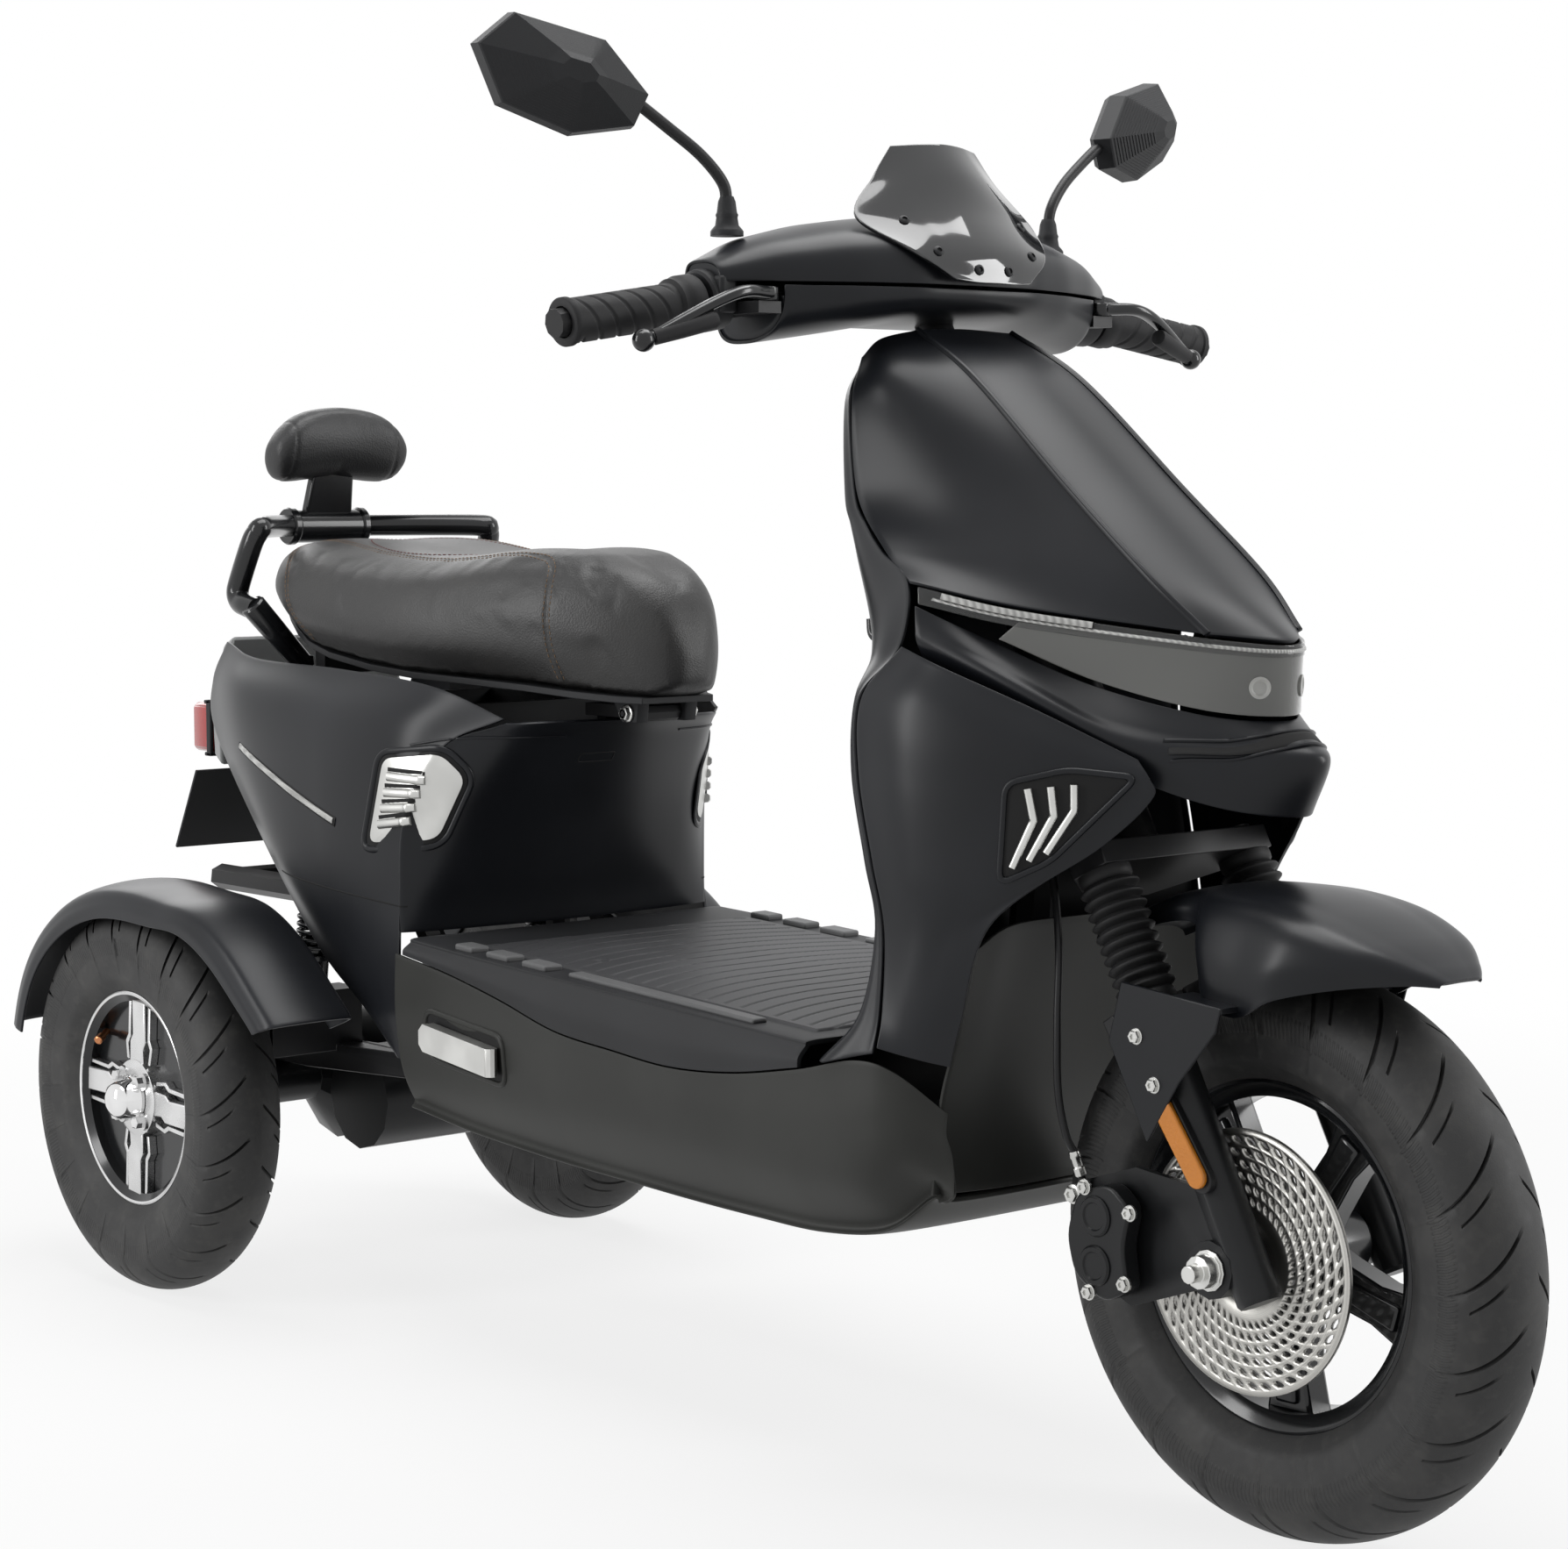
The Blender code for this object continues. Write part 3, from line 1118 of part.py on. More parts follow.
LEG_SHIELD_NET = [
    [(-0.087, -0.2670, 0.848), (-0.073, -0.254, 0.850), (-0.040, -0.245, 0.853), (0, -0.243, 0.853)],
    [(-0.113, -0.2844, 0.819), (-0.100, -0.264, 0.820), (-0.055, -0.246, 0.820), (0, -0.241, 0.820)],
    [(-0.121, -0.2994, 0.750), (-0.112, -0.276, 0.750), (-0.065, -0.251, 0.750), (0, -0.246, 0.750)],
    [(-0.1275, -0.3190, 0.7270), (-0.117, -0.288, 0.726), (-0.069, -0.256, 0.725), (0, -0.250, 0.725)],
    [(-0.136, -0.3464, 0.707), (-0.124, -0.304, 0.702), (-0.075, -0.264, 0.700), (0, -0.256, 0.700)],
    [(-0.1475, -0.3884, 0.684), (-0.129, -0.325, 0.660), (-0.078, -0.280, 0.660), (0, -0.272, 0.660)],
    [(-0.1518, -0.3834, 0.6365), (-0.142, -0.340, 0.630), (-0.082, -0.292, 0.630), (0, -0.284, 0.630)],
    [(-0.1718, -0.3614, 0.600), (-0.160, -0.344, 0.600), (-0.090, -0.305, 0.600), (0, -0.296, 0.600)],
    [(-0.1748, -0.3614, 0.545), (-0.165, -0.347, 0.545), (-0.090, -0.322, 0.545), (0, -0.315, 0.545)],
    [(-0.1738, -0.3754, 0.480), (-0.165, -0.361, 0.480), (-0.090, -0.334, 0.480), (0, -0.328, 0.480)],
    [(-0.1718, -0.3864, 0.430), (-0.163, -0.370, 0.430), (-0.090, -0.341, 0.430), (0, -0.336, 0.430)],
    [(-0.1768, -0.3894, 0.370), (-0.171, -0.360, 0.366), (-0.090, -0.336, 0.374), (0, -0.330, 0.374)],
    [(-0.1830, -0.3890, 0.3390), (-0.186, -0.330, 0.3275), (-0.090, -0.3100, 0.3400), (0, -0.3095, 0.3400)],
]


def leg_shield():
    """The inner panel of the column, towards the rider's knees."""
    inset = [[(x, y + EDGE_INSET * (k == 0), z) for k, (x, y, z) in enumerate(row)]
             for row in LEG_SHIELD_NET]
    rows = net([full_width(row) for row in inset], 9, 13)
    return skin("leg_shield", rows, PANEL_WALL, (0, -0.45, 0.60), "satin_black")


SKIRT_STATIONS = [
    # along, skirt foot height, half width
    (-0.384, 0.3370, 0.186), (-0.340, 0.3270, 0.188), (-0.260, 0.3080, 0.189),
    (-0.150, 0.3000, SKIRT_WIDEST), (-0.010, 0.3080, SKIRT_WIDEST), (0.090, 0.3300, SKIRT_WIDEST),
    (0.170, 0.3430, 0.188), (0.2450, 0.3500, 0.184),
]
MAT_ROWS = [float(y) for y in np.linspace(MAT_FRONT, MAT_REAR, 8)]


def floor_mat():
    """The tread board of the footwell with its rounded side skirts."""
    keys = [s[0] for s in SKIRT_STATIONS]
    rows = []
    for y in MAT_ROWS:
        foot = float(np.interp(y, keys, [s[1] for s in SKIRT_STATIONS]))
        half = float(np.interp(y, keys, [s[2] for s in SKIRT_STATIONS]))
        top = deck_height(y)
        foot = min(foot, top - 0.004)
        knee = top - 0.004
        rows.append(full_width([
            (-half, y, foot), (-half + 0.001, y, (foot + knee) / 2), (-half + 0.008, y, knee),
            (-half + 0.014, y, top), (-half + 0.06, y, top), (0, y, top)]))
    skin("floor_mat", rows, MAT_WALL, (0, -0.05, 0.2), "texture_black")


TUB_STATIONS = [
    # along, height of the underside, height of the turn, half width of the underside
    (-0.404, 0.222, 0.262, 0.128), (-0.380, 0.198, 0.244, 0.140), (-0.330, 0.186, 0.236, 0.148),
    (-0.200, 0.185, 0.236, 0.152), (0.000, 0.190, 0.240, 0.154), (0.130, 0.195, 0.244, 0.154),
    (0.2420, 0.206, 0.250, 0.154),
]


def lower_tub():
    """The shell under the footwell: two sides and the belly in one."""
    keys = [s[0] for s in TUB_STATIONS]
    rows = []
    for y in [keys[0], -0.370] + MAT_ROWS + [keys[-1]]:
        low, turn, flat = (float(np.interp(y, keys, [s[k] for s in TUB_STATIONS])) for k in (1, 2, 3))
        foot = float(np.interp(y, [s[0] for s in SKIRT_STATIONS], [s[1] for s in SKIRT_STATIONS]))
        half = float(np.interp(y, [s[0] for s in SKIRT_STATIONS], [s[2] for s in SKIRT_STATIONS]))
        top = foot - PANEL_SEAM
        if y < -0.384:
            half -= 0.5 * (-0.384 - y)
            top -= 0.5 * (-0.384 - y)
        rows.append(full_width([
            (-half, y, top), (-half - TUB_SWELL, y, (top + turn) / 2), (-half + 0.005, y, turn),
            (-flat - 0.012, y, low + 0.012), (-flat, y, low + 0.002), (0, y, low)]))
    return skin("lower_tub", rows, PANEL_WALL, (0, -0.05, 0.3), "lower_black")


def splash_guard():
    """The wall between the front wheel and the footwell."""
    rows = [
        [(-0.146, -0.4120, 0.232), (-0.075, -0.4100, 0.228), (0, -0.4090, 0.227)],
        [(-0.150, -0.4250, 0.300), (-0.080, -0.4080, 0.300), (0, -0.4030, 0.300)],
        [(-0.149, -0.4400, 0.350), (-0.080, -0.4160, 0.360), (0, -0.4080, 0.360)],
        [(-0.148, -0.4600, 0.420), (-0.080, -0.4300, 0.430), (0, -0.4220, 0.430)],
    ]
    grid = net([full_width(row) for row in rows], 7, 5)
    return skin("splash_guard", grid, PANEL_WALL, (0, -0.30, 0.33), "lower_black")


SIDE_NET = [
    [(-0.120, 0.165, 0.5560), (-0.143, 0.240, 0.5820), (-0.146, 0.380, 0.5920),
     (-0.138, 0.540, 0.5960), (-0.112, 0.640, 0.6080)],
    [(-0.150, 0.215, 0.5300), (-0.167, 0.270, 0.5440), (-0.171, 0.385, 0.5500),
     (-0.160, 0.540, 0.5600), (-0.118, 0.658, 0.5700)],
    [(-0.168, 0.245, 0.4700), (-0.173, 0.290, 0.4760), (-0.175, 0.385, 0.4850),
     (-0.163, 0.520, 0.5000), (-0.118, 0.655, 0.5200)],
    [(-0.172, 0.252, 0.3900), (-0.174, 0.300, 0.3940), (-0.174, 0.370, 0.4000),
     (-0.169, 0.448, 0.4080), (-0.143, 0.530, 0.4260)],
    [(-0.177, 0.248, 0.3300), (-0.177, 0.284, 0.3310), (-0.176, 0.320, 0.3330),
     (-0.175, 0.354, 0.3360), (-0.172, 0.388, 0.3400)],
    [(-0.178, 0.247, 0.2900), (-0.178, 0.263, 0.2900), (-0.177, 0.279, 0.2905),
     (-0.176, 0.294, 0.2910), (-0.174, 0.309, 0.2920)],
    [(-0.178, 0.244, 0.2540), (-0.178, 0.2465, 0.2540), (-0.178, 0.249, 0.2541),
     (-0.177, 0.2515, 0.2542), (-0.176, 0.254, 0.2545)],
]
FRONT_COVER_NET = [
    [(-0.1170, 0.1640, 0.5510), (-0.085, 0.141, 0.5520), (0, 0.131, 0.5520)],
    [(-0.1462, 0.2115, 0.5300), (-0.100, 0.168, 0.5300), (0, 0.152, 0.5300)],
    [(-0.1658, 0.2426, 0.4700), (-0.112, 0.207, 0.4700), (0, 0.192, 0.4700)],
    [(-0.1690, 0.2488, 0.4000), (-0.120, 0.231, 0.4000), (0, 0.221, 0.4000)],
    [(-0.1690, 0.2488, 0.3650), (-0.120, 0.239, 0.3650), (0, 0.2315, 0.3650)],
]


def rear_covers():
    """The two side panels and the front cover of the seat box."""
    for side, word in ((1, "right"), (-1, "left")):
        rows = [flip(row, side) for row in SIDE_NET]
        skin("side_panel_" + word, net(rows, 9, 9), PANEL_WALL, (0, 0.40, 0.48), "satin_black")
    grid = net([full_width(row) for row in FRONT_COVER_NET], 9, 6)
    skin("seat_box_cover", grid, PANEL_WALL, (0, 0.40, 0.46), "satin_black")


SEAT_STATIONS = [
    # along, half width, underside, top
    (0.044, 0.014, 0.5880, 0.6150), (0.052, 0.031, 0.5800, 0.6440), (0.066, 0.044, 0.5760, 0.6680),
    (0.090, 0.058, 0.5760, 0.6870), (0.140, 0.086, 0.5800, 0.6980), (0.210, 0.110, 0.5860, 0.7010),
    (0.300, 0.132, 0.5900, 0.6940),
    (0.380, 0.142, 0.5960, 0.6960), (0.460, 0.145, 0.6080, 0.7050), (0.500, 0.139, 0.6200, 0.7070),
    (0.535, 0.126, 0.6350, 0.7050), (0.562, 0.110, 0.6450, 0.7000), (0.584, 0.088, 0.6530, 0.6930),
    (0.598, 0.064, 0.6600, 0.6830), (0.604, 0.046, 0.6660, 0.6760),
]
SEAT_ROWS = spline([(s[0], 0, 0) for s in SEAT_STATIONS], 19)[:, 0].tolist()
PAN_ROWS = SEAT_ROWS[3:-2]


def seat_value(y, k):
    """One size of the seat at a place along it."""
    points = spline([(s[0], s[k], 0) for s in SEAT_STATIONS], 60)
    return float(np.interp(y, points[:, 0], points[:, 1]))


def pan_under(y):
    """Height of the underside of the seat's base at a place along it."""
    return float(np.interp(y, PAN_ROWS, [seat_value(p, 2) - PAN_GAP - PAN_TALL for p in PAN_ROWS]))


def cover_stays(covers):
    """Small stays of the frame that carry the covers round the column and the floor."""
    finish = "steel_black"
    half = STAY_HALF
    stays = []
    y, z = BEAK_STAY
    front = y - stay_end(covers["beak"], (0, y, z), (0, -1, 0), half * 1.5, (1, 0, 0))
    stays.append(box("beak_stay", (-half, front, z - half), (half, y, z + half), finish, keep=False))
    y, z = SHIELD_STAY
    rear = y + stay_end(covers["leg_shield"], (0, y, z), (0, 1, 0), half, (1, 0, 0))
    stays.append(box("shield_stay", (-half, y, z - half), (half, rear, z + half), finish, keep=False))
    y, z = WING_STAY
    wide = min(stay_end(covers["nose_wing_" + word], (0, y, z), (side, 0, 0), half * 1.5, (0, 1, 0))
               for side, word in ((-1, "right"), (1, "left")))
    stays.append(box("wing_stay", (-wide, y - half, z - half), (wide, y + half, z + half), finish,
                     keep=False))
    front = y - stay_end(covers["splash_guard"], (0, y, z), (0, -1, 0), half, (1, 0, 0))
    low = z - half * 0.8
    stays.append(box("guard_stay", (-half, front, low), (half, y + 0.036, z + half * 0.8), finish,
                     keep=False))
    for y in CROSS_PLACES:
        z = RAIL_HIGH
        wide = stay_end(covers["lower_tub"], (0, y, z), (1, 0, 0), half * 1.5, (0, 1, 0))
        stays.append(box("tub_stay", (-wide, y - half, z - half), (wide, y + half, z + half), finish,
                         keep=False))
    return stays


def main_frame(covers):
    """The welded frame: head tube, spine, floor rails, rear rails and mounts."""
    finish = "steel_black"
    hoop_top = pan_under(HOOP_Y - 0.008) - TOUCH
    head = on_shock(0, SHOCK_TALL + TOUCH)
    way = on_shock(0, 1.0) - on_shock(0, 0.0)
    level = np.array((0.0, way[2], -way[1]))
    top_y = head[1]
    frame = sleeve("main_frame", on_steer(HEAD_TUBE_LOW), on_steer(HEAD_TUBE_HIGH),
                   STEM_RADIUS + 0.0008, HEAD_TUBE_RADIUS, 16, finish, (0, 0, 0))
    spine = [(0, -0.388, 0.590), (0, -0.374, 0.500), (0, -0.366, 0.400), (0, -0.364, 0.330),
             (0, -0.348, 0.284), (0, -0.300, 0.262)]
    parts = [sweep("spine", spine, 0.018, 8, finish, keep=False)]
    neck = on_steer(0.150)
    parts.append(box("head_gusset", (-0.010, neck[1] + 0.018, 0.560), (0.010, -0.376, 0.622), finish,
                     keep=False))
    for side in (-1, 1):
        x = side * RAIL_X
        parts.append(box("floor_rail", (x - RAIL_HALF, -0.345, RAIL_LOW),
                         (x + RAIL_HALF, 0.240, RAIL_HIGH), finish, keep=False))
        xr = side * REAR_RAIL_X
        rise = [(x, 0.225, 0.2620), (x, 0.262, 0.2640), (x * 1.03, 0.284, 0.288),
                (xr, 0.308, 0.336), (xr, 0.328, 0.361), (xr, 0.355, REAR_RAIL_Z),
                (xr, REAR_RAIL_END, REAR_RAIL_Z)]
        parts.append(sweep("rear_rail", rise, REAR_RAIL_RADIUS, 6, finish, keep=False))
        web = sorted((side * (REAR_RAIL_X - 0.008), side * (REAR_RAIL_X + 0.008)))
        parts.append(box("shelf_web", (web[0], top_y - 0.014, REAR_RAIL_Z),
                         (web[1], top_y + 0.014, BRACKET_TOP), finish, keep=False))
        under = [head + offset * level for offset in (-0.018, 0.018)]
        inner = side * (REAR_RAIL_X - 0.006)
        shelf = [(inner, *under[0][1:]), (inner, *under[1][1:]),
                 (inner, *(under[1] + SHELF_WALL * way)[1:]), (inner, *(under[0] + SHELF_WALL * way)[1:])]
        parts.append(prism("shock_shelf", shelf, (side * (SHOCK_X + 0.017) - inner, 0, 0), finish,
                           keep=False))
        parts.append(box("hoop_post", (web[0], HOOP_Y - 0.009, REAR_RAIL_Z),
                         (web[1], RAIL_FOOT_Y + 0.012, RAIL_FOOT_Z - TOUCH), finish, keep=False))
        lug = sorted((side * (SWING_ARM_X + 0.0215), side * (SWING_ARM_X + 0.0275)))
        parts.append(box("pivot_plate", (lug[0], SWING_PIVOT_Y - 0.020, SWING_PIVOT_Z - 0.018),
                         (lug[1], SWING_PIVOT_Y + 0.018, RAIL_HIGH - 0.003), finish, keep=False))
    beam = SWING_ARM_X + 0.0270
    parts.append(box("pivot_beam", (-beam, 0.215, RAIL_HIGH - 0.015),
                     (beam, SWING_PIVOT_Y + 0.004, RAIL_HIGH - 0.002), finish, keep=False))
    parts.append(rod("pivot_bolt", (-SWING_ARM_X - 0.030, SWING_PIVOT_Y, SWING_PIVOT_Z),
                     (SWING_ARM_X + 0.030, SWING_PIVOT_Y, SWING_PIVOT_Z), 0.0075, 8, finish,
                     keep=False))
    for y in CROSS_PLACES:
        top = deck_height(y - 0.015) - MAT_WALL - TOUCH
        parts.append(box("cross_member", (-0.145, y - 0.015, RAIL_HIGH - 0.012),
                         (0.145, y + 0.015, top), finish, keep=False))
    parts.append(box("spine_foot", (-RAIL_X, -0.345, RAIL_LOW + 0.002), (RAIL_X, -0.290, RAIL_HIGH - 0.002),
                     finish, keep=False))
    parts.append(box("rear_cross", (-REAR_RAIL_X, 0.655, REAR_RAIL_Z - 0.008),
                     (REAR_RAIL_X, 0.685, REAR_RAIL_Z + 0.008), finish, keep=False))
    parts.append(box("tail_arm", (-0.020, 0.660, REAR_RAIL_Z), (0.020, 0.684, 0.560), finish,
                     keep=False))
    parts.append(box("hoop_bar", (-REAR_RAIL_X, HOOP_Y - 0.008, RAIL_FOOT_Z - 0.006),
                     (REAR_RAIL_X, HOOP_Y + 0.008, hoop_top), finish, keep=False))
    post = [(0, 0.228, 0.262), (0, 0.250, 0.325), (0, 0.253, 0.395), (0, 0.226, 0.465),
            (0, 0.186, 0.528), (0, 0.166, HINGE_Z - 0.002)]
    parts.append(sweep("front_post", post, 0.011, 6, finish, keep=False))
    parts.append(box("hinge_block", (-HINGE_HALF, HINGE_Y, HINGE_Z - 0.0055),
                     (HINGE_HALF, 0.180, HINGE_Z + 0.0055), finish, keep=False))
    parts.append(rod("hinge_barrel", (-HINGE_HALF, HINGE_Y, HINGE_Z), (HINGE_HALF, HINGE_Y, HINGE_Z),
                     HINGE_BARREL_RADIUS, 8, finish, keep=False))
    parts.append(rod("hinge_pin", (-0.040, HINGE_Y, HINGE_Z), (0.040, HINGE_Y, HINGE_Z),
                     HINGE_PIN_RADIUS, 8, finish, keep=False))
    combine(frame, parts + cover_stays(covers))
    bore = rod("head_bore", on_steer(HEAD_TUBE_LOW - 0.02), on_steer(HEAD_TUBE_HIGH + 0.02),
               STEM_RADIUS + 0.0008, 16, finish, keep=False)
    return combine(frame, [bore], "DIFFERENCE")


def storage_bin():
    """The open box under the seat and the battery that stands in it."""
    low = BRACKET_TOP + TOUCH
    outer = box("storage_bin", (-BIN_HALF, BIN_FRONT, low), (BIN_HALF, BIN_REAR, BIN_TOP),
                "texture_black")
    hollow = box("bin_hollow", (-BIN_HALF + BIN_WALL, BIN_FRONT + BIN_WALL, low + BIN_WALL),
                 (BIN_HALF - BIN_WALL, BIN_REAR - BIN_WALL, BIN_TOP + 0.05), "texture_black", keep=False)
    combine(outer, [hollow], "DIFFERENCE")
    box("battery_pack", (-BIN_HALF + 0.010, BIN_FRONT + 0.012, low + BIN_WALL + TOUCH),
        (BIN_HALF - 0.010, BIN_REAR - 0.012, BATTERY_TOP), "battery_grey", 0.004, 1)


def seat_cushion():
    """The crowned saddle: sides drawn in below a soft shoulder."""
    rings = []
    for y in SEAT_ROWS:
        half = seat_value(y, 1)
        low = seat_value(y, 2)
        high = seat_value(y, 3)
        tall = high - low
        shape = [(-0.86, 0.0), (-1.0, 0.30), (-0.965, 0.66), (-0.84, 0.88), (-0.50, 0.985), (0.0, 0.99)]
        row = full_width([(half * a, y, low + tall * b) for a, b in shape])
        rings.append(row)
    cushion = loft("seat_cushion", rings, "seat_black", (0, HINGE_Y, HINGE_Z))
    return cushion


def seat_pan():
    """The moulded base under the saddle, with its two hinge lugs."""
    rings = []
    for y in PAN_ROWS:
        half = seat_value(y, 1) * 0.82
        low = pan_under(y)
        top = low + PAN_TALL
        rings.append([(-half, y, low), (half, y, low), (half, y, top), (-half, y, top)])
    pan = loft("seat_pan", rings, "texture_black", (0, HINGE_Y, HINGE_Z))
    lugs = []
    holes = []
    for side in (-1, 1):
        ends = sorted((side * (HINGE_HALF + SLIP), side * (HINGE_HALF + 0.013)))
        outline = [(ends[0], HINGE_Y + along, HINGE_Z + rise) for along, rise in
                   ((-0.011, -0.008), (0.010, -0.008), (0.024, 0.0125), (-0.014, 0.0125))]
        lugs.append(prism("hinge_lug", outline, (ends[1] - ends[0], 0, 0), "texture_black", keep=False))
    holes.append(rod("hinge_hole", (-0.050, HINGE_Y, HINGE_Z), (0.050, HINGE_Y, HINGE_Z),
                     HINGE_PIN_RADIUS + 0.0004, 8, "texture_black", keep=False))
    combine(pan, lugs)
    return combine(pan, holes, "DIFFERENCE")


def tail():
    """The tail moulding, its lamp and the plate holder."""
    rings = []
    # share of the way back, half width, underside, top
    for share, half, low, high in ((0.0, 0.108, 0.515, 0.612), (0.4011, 0.092, 0.520, 0.604),
                                   (0.8075, 0.070, 0.528, 0.585), (1.0, 0.060, 0.532, 0.566)):
        y = TAIL_FRONT + share * (TAIL_REAR - TAIL_FRONT)
        low -= 0.030
        rings.append([(-half, y, low), (half, y, low), (half * 1.02, y, (low + high) / 2),
                      (half * 0.86, y, high), (-half * 0.86, y, high), (-half * 1.02, y, (low + high) / 2)])
    piece = loft("tail_piece", rings, "grey_trim")
    notch = box("tail_notch", (-0.0205, TAIL_FRONT - 0.01, 0.470),
                (0.0205, REAR_RAIL_END - 0.0055, 0.5605), "grey_trim", keep=False)
    combine(piece, [notch], "DIFFERENCE")
    box("tail_lamp", (-0.062, TAIL_REAR + TOUCH, 0.4900), (0.062, TAIL_REAR + 0.042, 0.5400), "red_lens",
        0.006)
    top = TAIL_REAR - 0.004
    foot = TAIL_REAR + 0.039
    plate = [(-0.085, top, 0.4740), (0.085, top, 0.4740), (0.085, foot, 0.3930), (-0.085, foot, 0.3930)]
    holder = prism("plate_holder", plate, (0, -0.0027, -0.0014), "texture_black")
    arm = [(-0.030, TAIL_REAR + back, z) for back, z in
           ((-0.056, 0.4885), (-0.008, 0.4995), (-0.0005, 0.470), (-0.014, 0.466))]
    strut = prism("plate_arm", arm, (0.060, 0, 0), "texture_black", keep=False)
    return combine(holder, [strut])


RAIL_PATH = [(-0.1405, 0.5370, 0.6430), (-0.1420, 0.5530, 0.6460), (-0.1410, 0.5650, 0.6490),
             (-0.1400, 0.5720, 0.6570), (-0.1390, 0.5690, 0.6690), (-0.1370, 0.5510, 0.7030),
             (-0.1330, 0.5460, 0.7150), (-0.1240, 0.5500, 0.7200), (-0.0560, 0.6220, 0.7205),
             (-0.0420, 0.6340, 0.7200), (-0.0300, 0.6370, 0.7200), (0, 0.6370, 0.7200)]


def post_outline(grow):
    """The front face of the backrest's post, made wider and longer by grow."""
    y, z = RAIL_PATH[-1][1:]
    low = (y - 0.008, z + 0.008)
    high = (y - 0.022 - grow * 0.24, 0.7840 + grow)
    return [(-0.027 - grow, *low), (0.027 + grow, *low), (0.022 + grow, *high),
            (-0.022 - grow, *high)]


def grab_rail():
    """The grab rail behind the seat with the clamp and post of the backrest."""
    rail = sweep("grab_rail", full_width(RAIL_PATH), RAIL_TUBE_RADIUS, 7, "satin_black")
    parts = []
    for side in (-1, 1):
        x = side * REAR_RAIL_X
        parts.append(box("rail_foot", (x - 0.008, RAIL_FOOT_Y - 0.012, RAIL_FOOT_Z),
                         (x + 0.008, RAIL_FOOT_Y + 0.012, RAIL_FOOT_Z + 0.010), "satin_black",
                         keep=False))
        parts.append(rod("rail_boss", (x, RAIL_FOOT_Y - 0.004, RAIL_FOOT_Z + 0.008),
                         (side * 0.1460, 0.5370, 0.6480), 0.0105, 8, "satin_black", keep=False))
    clamp_y, clamp_z = RAIL_PATH[-1][1:]
    parts.append(rod("clamp", (-CLAMP_HALF, clamp_y, clamp_z), (CLAMP_HALF, clamp_y, clamp_z),
                     CLAMP_RADIUS, 12, "satin_black", keep=False))
    parts.append(prism("post", post_outline(0.0), POST_DEPTH, "satin_black", keep=False))
    return combine(rail, parts)


def backrest_pad():
    """The padded backrest: a crowned bar, longer along its foot than along its top."""
    x0, y0, z0 = PAD_CENTRE
    rings = []
    for share in (-1.0, -0.96, -0.86, -0.66, -0.33, 0.0, 0.33, 0.66, 0.86, 0.96, 1.0):
        away = abs(share)
        top = PAD_TOP * (1 - 0.55 * away ** 3.0) * math.sqrt(max(0.0, 1 - away ** 7)) - 0.004 * away
        low = PAD_LOW * math.sqrt(max(0.0, 1 - away ** 9)) + 0.006 * away
        deep = PAD_DEPTH * (0.35 + 0.65 * math.sqrt(max(0.0, 1 - away ** 5)))
        middle = (top - low) / 2
        half = max((top + low) / 2, 0.006)
        ring = []
        for k in range(12):
            angle = 2 * math.pi * k / 12
            over = math.copysign(abs(math.cos(angle)) ** 0.85, math.cos(angle))
            rise = math.copysign(abs(math.sin(angle)) ** 0.85, math.sin(angle))
            z = middle + half * rise
            ring.append((x0 + PAD_HALF * share, y0 + deep * over - 0.010 * share * share
                         - PAD_LEAN * z, z0 + z))
        rings.append(ring)
    pad = loft("backrest_pad", rings, "seat_black", PAD_CENTRE)
    outline = post_outline(PAD_GAP)
    back = [(x, y + 0.0115, z + 0.0046) for x, y, z in outline]
    slot = prism("pad_slot", [(x, y - 0.0007, z - 0.0003) for x, y, z in outline],
                 tuple(np.subtract(back[0], outline[0])), "seat_black", keep=False)
    return combine(pad, [slot], "DIFFERENCE")


def footpegs():
    """Folded passenger pegs on the flanks, each with a knuckle round its upright pin."""
    inner = SKIRT_WIDEST + TUB_SWELL + PEG_GAP
    for side, word in ((-1, "right"), (1, "left")):
        rear = PEG_FRONT + PEG_LENGTH
        shape = [(PEG_FRONT, PEG_LOW), (rear - 0.006, PEG_LOW + 0.010), (rear, PEG_LOW + 0.016),
                 (rear, PEG_HIGH + 0.004), (rear - 0.006, PEG_HIGH + 0.010), (PEG_FRONT, PEG_HIGH)]
        outline = [(side * inner, y, z) for y, z in shape]
        pin = (side * (inner + PEG_WALL / 2), PEG_FRONT, PEG_LOW)
        peg = prism("footpeg_" + word, outline, (side * PEG_WALL, 0, 0), "cast_silver", pin)
        knuckle = rod("peg_knuckle", pin, (*pin[:2], PEG_HIGH), PEG_WALL / 2, 10, "cast_silver", keep=False)
        combine(peg, [knuckle])


def build():
    """Make every piece, then move the whole over the origin."""
    start_clean()
    front_wheel()
    front_axle()
    for side, word in ((-1, "right"), (1, "left")):
        fork_leg("fork_leg_" + word, side)
        gaiter("gaiter_" + word, side)
        grip(("throttle_grip" if side < 0 else "left_grip"), side)
        lever("brake_lever_" + word, side)
        mirror("mirror_" + word, side)
        rear_fender("rear_fender_" + word, side)
    steering_stem()
    brake_caliper()
    brake_hose()
    front_fender()
    handlebar(*cowls(windscreen()))
    rear_wheels()
    rear_axle()
    swing_arm()
    shocks()
    nose_upper()
    covers = [beak(), *nose_wings(), leg_shield(), lower_tub(), splash_guard()]
    main_frame({cover.name: cover for cover in covers})
    floor_mat()
    rear_covers()
    storage_bin()
    seat_cushion()
    seat_pan()
    tail()
    grab_rail()
    backrest_pad()
    footpegs()
    for piece in bpy.data.objects:
        piece.location.y += TO_MIDDLE


build()
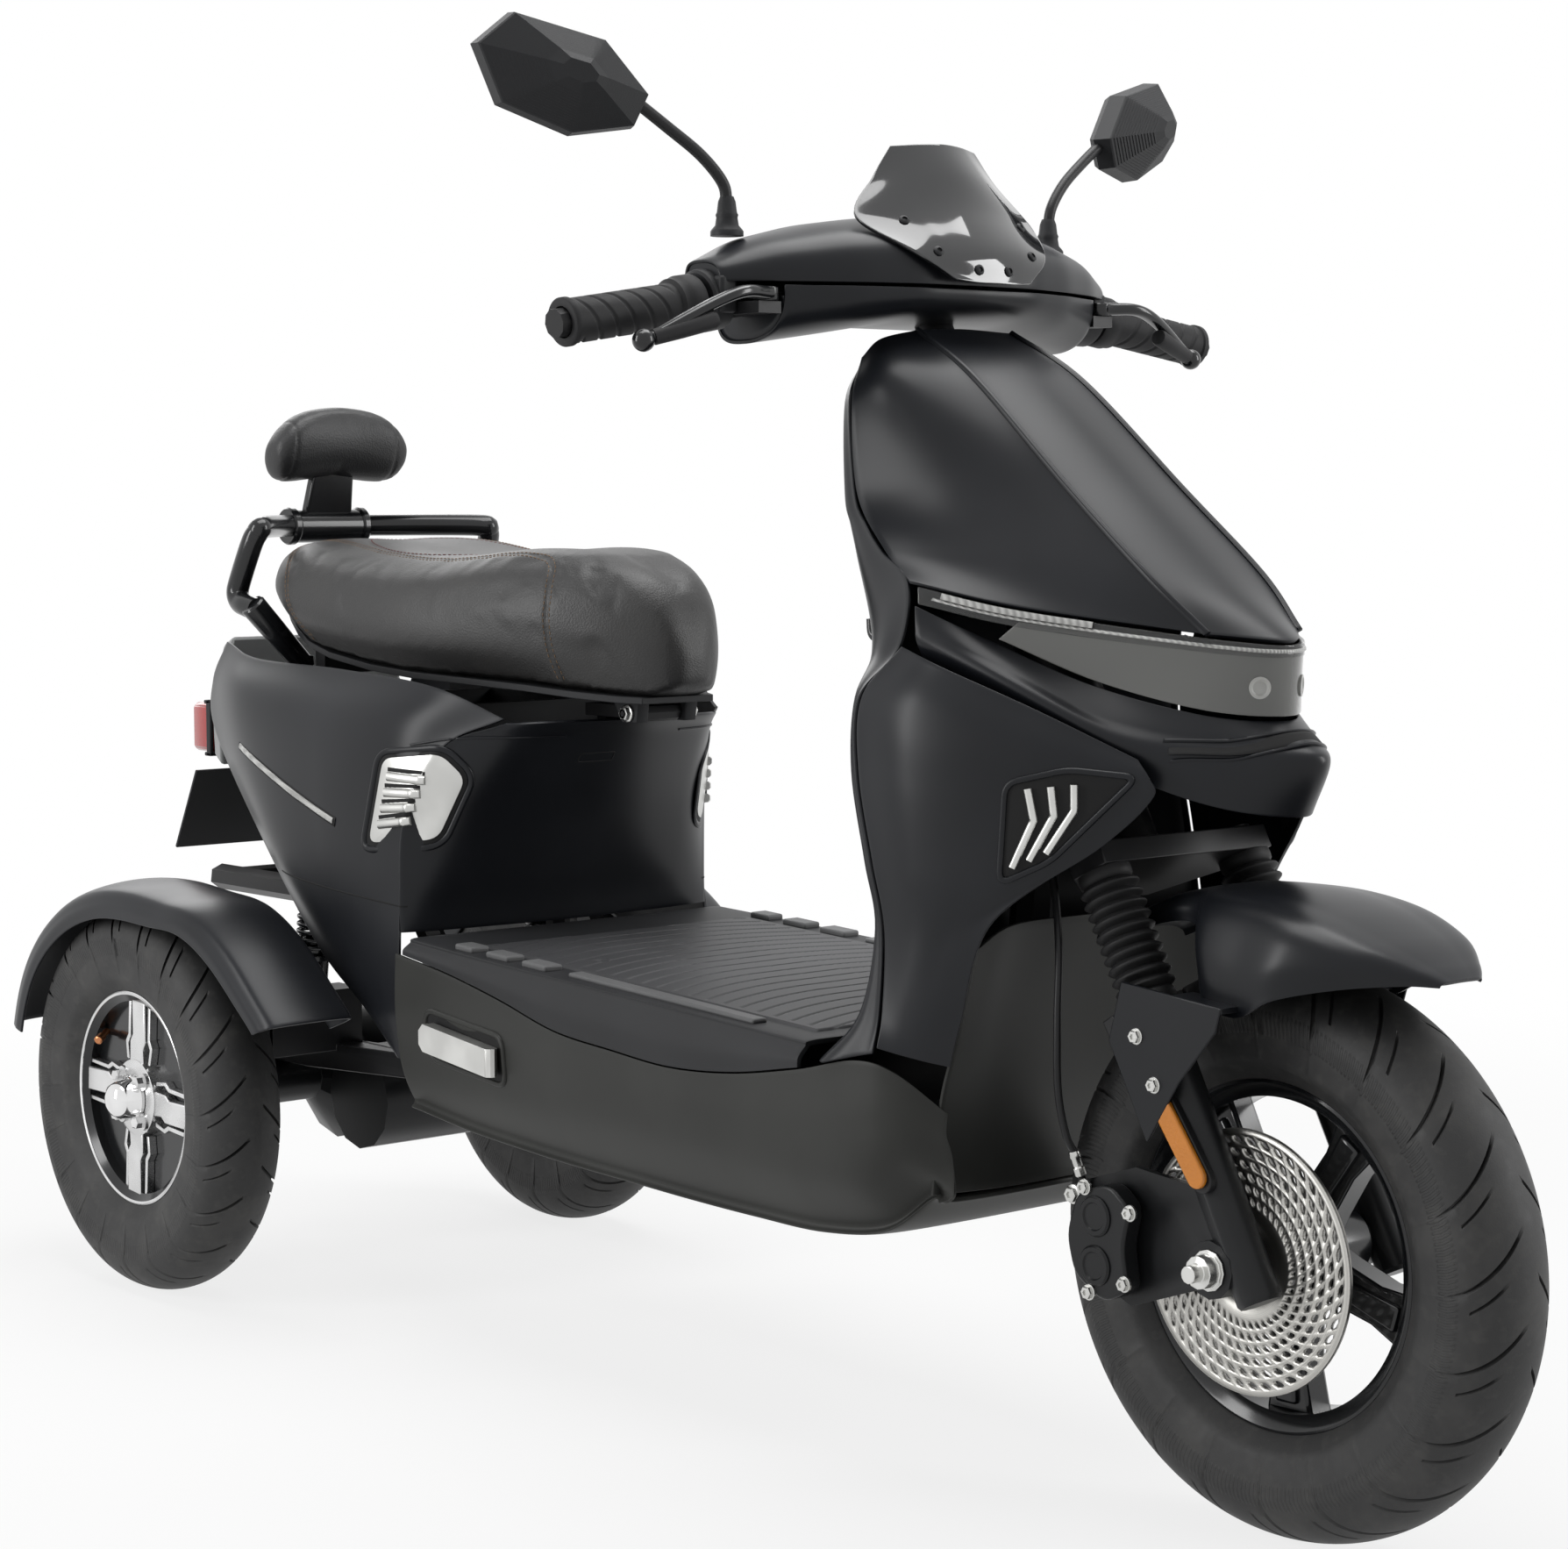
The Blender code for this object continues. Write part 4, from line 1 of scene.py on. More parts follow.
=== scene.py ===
# %% [markdown]
# # A three-wheel electric scooter
# The CAD model gives every piece its real size, its place and its joints, but its faces are coarse.
# Here each visible piece is made again as a fine surface on the same control points, and gets a finish.
# Nothing in the CAD model moves: a new piece takes over the body, and so the joint, of the piece it replaces.

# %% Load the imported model
import json
import math

import bmesh
import bpy
import numpy as np
from mathutils import Matrix, Vector
from mathutils.bvhtree import BVHTree

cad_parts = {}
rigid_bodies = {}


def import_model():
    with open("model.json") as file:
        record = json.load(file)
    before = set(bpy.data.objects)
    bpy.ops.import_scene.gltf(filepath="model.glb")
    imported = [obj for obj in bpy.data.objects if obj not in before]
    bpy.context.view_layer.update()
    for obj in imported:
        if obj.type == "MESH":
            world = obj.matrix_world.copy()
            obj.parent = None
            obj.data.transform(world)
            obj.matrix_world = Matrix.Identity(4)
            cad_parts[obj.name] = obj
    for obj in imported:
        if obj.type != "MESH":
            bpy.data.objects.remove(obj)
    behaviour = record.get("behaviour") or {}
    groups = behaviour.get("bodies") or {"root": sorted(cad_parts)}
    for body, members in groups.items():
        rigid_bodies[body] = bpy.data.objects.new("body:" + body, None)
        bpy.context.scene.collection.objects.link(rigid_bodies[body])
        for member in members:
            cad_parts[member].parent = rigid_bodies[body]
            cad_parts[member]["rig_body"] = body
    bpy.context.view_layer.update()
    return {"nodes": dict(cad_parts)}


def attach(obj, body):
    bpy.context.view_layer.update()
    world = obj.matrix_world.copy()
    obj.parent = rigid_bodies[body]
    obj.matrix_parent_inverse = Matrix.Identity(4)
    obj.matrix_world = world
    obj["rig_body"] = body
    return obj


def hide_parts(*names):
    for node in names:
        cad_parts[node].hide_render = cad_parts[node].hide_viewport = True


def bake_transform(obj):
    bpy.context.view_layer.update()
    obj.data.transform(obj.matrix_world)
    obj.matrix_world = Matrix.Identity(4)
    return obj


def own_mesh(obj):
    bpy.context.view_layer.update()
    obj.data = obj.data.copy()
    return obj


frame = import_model()
nodes = frame["nodes"]

# %% [markdown]
# ## The camera
# The photograph was taken with a long lens, a little above the height of the seat, from the rider's front right.
# The lens is given as a number of pixels for the whole picture, so it is turned into millimetres of a 36 mm sensor.

# %% Camera
PHOTO = (1788, 1766)
SENSOR = 36.0
FOCAL_PIXELS = 3792.556
CENTRE_PIXEL = (890.324, 881.285)
CAMERA_PLACE = (-1.796, -2.17, 0.748)
CAMERA_RIGHT = Vector((0.76403, -0.64517, -0.00299))
CAMERA_UP = Vector((0.05576, 0.06142, 0.99655))
CAMERA_AHEAD = Vector((0.64276, 0.76157, -0.0829))

camera = bpy.data.objects.new("camera", bpy.data.cameras.new("camera"))
bpy.context.scene.collection.objects.link(camera)
camera.data.sensor_width = SENSOR
camera.data.lens = FOCAL_PIXELS * SENSOR / PHOTO[0]
camera.data.shift_x = (PHOTO[0] / 2 - CENTRE_PIXEL[0]) / PHOTO[0]
camera.data.shift_y = -(PHOTO[1] / 2 - CENTRE_PIXEL[1]) / PHOTO[0]
axes = zip(CAMERA_RIGHT, CAMERA_UP, -CAMERA_AHEAD, CAMERA_PLACE)
camera.matrix_world = Matrix([*axes, (0, 0, 0, 1)])
bpy.context.scene.camera = camera
print("lens:", round(camera.data.lens, 2), "mm")

# %% [markdown]
# ## Shader sums
# A finish is a sum of patterns. Wrapping a socket in a small class lets those sums be written as plain Python:
# each operator adds one Math node. Every other node comes from one method, which sets a node's options first,
# then its sockets, either to a value or to a link.

# %% A socket that does sums
class Field:
    """A shader socket whose value may vary over the surface."""

    def __init__(self, finish, socket):
        self.finish = finish
        self.socket = socket

    def math(self, operation, *others):
        """One Math node on this value and the others."""
        return self.finish.node("Math", {"operation": operation}, dict(enumerate((self, *others))))

    def __add__(self, other):
        return self.math("ADD", other)

    __radd__ = __add__

    def __sub__(self, other):
        return self.math("SUBTRACT", other)

    def __rsub__(self, other):
        return self.finish.node("Math", {"operation": "SUBTRACT"}, {0: other, 1: self})

    def __mul__(self, other):
        return self.math("MULTIPLY", other)

    __rmul__ = __mul__

    def smooth(self, low, high):
        """0 below low, 1 above high and an even curve between."""
        return self.finish.node("MapRange", {"interpolation_type": "SMOOTHSTEP"},
            {"Value": self, "From Min": low, "From Max": high})

# %% A finish that makes nodes
class Finish:
    """A material while its nodes are being made."""

    def __init__(self, name):
        self.material = bpy.data.materials.new(name)
        self.material.use_nodes = True
        self.tree = self.material.node_tree
        self.tree.nodes.clear()
        self.where = self.node("TexCoord", out="Object")

    def node(self, kind, settings=None, inputs=None, out=0):
        """One node: its settings first, then the values or links of its sockets."""
        made = self.tree.nodes.new("ShaderNode" + kind)
        for key, value in (settings or {}).items():
            setattr(made, key, value)
        for key, value in (inputs or {}).items():
            socket = made.inputs[key]
            if isinstance(value, Field):
                self.tree.links.new(value.socket, socket)
            elif socket.type == "RGBA" and len(value) == 3:
                socket.default_value = (*value, 1)
            else:
                socket.default_value = value
        return Field(self, made.outputs[out])

    def noise(self, scale, detail=2.0, where=None):
        """Soft random values about 0.5, scale of them to a metre."""
        return self.node("TexNoise", None, {"Vector": where or self.where, "Scale": scale, "Detail": detail})

    def mix(self, share, one, other):
        """One colour where share is 0 and the other where it is 1."""
        made = self.tree.nodes.new("ShaderNodeMix")
        made.data_type = "RGBA"
        for socket, value in ((made.inputs[0], share), (made.inputs[6], one), (made.inputs[7], other)):
            if isinstance(value, Field):
                self.tree.links.new(value.socket, socket)
            else:
                socket.default_value = (*value, 1) if isinstance(value, tuple) else value
        return Field(self, made.outputs[2])

    def axis(self, which, where=None):
        """One coordinate of a place."""
        return self.node("SeparateXYZ", None, {0: where or self.where}, out=which)

    def bump(self, height, depth):
        """A normal from heights of 0 to 1 that stand for depth metres."""
        return self.node("Bump", None, {"Height": height, "Distance": depth, "Strength": 1.0})

    def surface(self, **sockets):
        """The Principled shader with its sockets, linked to the output."""
        named = {key.replace("_", " "): value for key, value in sockets.items()}
        shader = self.node("BsdfPrincipled", None, named)
        end = self.tree.nodes.new("ShaderNodeOutputMaterial")
        self.tree.links.new(shader.socket, end.inputs["Surface"])
        return self.material

# %% [markdown]
# ## The finishes
# The bodywork is satin black paint: nearly black, a little blue, with a broad soft gloss and a trace of dust
# that changes the gloss from place to place. The tub below the floor is a plain moulded plastic, lighter and
# browner. Rubber is paler still, because it is dusty and rough. Colours are written as linear light.

# %% Paint and plastics
def painted(name, colour, rough, coat=0.0, grain=0.0, grain_scale=900.0, haze=0.06):
    """A moulded or painted skin: soft clouds in its gloss, and a fine grain of some depth."""
    finish = Finish(name)
    cloud = finish.noise(7.0, 3.0)
    fine = finish.noise(grain_scale, 2.0)
    lighter = tuple(min(1.0, c * 1.35 + 0.002) for c in colour)
    base = finish.mix(cloud.smooth(0.35, 0.75), colour, lighter)
    sockets = {"Base_Color": base, "Roughness": (cloud - 0.5) * (haze * 2) + rough, "Coat_Weight": coat,
        "Coat_Roughness": 0.12, "Specular_IOR_Level": 0.25}
    if grain:
        sockets["Normal"] = finish.bump(fine, grain)
    return finish.surface(**sockets)


finishes = {
    "satin": painted("satin_black_paint", (0.007, 0.0078, 0.01), 0.33, grain=0.00001),
    "tub": painted("olive_black_plastic", (0.023, 0.0235, 0.0215), 0.46, grain=0.00003),
    "grained": painted("grained_black_plastic", (0.015, 0.0155, 0.017), 0.52, grain=0.0001,
                       grain_scale=1400.0),
    "gloss": painted("gloss_black_enamel", (0.006, 0.0065, 0.0075), 0.2, coat=0.4),
    "cast_black": painted("black_cast_alloy", (0.01, 0.0105, 0.0115), 0.36, grain=0.00005,
                          grain_scale=500.0),
    "gaiter": painted("gaiter_rubber", (0.012, 0.012, 0.0125), 0.55, haze=0.1),
    "grip": painted("grip_rubber", (0.017, 0.017, 0.018), 0.6, grain=0.00006),
    "mat": painted("mat_rubber", (0.042, 0.0425, 0.045), 0.5, grain=0.00005, grain_scale=1200.0),
    "lug": painted("worn_mat_lugs", (0.115, 0.116, 0.118), 0.5, grain=0.00008),
    "grey": painted("grey_tail_plastic", (0.23, 0.235, 0.235), 0.42, haze=0.03),
    # Near-black matte: the real colour of the lamp housings and recess floors, and painted shade where thin bands of
    # it stand for gaps: shut lines, the gaps above the louvre fins and the edge of the cover's slot.
    "dark": painted("black_and_painted_shade", (0.004, 0.004, 0.0042), 0.65),
    "battery": painted("battery_case", (0.05, 0.055, 0.06), 0.55, grain=0.00005),
    "amber": painted("amber_reflector", (0.62, 0.205, 0.01), 0.28, coat=0.6, grain=0.0004,
                     grain_scale=420.0),
    "pale": painted("pale_light_guide", (0.52, 0.52, 0.5), 0.3, coat=0.3),
    "thread": painted("beige_thread", (0.15, 0.095, 0.055), 0.7),
    "red_thread": painted("red_thread", (0.11, 0.016, 0.012), 0.7),
}
print(len(finishes), "plastic and rubber finishes")

# %% Metals
def metal(name, colour, rough, scratch=0.0, scale=60.0, stretch=(1.0, 1.0, 1.0)):
    """Bare or plated metal: its gloss varies, and fine scratches run along the stretched way."""
    finish = Finish(name)
    where = finish.node("Mapping", None, {"Vector": finish.where, "Scale": stretch})
    lines = finish.noise(scale, 4.0, where)
    cloud = finish.noise(25.0, 2.0)
    rougher = (cloud - 0.5) * 0.12 + rough + lines * scratch
    shade = tuple(c * 0.82 for c in colour)
    return finish.surface(Base_Color=finish.mix(cloud.smooth(0.3, 0.8), shade, colour), Roughness=rougher,
        Metallic=1.0, Normal=finish.bump(lines, 0.00002))


finishes.update({
    "chrome": metal("polished_chrome", (0.82, 0.82, 0.82), 0.05),
    "machined": metal("machined_alloy", (0.74, 0.74, 0.74), 0.22, 0.1, 900.0),
    "zinc": metal("zinc_plate", (0.66, 0.66, 0.64), 0.24, 0.06, 300.0),
    "satin_silver": metal("satin_silver_trim", (0.66, 0.66, 0.64), 0.34, 0.04, 300.0),
    "copper": metal("copper_valve", (0.62, 0.26, 0.12), 0.28),
    "steel_black": painted("black_steel", (0.013, 0.013, 0.014), 0.38, grain=0.00004),
    "mirror": metal("mirror_glass", (0.86, 0.88, 0.9), 0.02),
})

# %% [markdown]
# The disc is ground in circles. Its scratches are noise that has been stretched round the axle: the angle and the
# radius of each point, worked out from its place, stand in for x and y.

# %% Brushed disc
AXLE_FRONT = (-0.614, 0.208)


def brushed_disc():
    """Steel ground in circles about the front axle."""
    finish = Finish("ground_disc_steel")
    y = finish.axis(1) - AXLE_FRONT[0]
    z = finish.axis(2) - AXLE_FRONT[1]
    radius = (y * y + z * z).math("SQRT")
    rings = finish.node("TexNoise", {"noise_dimensions": "1D"}, {"W": radius, "Scale": 2600.0, "Detail": 3.0})
    cloud = finish.noise(30.0)
    return finish.surface(Base_Color=finish.mix(rings.smooth(0.3, 0.7), (0.36, 0.355, 0.335),
        (0.56, 0.55, 0.52)), Roughness=rings * 0.12 + 0.28 + cloud * 0.06, Metallic=1.0,
        Normal=finish.bump(rings, 0.00003))


finishes["disc"] = brushed_disc()

# %% [markdown]
# Smoked and clear covers are thin and hard. The windscreen is dark enough to read as black glass, so only its gloss
# matters. The headlight's cover is grey and partly see-through, which gives it depth over its dark housing.

# %% Lenses
def lens(name, colour, rough, alpha, coat=0.8, fine=0.0):
    """A thin hard cover; alpha is the share of it that hides what lies behind."""
    finish = Finish(name)
    sockets = {"Base_Color": colour, "Roughness": rough, "Alpha": alpha, "Coat_Weight": coat,
        "Coat_Roughness": 0.03, "IOR": 1.5}
    if fine:
        lines = finish.node("TexWave", {"bands_direction": "X"},
            {"Vector": finish.where, "Scale": fine, "Distortion": 0.0})
        sockets["Normal"] = finish.bump(lines, 0.0004)
        sockets["Base_Color"] = finish.mix(lines, tuple(c * 0.6 for c in colour), colour)
    return finish.surface(**sockets)


finishes.update({
    "screen": lens("smoked_screen", (0.008, 0.009, 0.011), 0.07, 0.93),
    "clear": lens("clear_cover", (0.04, 0.042, 0.042), 0.06, 0.35),
    "smoke": lens("grey_headlight_cover", (0.15, 0.151, 0.142), 0.1, 0.78),
    "red": lens("red_tail_lens", (0.42, 0.01, 0.008), 0.12, 1.0, fine=160.0),
    "ribbed": lens("ribbed_light_guide", (0.55, 0.55, 0.53), 0.25, 1.0, coat=0.4, fine=120.0),
})
print(len(finishes), "finishes in all")

# %% [markdown]
# ## Surfaces from control points
# A moulded panel is a smooth grid through a few rows of control points. The curve is the one that the CAD source
# uses, so each new panel lies on its CAD panel, only with many more points. The wall is added by a Solidify
# modifier, towards the inside, and a small Bevel rounds the cut edge.
# The control points are in the frame of the drawing board, which is a little ahead of the scooter's middle.
# Their tables are in millimetres, and mm() turns them into metres.

# %% Sides, mirror images and round shapes
TO_MIDDLE = 0.024
TOUCH = 0.0003
PANEL_WALL = 0.0025
SIDES = (("right", -1), ("left", 1))


def mm(places):
    """Places written in millimetres, as an array in metres."""
    return np.array(places, float) / 1000


def mirrored(points, side):
    """Points of the rider's right side, or their mirror image for the left."""
    return np.asarray(points, float) * (-side, 1, 1)


def unit(vectors):
    """Vectors brought to a length of one."""
    vectors = np.asarray(vectors, float)
    return vectors / np.linalg.norm(vectors, axis=-1, keepdims=True)


def circle(count):
    """Even angles once round."""
    return np.linspace(0, 2 * math.pi, count, endpoint=False)


def squarish(wave, power):
    """A sine or cosine filled out towards a square wave by a power below one."""
    return np.sign(wave) * np.abs(wave) ** power

# %% [markdown]
# A moulded cover has no flat spots, so each one starts from a few rows of measured points. A smooth curve is
# laid through each row and then across the rows, which gives a fine grid.

# %% Smooth grids
def resample(points, count, axis=0):
    """A smooth curve through the points along one axis.

    Between two points it is the cubic that also heeds the next point on either side.
    """
    points = np.moveaxis(np.asarray(points, float), axis, 0)
    padded = np.concatenate([2 * points[:1] - points[1:2], points, 2 * points[-1:] - points[-2:-1]])
    at = np.linspace(0, len(points) - 1, count)
    index = np.minimum(at.astype(int), len(points) - 2)
    part = (at - index).reshape((-1,) + (1,) * (points.ndim - 1))
    a, b, c, d = (padded[index + k] for k in range(4))
    curve = 0.5 * (2 * b + (c - a) * part + (2 * a - 5 * b + 4 * c - d) * part ** 2
        + (3 * b - a - 3 * c + d) * part ** 3)
    return np.moveaxis(curve, 0, axis)


def net(rows, across, along):
    """A smooth grid through rows of control points."""
    return resample(resample(rows, across, 1), along, 0)


def full_width(rows):
    """Rows that end on the middle plane, carried on to their mirror image."""
    rows = np.asarray(rows, float)
    return np.concatenate([rows, rows[:, -2::-1] * (-1, 1, 1)], axis=1)


def creased(rows, column, share=0.1):
    """Extra control points close to one column, so that the smooth curve turns sharply there."""
    rows = np.asarray(rows, float)
    near = rows[:, column:column + 1]
    before = near + share * (rows[:, column - 1:column] - near)
    after = near + share * (rows[:, column + 1:column + 2] - near)
    return np.concatenate([rows[:, :column], before, near, after, rows[:, column + 1:]], axis=1)


def quads(rows, columns, ring=False):
    """The corner numbers of a grid's faces."""
    j, i = np.meshgrid(np.arange(rows - 1), np.arange(columns if ring else columns - 1), indexing="ij")
    k = (i + 1) % columns
    faces = np.stack([j * columns + i, j * columns + k, (j + 1) * columns + k, (j + 1) * columns + i], -1)
    return faces.reshape(-1, 4)


def normals_of(grid):
    """The unit normal at each point of a grid: across times along."""
    normal = np.cross(np.gradient(grid, axis=1), np.gradient(grid, axis=0))
    return normal / np.maximum(np.linalg.norm(normal, axis=2, keepdims=True), 1e-9)


print("a curve through 3 points, 5 samples:", resample([(0, 0, 0), (1, 1, 0), (2, 0, 0)], 5)[:, 1])

# %% A mesh from points and faces
made_pieces = []


def add(name, points, faces, finish, smooth_angle=40.0, uv=None):
    """A new mesh object at the origin, its points moved from the drawing board to the scooter."""
    points = np.asarray(points, float).reshape(-1, 3) + (0, TO_MIDDLE, 0)
    mesh = bpy.data.meshes.new(name)
    mesh.from_pydata(points.tolist(), [], [list(map(int, face)) for face in faces])
    piece = bpy.data.objects.new(name, mesh)
    bpy.context.scene.collection.objects.link(piece)
    mesh.materials.append(finishes[finish])
    if uv is not None:
        corners = np.zeros(len(mesh.loops), int)
        mesh.loops.foreach_get("vertex_index", corners)
        layer = mesh.uv_layers.new(name="around")
        layer.data.foreach_set("uv", np.asarray(uv, float).reshape(-1, 2)[corners].ravel())
    shade(mesh, smooth_angle)
    made_pieces.append(piece)
    return piece


def shade(mesh, angle):
    """Smooth shading, but for edges that turn more than an angle."""
    mesh.polygons.foreach_set("use_smooth", np.ones(len(mesh.polygons), bool))
    mesh.set_sharp_from_angle(angle=math.radians(angle))
    mesh.update()


def tidy(piece, distance=0.00002, angle=40.0):
    """Close the doubles of a solid and turn its faces outwards."""
    work = bmesh.new()
    work.from_mesh(piece.data)
    bmesh.ops.remove_doubles(work, verts=work.verts, dist=distance)
    bmesh.ops.dissolve_degenerate(work, edges=work.edges, dist=distance / 2)
    bmesh.ops.recalc_face_normals(work, faces=work.faces)
    work.to_mesh(piece.data)
    work.free()
    shade(piece.data, angle)
    return piece


def place(piece, body, slot, *stood_for):
    """The piece rides on a body and may stand for CAD nodes; slot is not used."""
    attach(piece, body)
    if stood_for:
        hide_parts(*stood_for)
    return piece

# %% [markdown]
# A moulded cover is a sheet of plastic. It is made as one surface that faces outwards, and a Solidify modifier
# gives it its wall, because one surface is easier to shape than two that have to stay the same way apart.

# %% Sheets with a wall
def wall(piece, thickness, bevel=0.0006):
    """Give an open sheet its wall, towards the inside, with rounded edges."""
    solid = piece.modifiers.new("wall", "SOLIDIFY")
    solid.thickness = thickness
    solid.offset = -1
    if bevel:
        edge = piece.modifiers.new("edge", "BEVEL")
        edge.width = bevel
        edge.segments = 2
        edge.limit_method = "ANGLE"
        edge.angle_limit = math.radians(50)
    return piece


def panel(name, grid, inside, finish, thickness=PANEL_WALL, bevel=0.0006):
    """A sheet whose front looks away from the point called inside."""
    grid = np.asarray(grid, float)
    rows, columns = grid.shape[:2]
    faces = quads(rows, columns)
    middle = (rows // 2, columns // 2)
    outward = grid[middle] - np.asarray(inside, float)
    if np.dot(normals_of(grid)[middle], outward) < 0:
        faces = faces[:, ::-1]
    along, across = np.meshgrid(np.linspace(0, 1, rows), np.linspace(0, 1, columns), indexing="ij")
    piece = add(name, grid, faces, finish, 55.0, np.stack([across, along], -1))
    return wall(piece, thickness, bevel)

# %% [markdown]
# Grips, tubes and cushions are rings of points carried along a line. Brackets are flat outlines carried
# straight. Both close into solids, and a bevel rounds the edges of the brackets, as a casting's are.

# %% Solids from rings and outlines
def loft(name, rings, finish, angle=40.0):
    """A closed solid through rings of the same number of points."""
    rings = np.asarray(rings, float)
    rows, columns = rings.shape[:2]
    faces = quads(rows, columns, ring=True).tolist()
    faces += [list(range(columns)), list(range((rows - 1) * columns, rows * columns))]
    return tidy(add(name, rings, faces, finish), 0.00001, angle)


def frame_of(direction):
    """Two unit vectors square to a direction and to each other."""
    direction = unit(direction)
    first = unit(np.cross(direction, (0, 0, 1) if abs(direction[2]) < 0.9 else (1, 0, 0)))
    return direction, first, np.cross(direction, first)


def turned(name, centre, direction, profile, sides, finish, angle=35.0):
    """A profile of (height, radius) carried round a line; a radius of 0 closes at the line."""
    way, first, second = frame_of(direction)
    profile = np.asarray(profile, float)
    turn = circle(sides)
    round_ = np.cos(turn)[:, None] * first + np.sin(turn)[:, None] * second
    rings = np.asarray(centre, float) + profile[:, 0, None, None] * way + profile[:, 1, None, None] * round_
    faces = quads(len(profile), sides, ring=True).tolist()
    if profile[0, 1] > 0 and profile[-1, 1] > 0 and not np.allclose(profile[0], profile[-1]):
        faces += [list(range(sides)), list(range((len(profile) - 1) * sides, len(profile) * sides))]
    return tidy(add(name, rings, faces, finish), 0.00001, angle)


def tube(name, path, radius, finish, sides=20):
    """A round tube along a path.

    Each ring is turned as little as possible from the last, so that the tube doesn't twist.
    """
    path = np.asarray(path, float)
    way = unit(np.gradient(path, axis=0))
    sides_at = [frame_of(way[0])[1]]
    for direction in way[1:]:
        side = sides_at[-1] - np.dot(sides_at[-1], direction) * direction
        sides_at.append(unit(side))
    first = np.array(sides_at)
    second = np.cross(way, first)
    turn = circle(sides)
    rings = path[:, None] + radius * (np.cos(turn)[:, None] * first[:, None]
        + np.sin(turn)[:, None] * second[:, None])
    return loft(name, rings, finish)


def prism(name, outline, offset, finish, bevel=0.0, segments=2, angle=30.0):
    """A flat outline carried straight along an offset, its edges rounded."""
    outline = np.asarray(outline, float)
    count = len(outline)
    points = np.concatenate([outline, outline + np.asarray(offset, float)])
    faces = [[i, (i + 1) % count, count + (i + 1) % count, count + i] for i in range(count)]
    faces += [list(range(count)), list(range(count, 2 * count))]
    return rounded(tidy(add(name, points, faces, finish), 0.00001, angle), bevel, segments)


def rounded(piece, bevel, segments=2, angle=30.0):
    """Round the edges of a solid that turn more than an angle."""
    if bevel:
        edge = piece.modifiers.new("edge", "BEVEL")
        edge.width = bevel
        edge.segments = segments
        edge.limit_method = "ANGLE"
        edge.angle_limit = math.radians(angle)
        piece.data.polygons.foreach_set("use_smooth", np.ones(len(piece.data.polygons), bool))
    return piece


def box(name, low, high, finish, bevel=0.0, segments=2):
    """A block between two corners."""
    (x0, y0, z0), (x1, y1, z1) = low, high
    outline = [(x0, y0, z0), (x1, y0, z0), (x1, y1, z0), (x0, y1, z0)]
    return prism(name, outline, (0, 0, z1 - z0), finish, bevel, segments)

# %% [markdown]
# A rim and its spokes are one casting made of several shapes, so they are joined into one object. Other parts
# are right in the CAD model already, and only their edges and finish change.

# %% Joining shapes, and reusing a CAD part
def merge(name, pieces):
    """Several pieces become one object, their modifiers applied first."""
    depsgraph = bpy.context.evaluated_depsgraph_get()
    whole = bmesh.new()
    materials = []
    for piece in pieces:
        mesh = bpy.data.meshes.new_from_object(piece.evaluated_get(depsgraph))
        before = len(whole.faces)
        whole.from_mesh(mesh)
        whole.faces.ensure_lookup_table()
        first = mesh.materials[0]
        if first not in materials:
            materials.append(first)
        for face in whole.faces[before:]:
            face.material_index = materials.index(first)
        made_pieces.remove(piece)
        bpy.data.objects.remove(piece)
    mesh = bpy.data.meshes.new(name)
    whole.to_mesh(mesh)
    whole.free()
    for material in materials:
        mesh.materials.append(material)
    joined = bpy.data.objects.new(name, mesh)
    bpy.context.scene.collection.objects.link(joined)
    made_pieces.append(joined)
    return joined


def recast(node, finish, slot, bevel=0.0008, angle=34.0):
    """A CAD node's own shape with its doubles merged, its edges rounded and its curves shaded smooth."""
    mesh = nodes[node].data.copy()
    mesh.name = node + "_recast"
    piece = bpy.data.objects.new(node + "_recast", mesh)
    bpy.context.scene.collection.objects.link(piece)
    mesh.materials.clear()
    mesh.materials.append(finishes[finish])
    work = bmesh.new()
    work.from_mesh(mesh)
    bmesh.ops.remove_doubles(work, verts=work.verts, dist=0.00001)
    bmesh.ops.dissolve_limit(work, angle_limit=math.radians(1.0), verts=work.verts, edges=work.edges)
    work.to_mesh(mesh)
    work.free()
    shade(mesh, angle)
    if bevel:
        rounded(piece, bevel, 2, angle)
    made_pieces.append(piece)
    return place(piece, nodes[node]["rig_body"], slot, node)


print("helpers ready")

# %% [markdown]
# ## The nose
# The nose is a moulded shield with a crease down each side, a light bar and a headlight under it, and a beak that
# runs out below the lens. A crease is made by putting extra control points close beside one column: the curve stays
# smooth everywhere but turns sharply there.

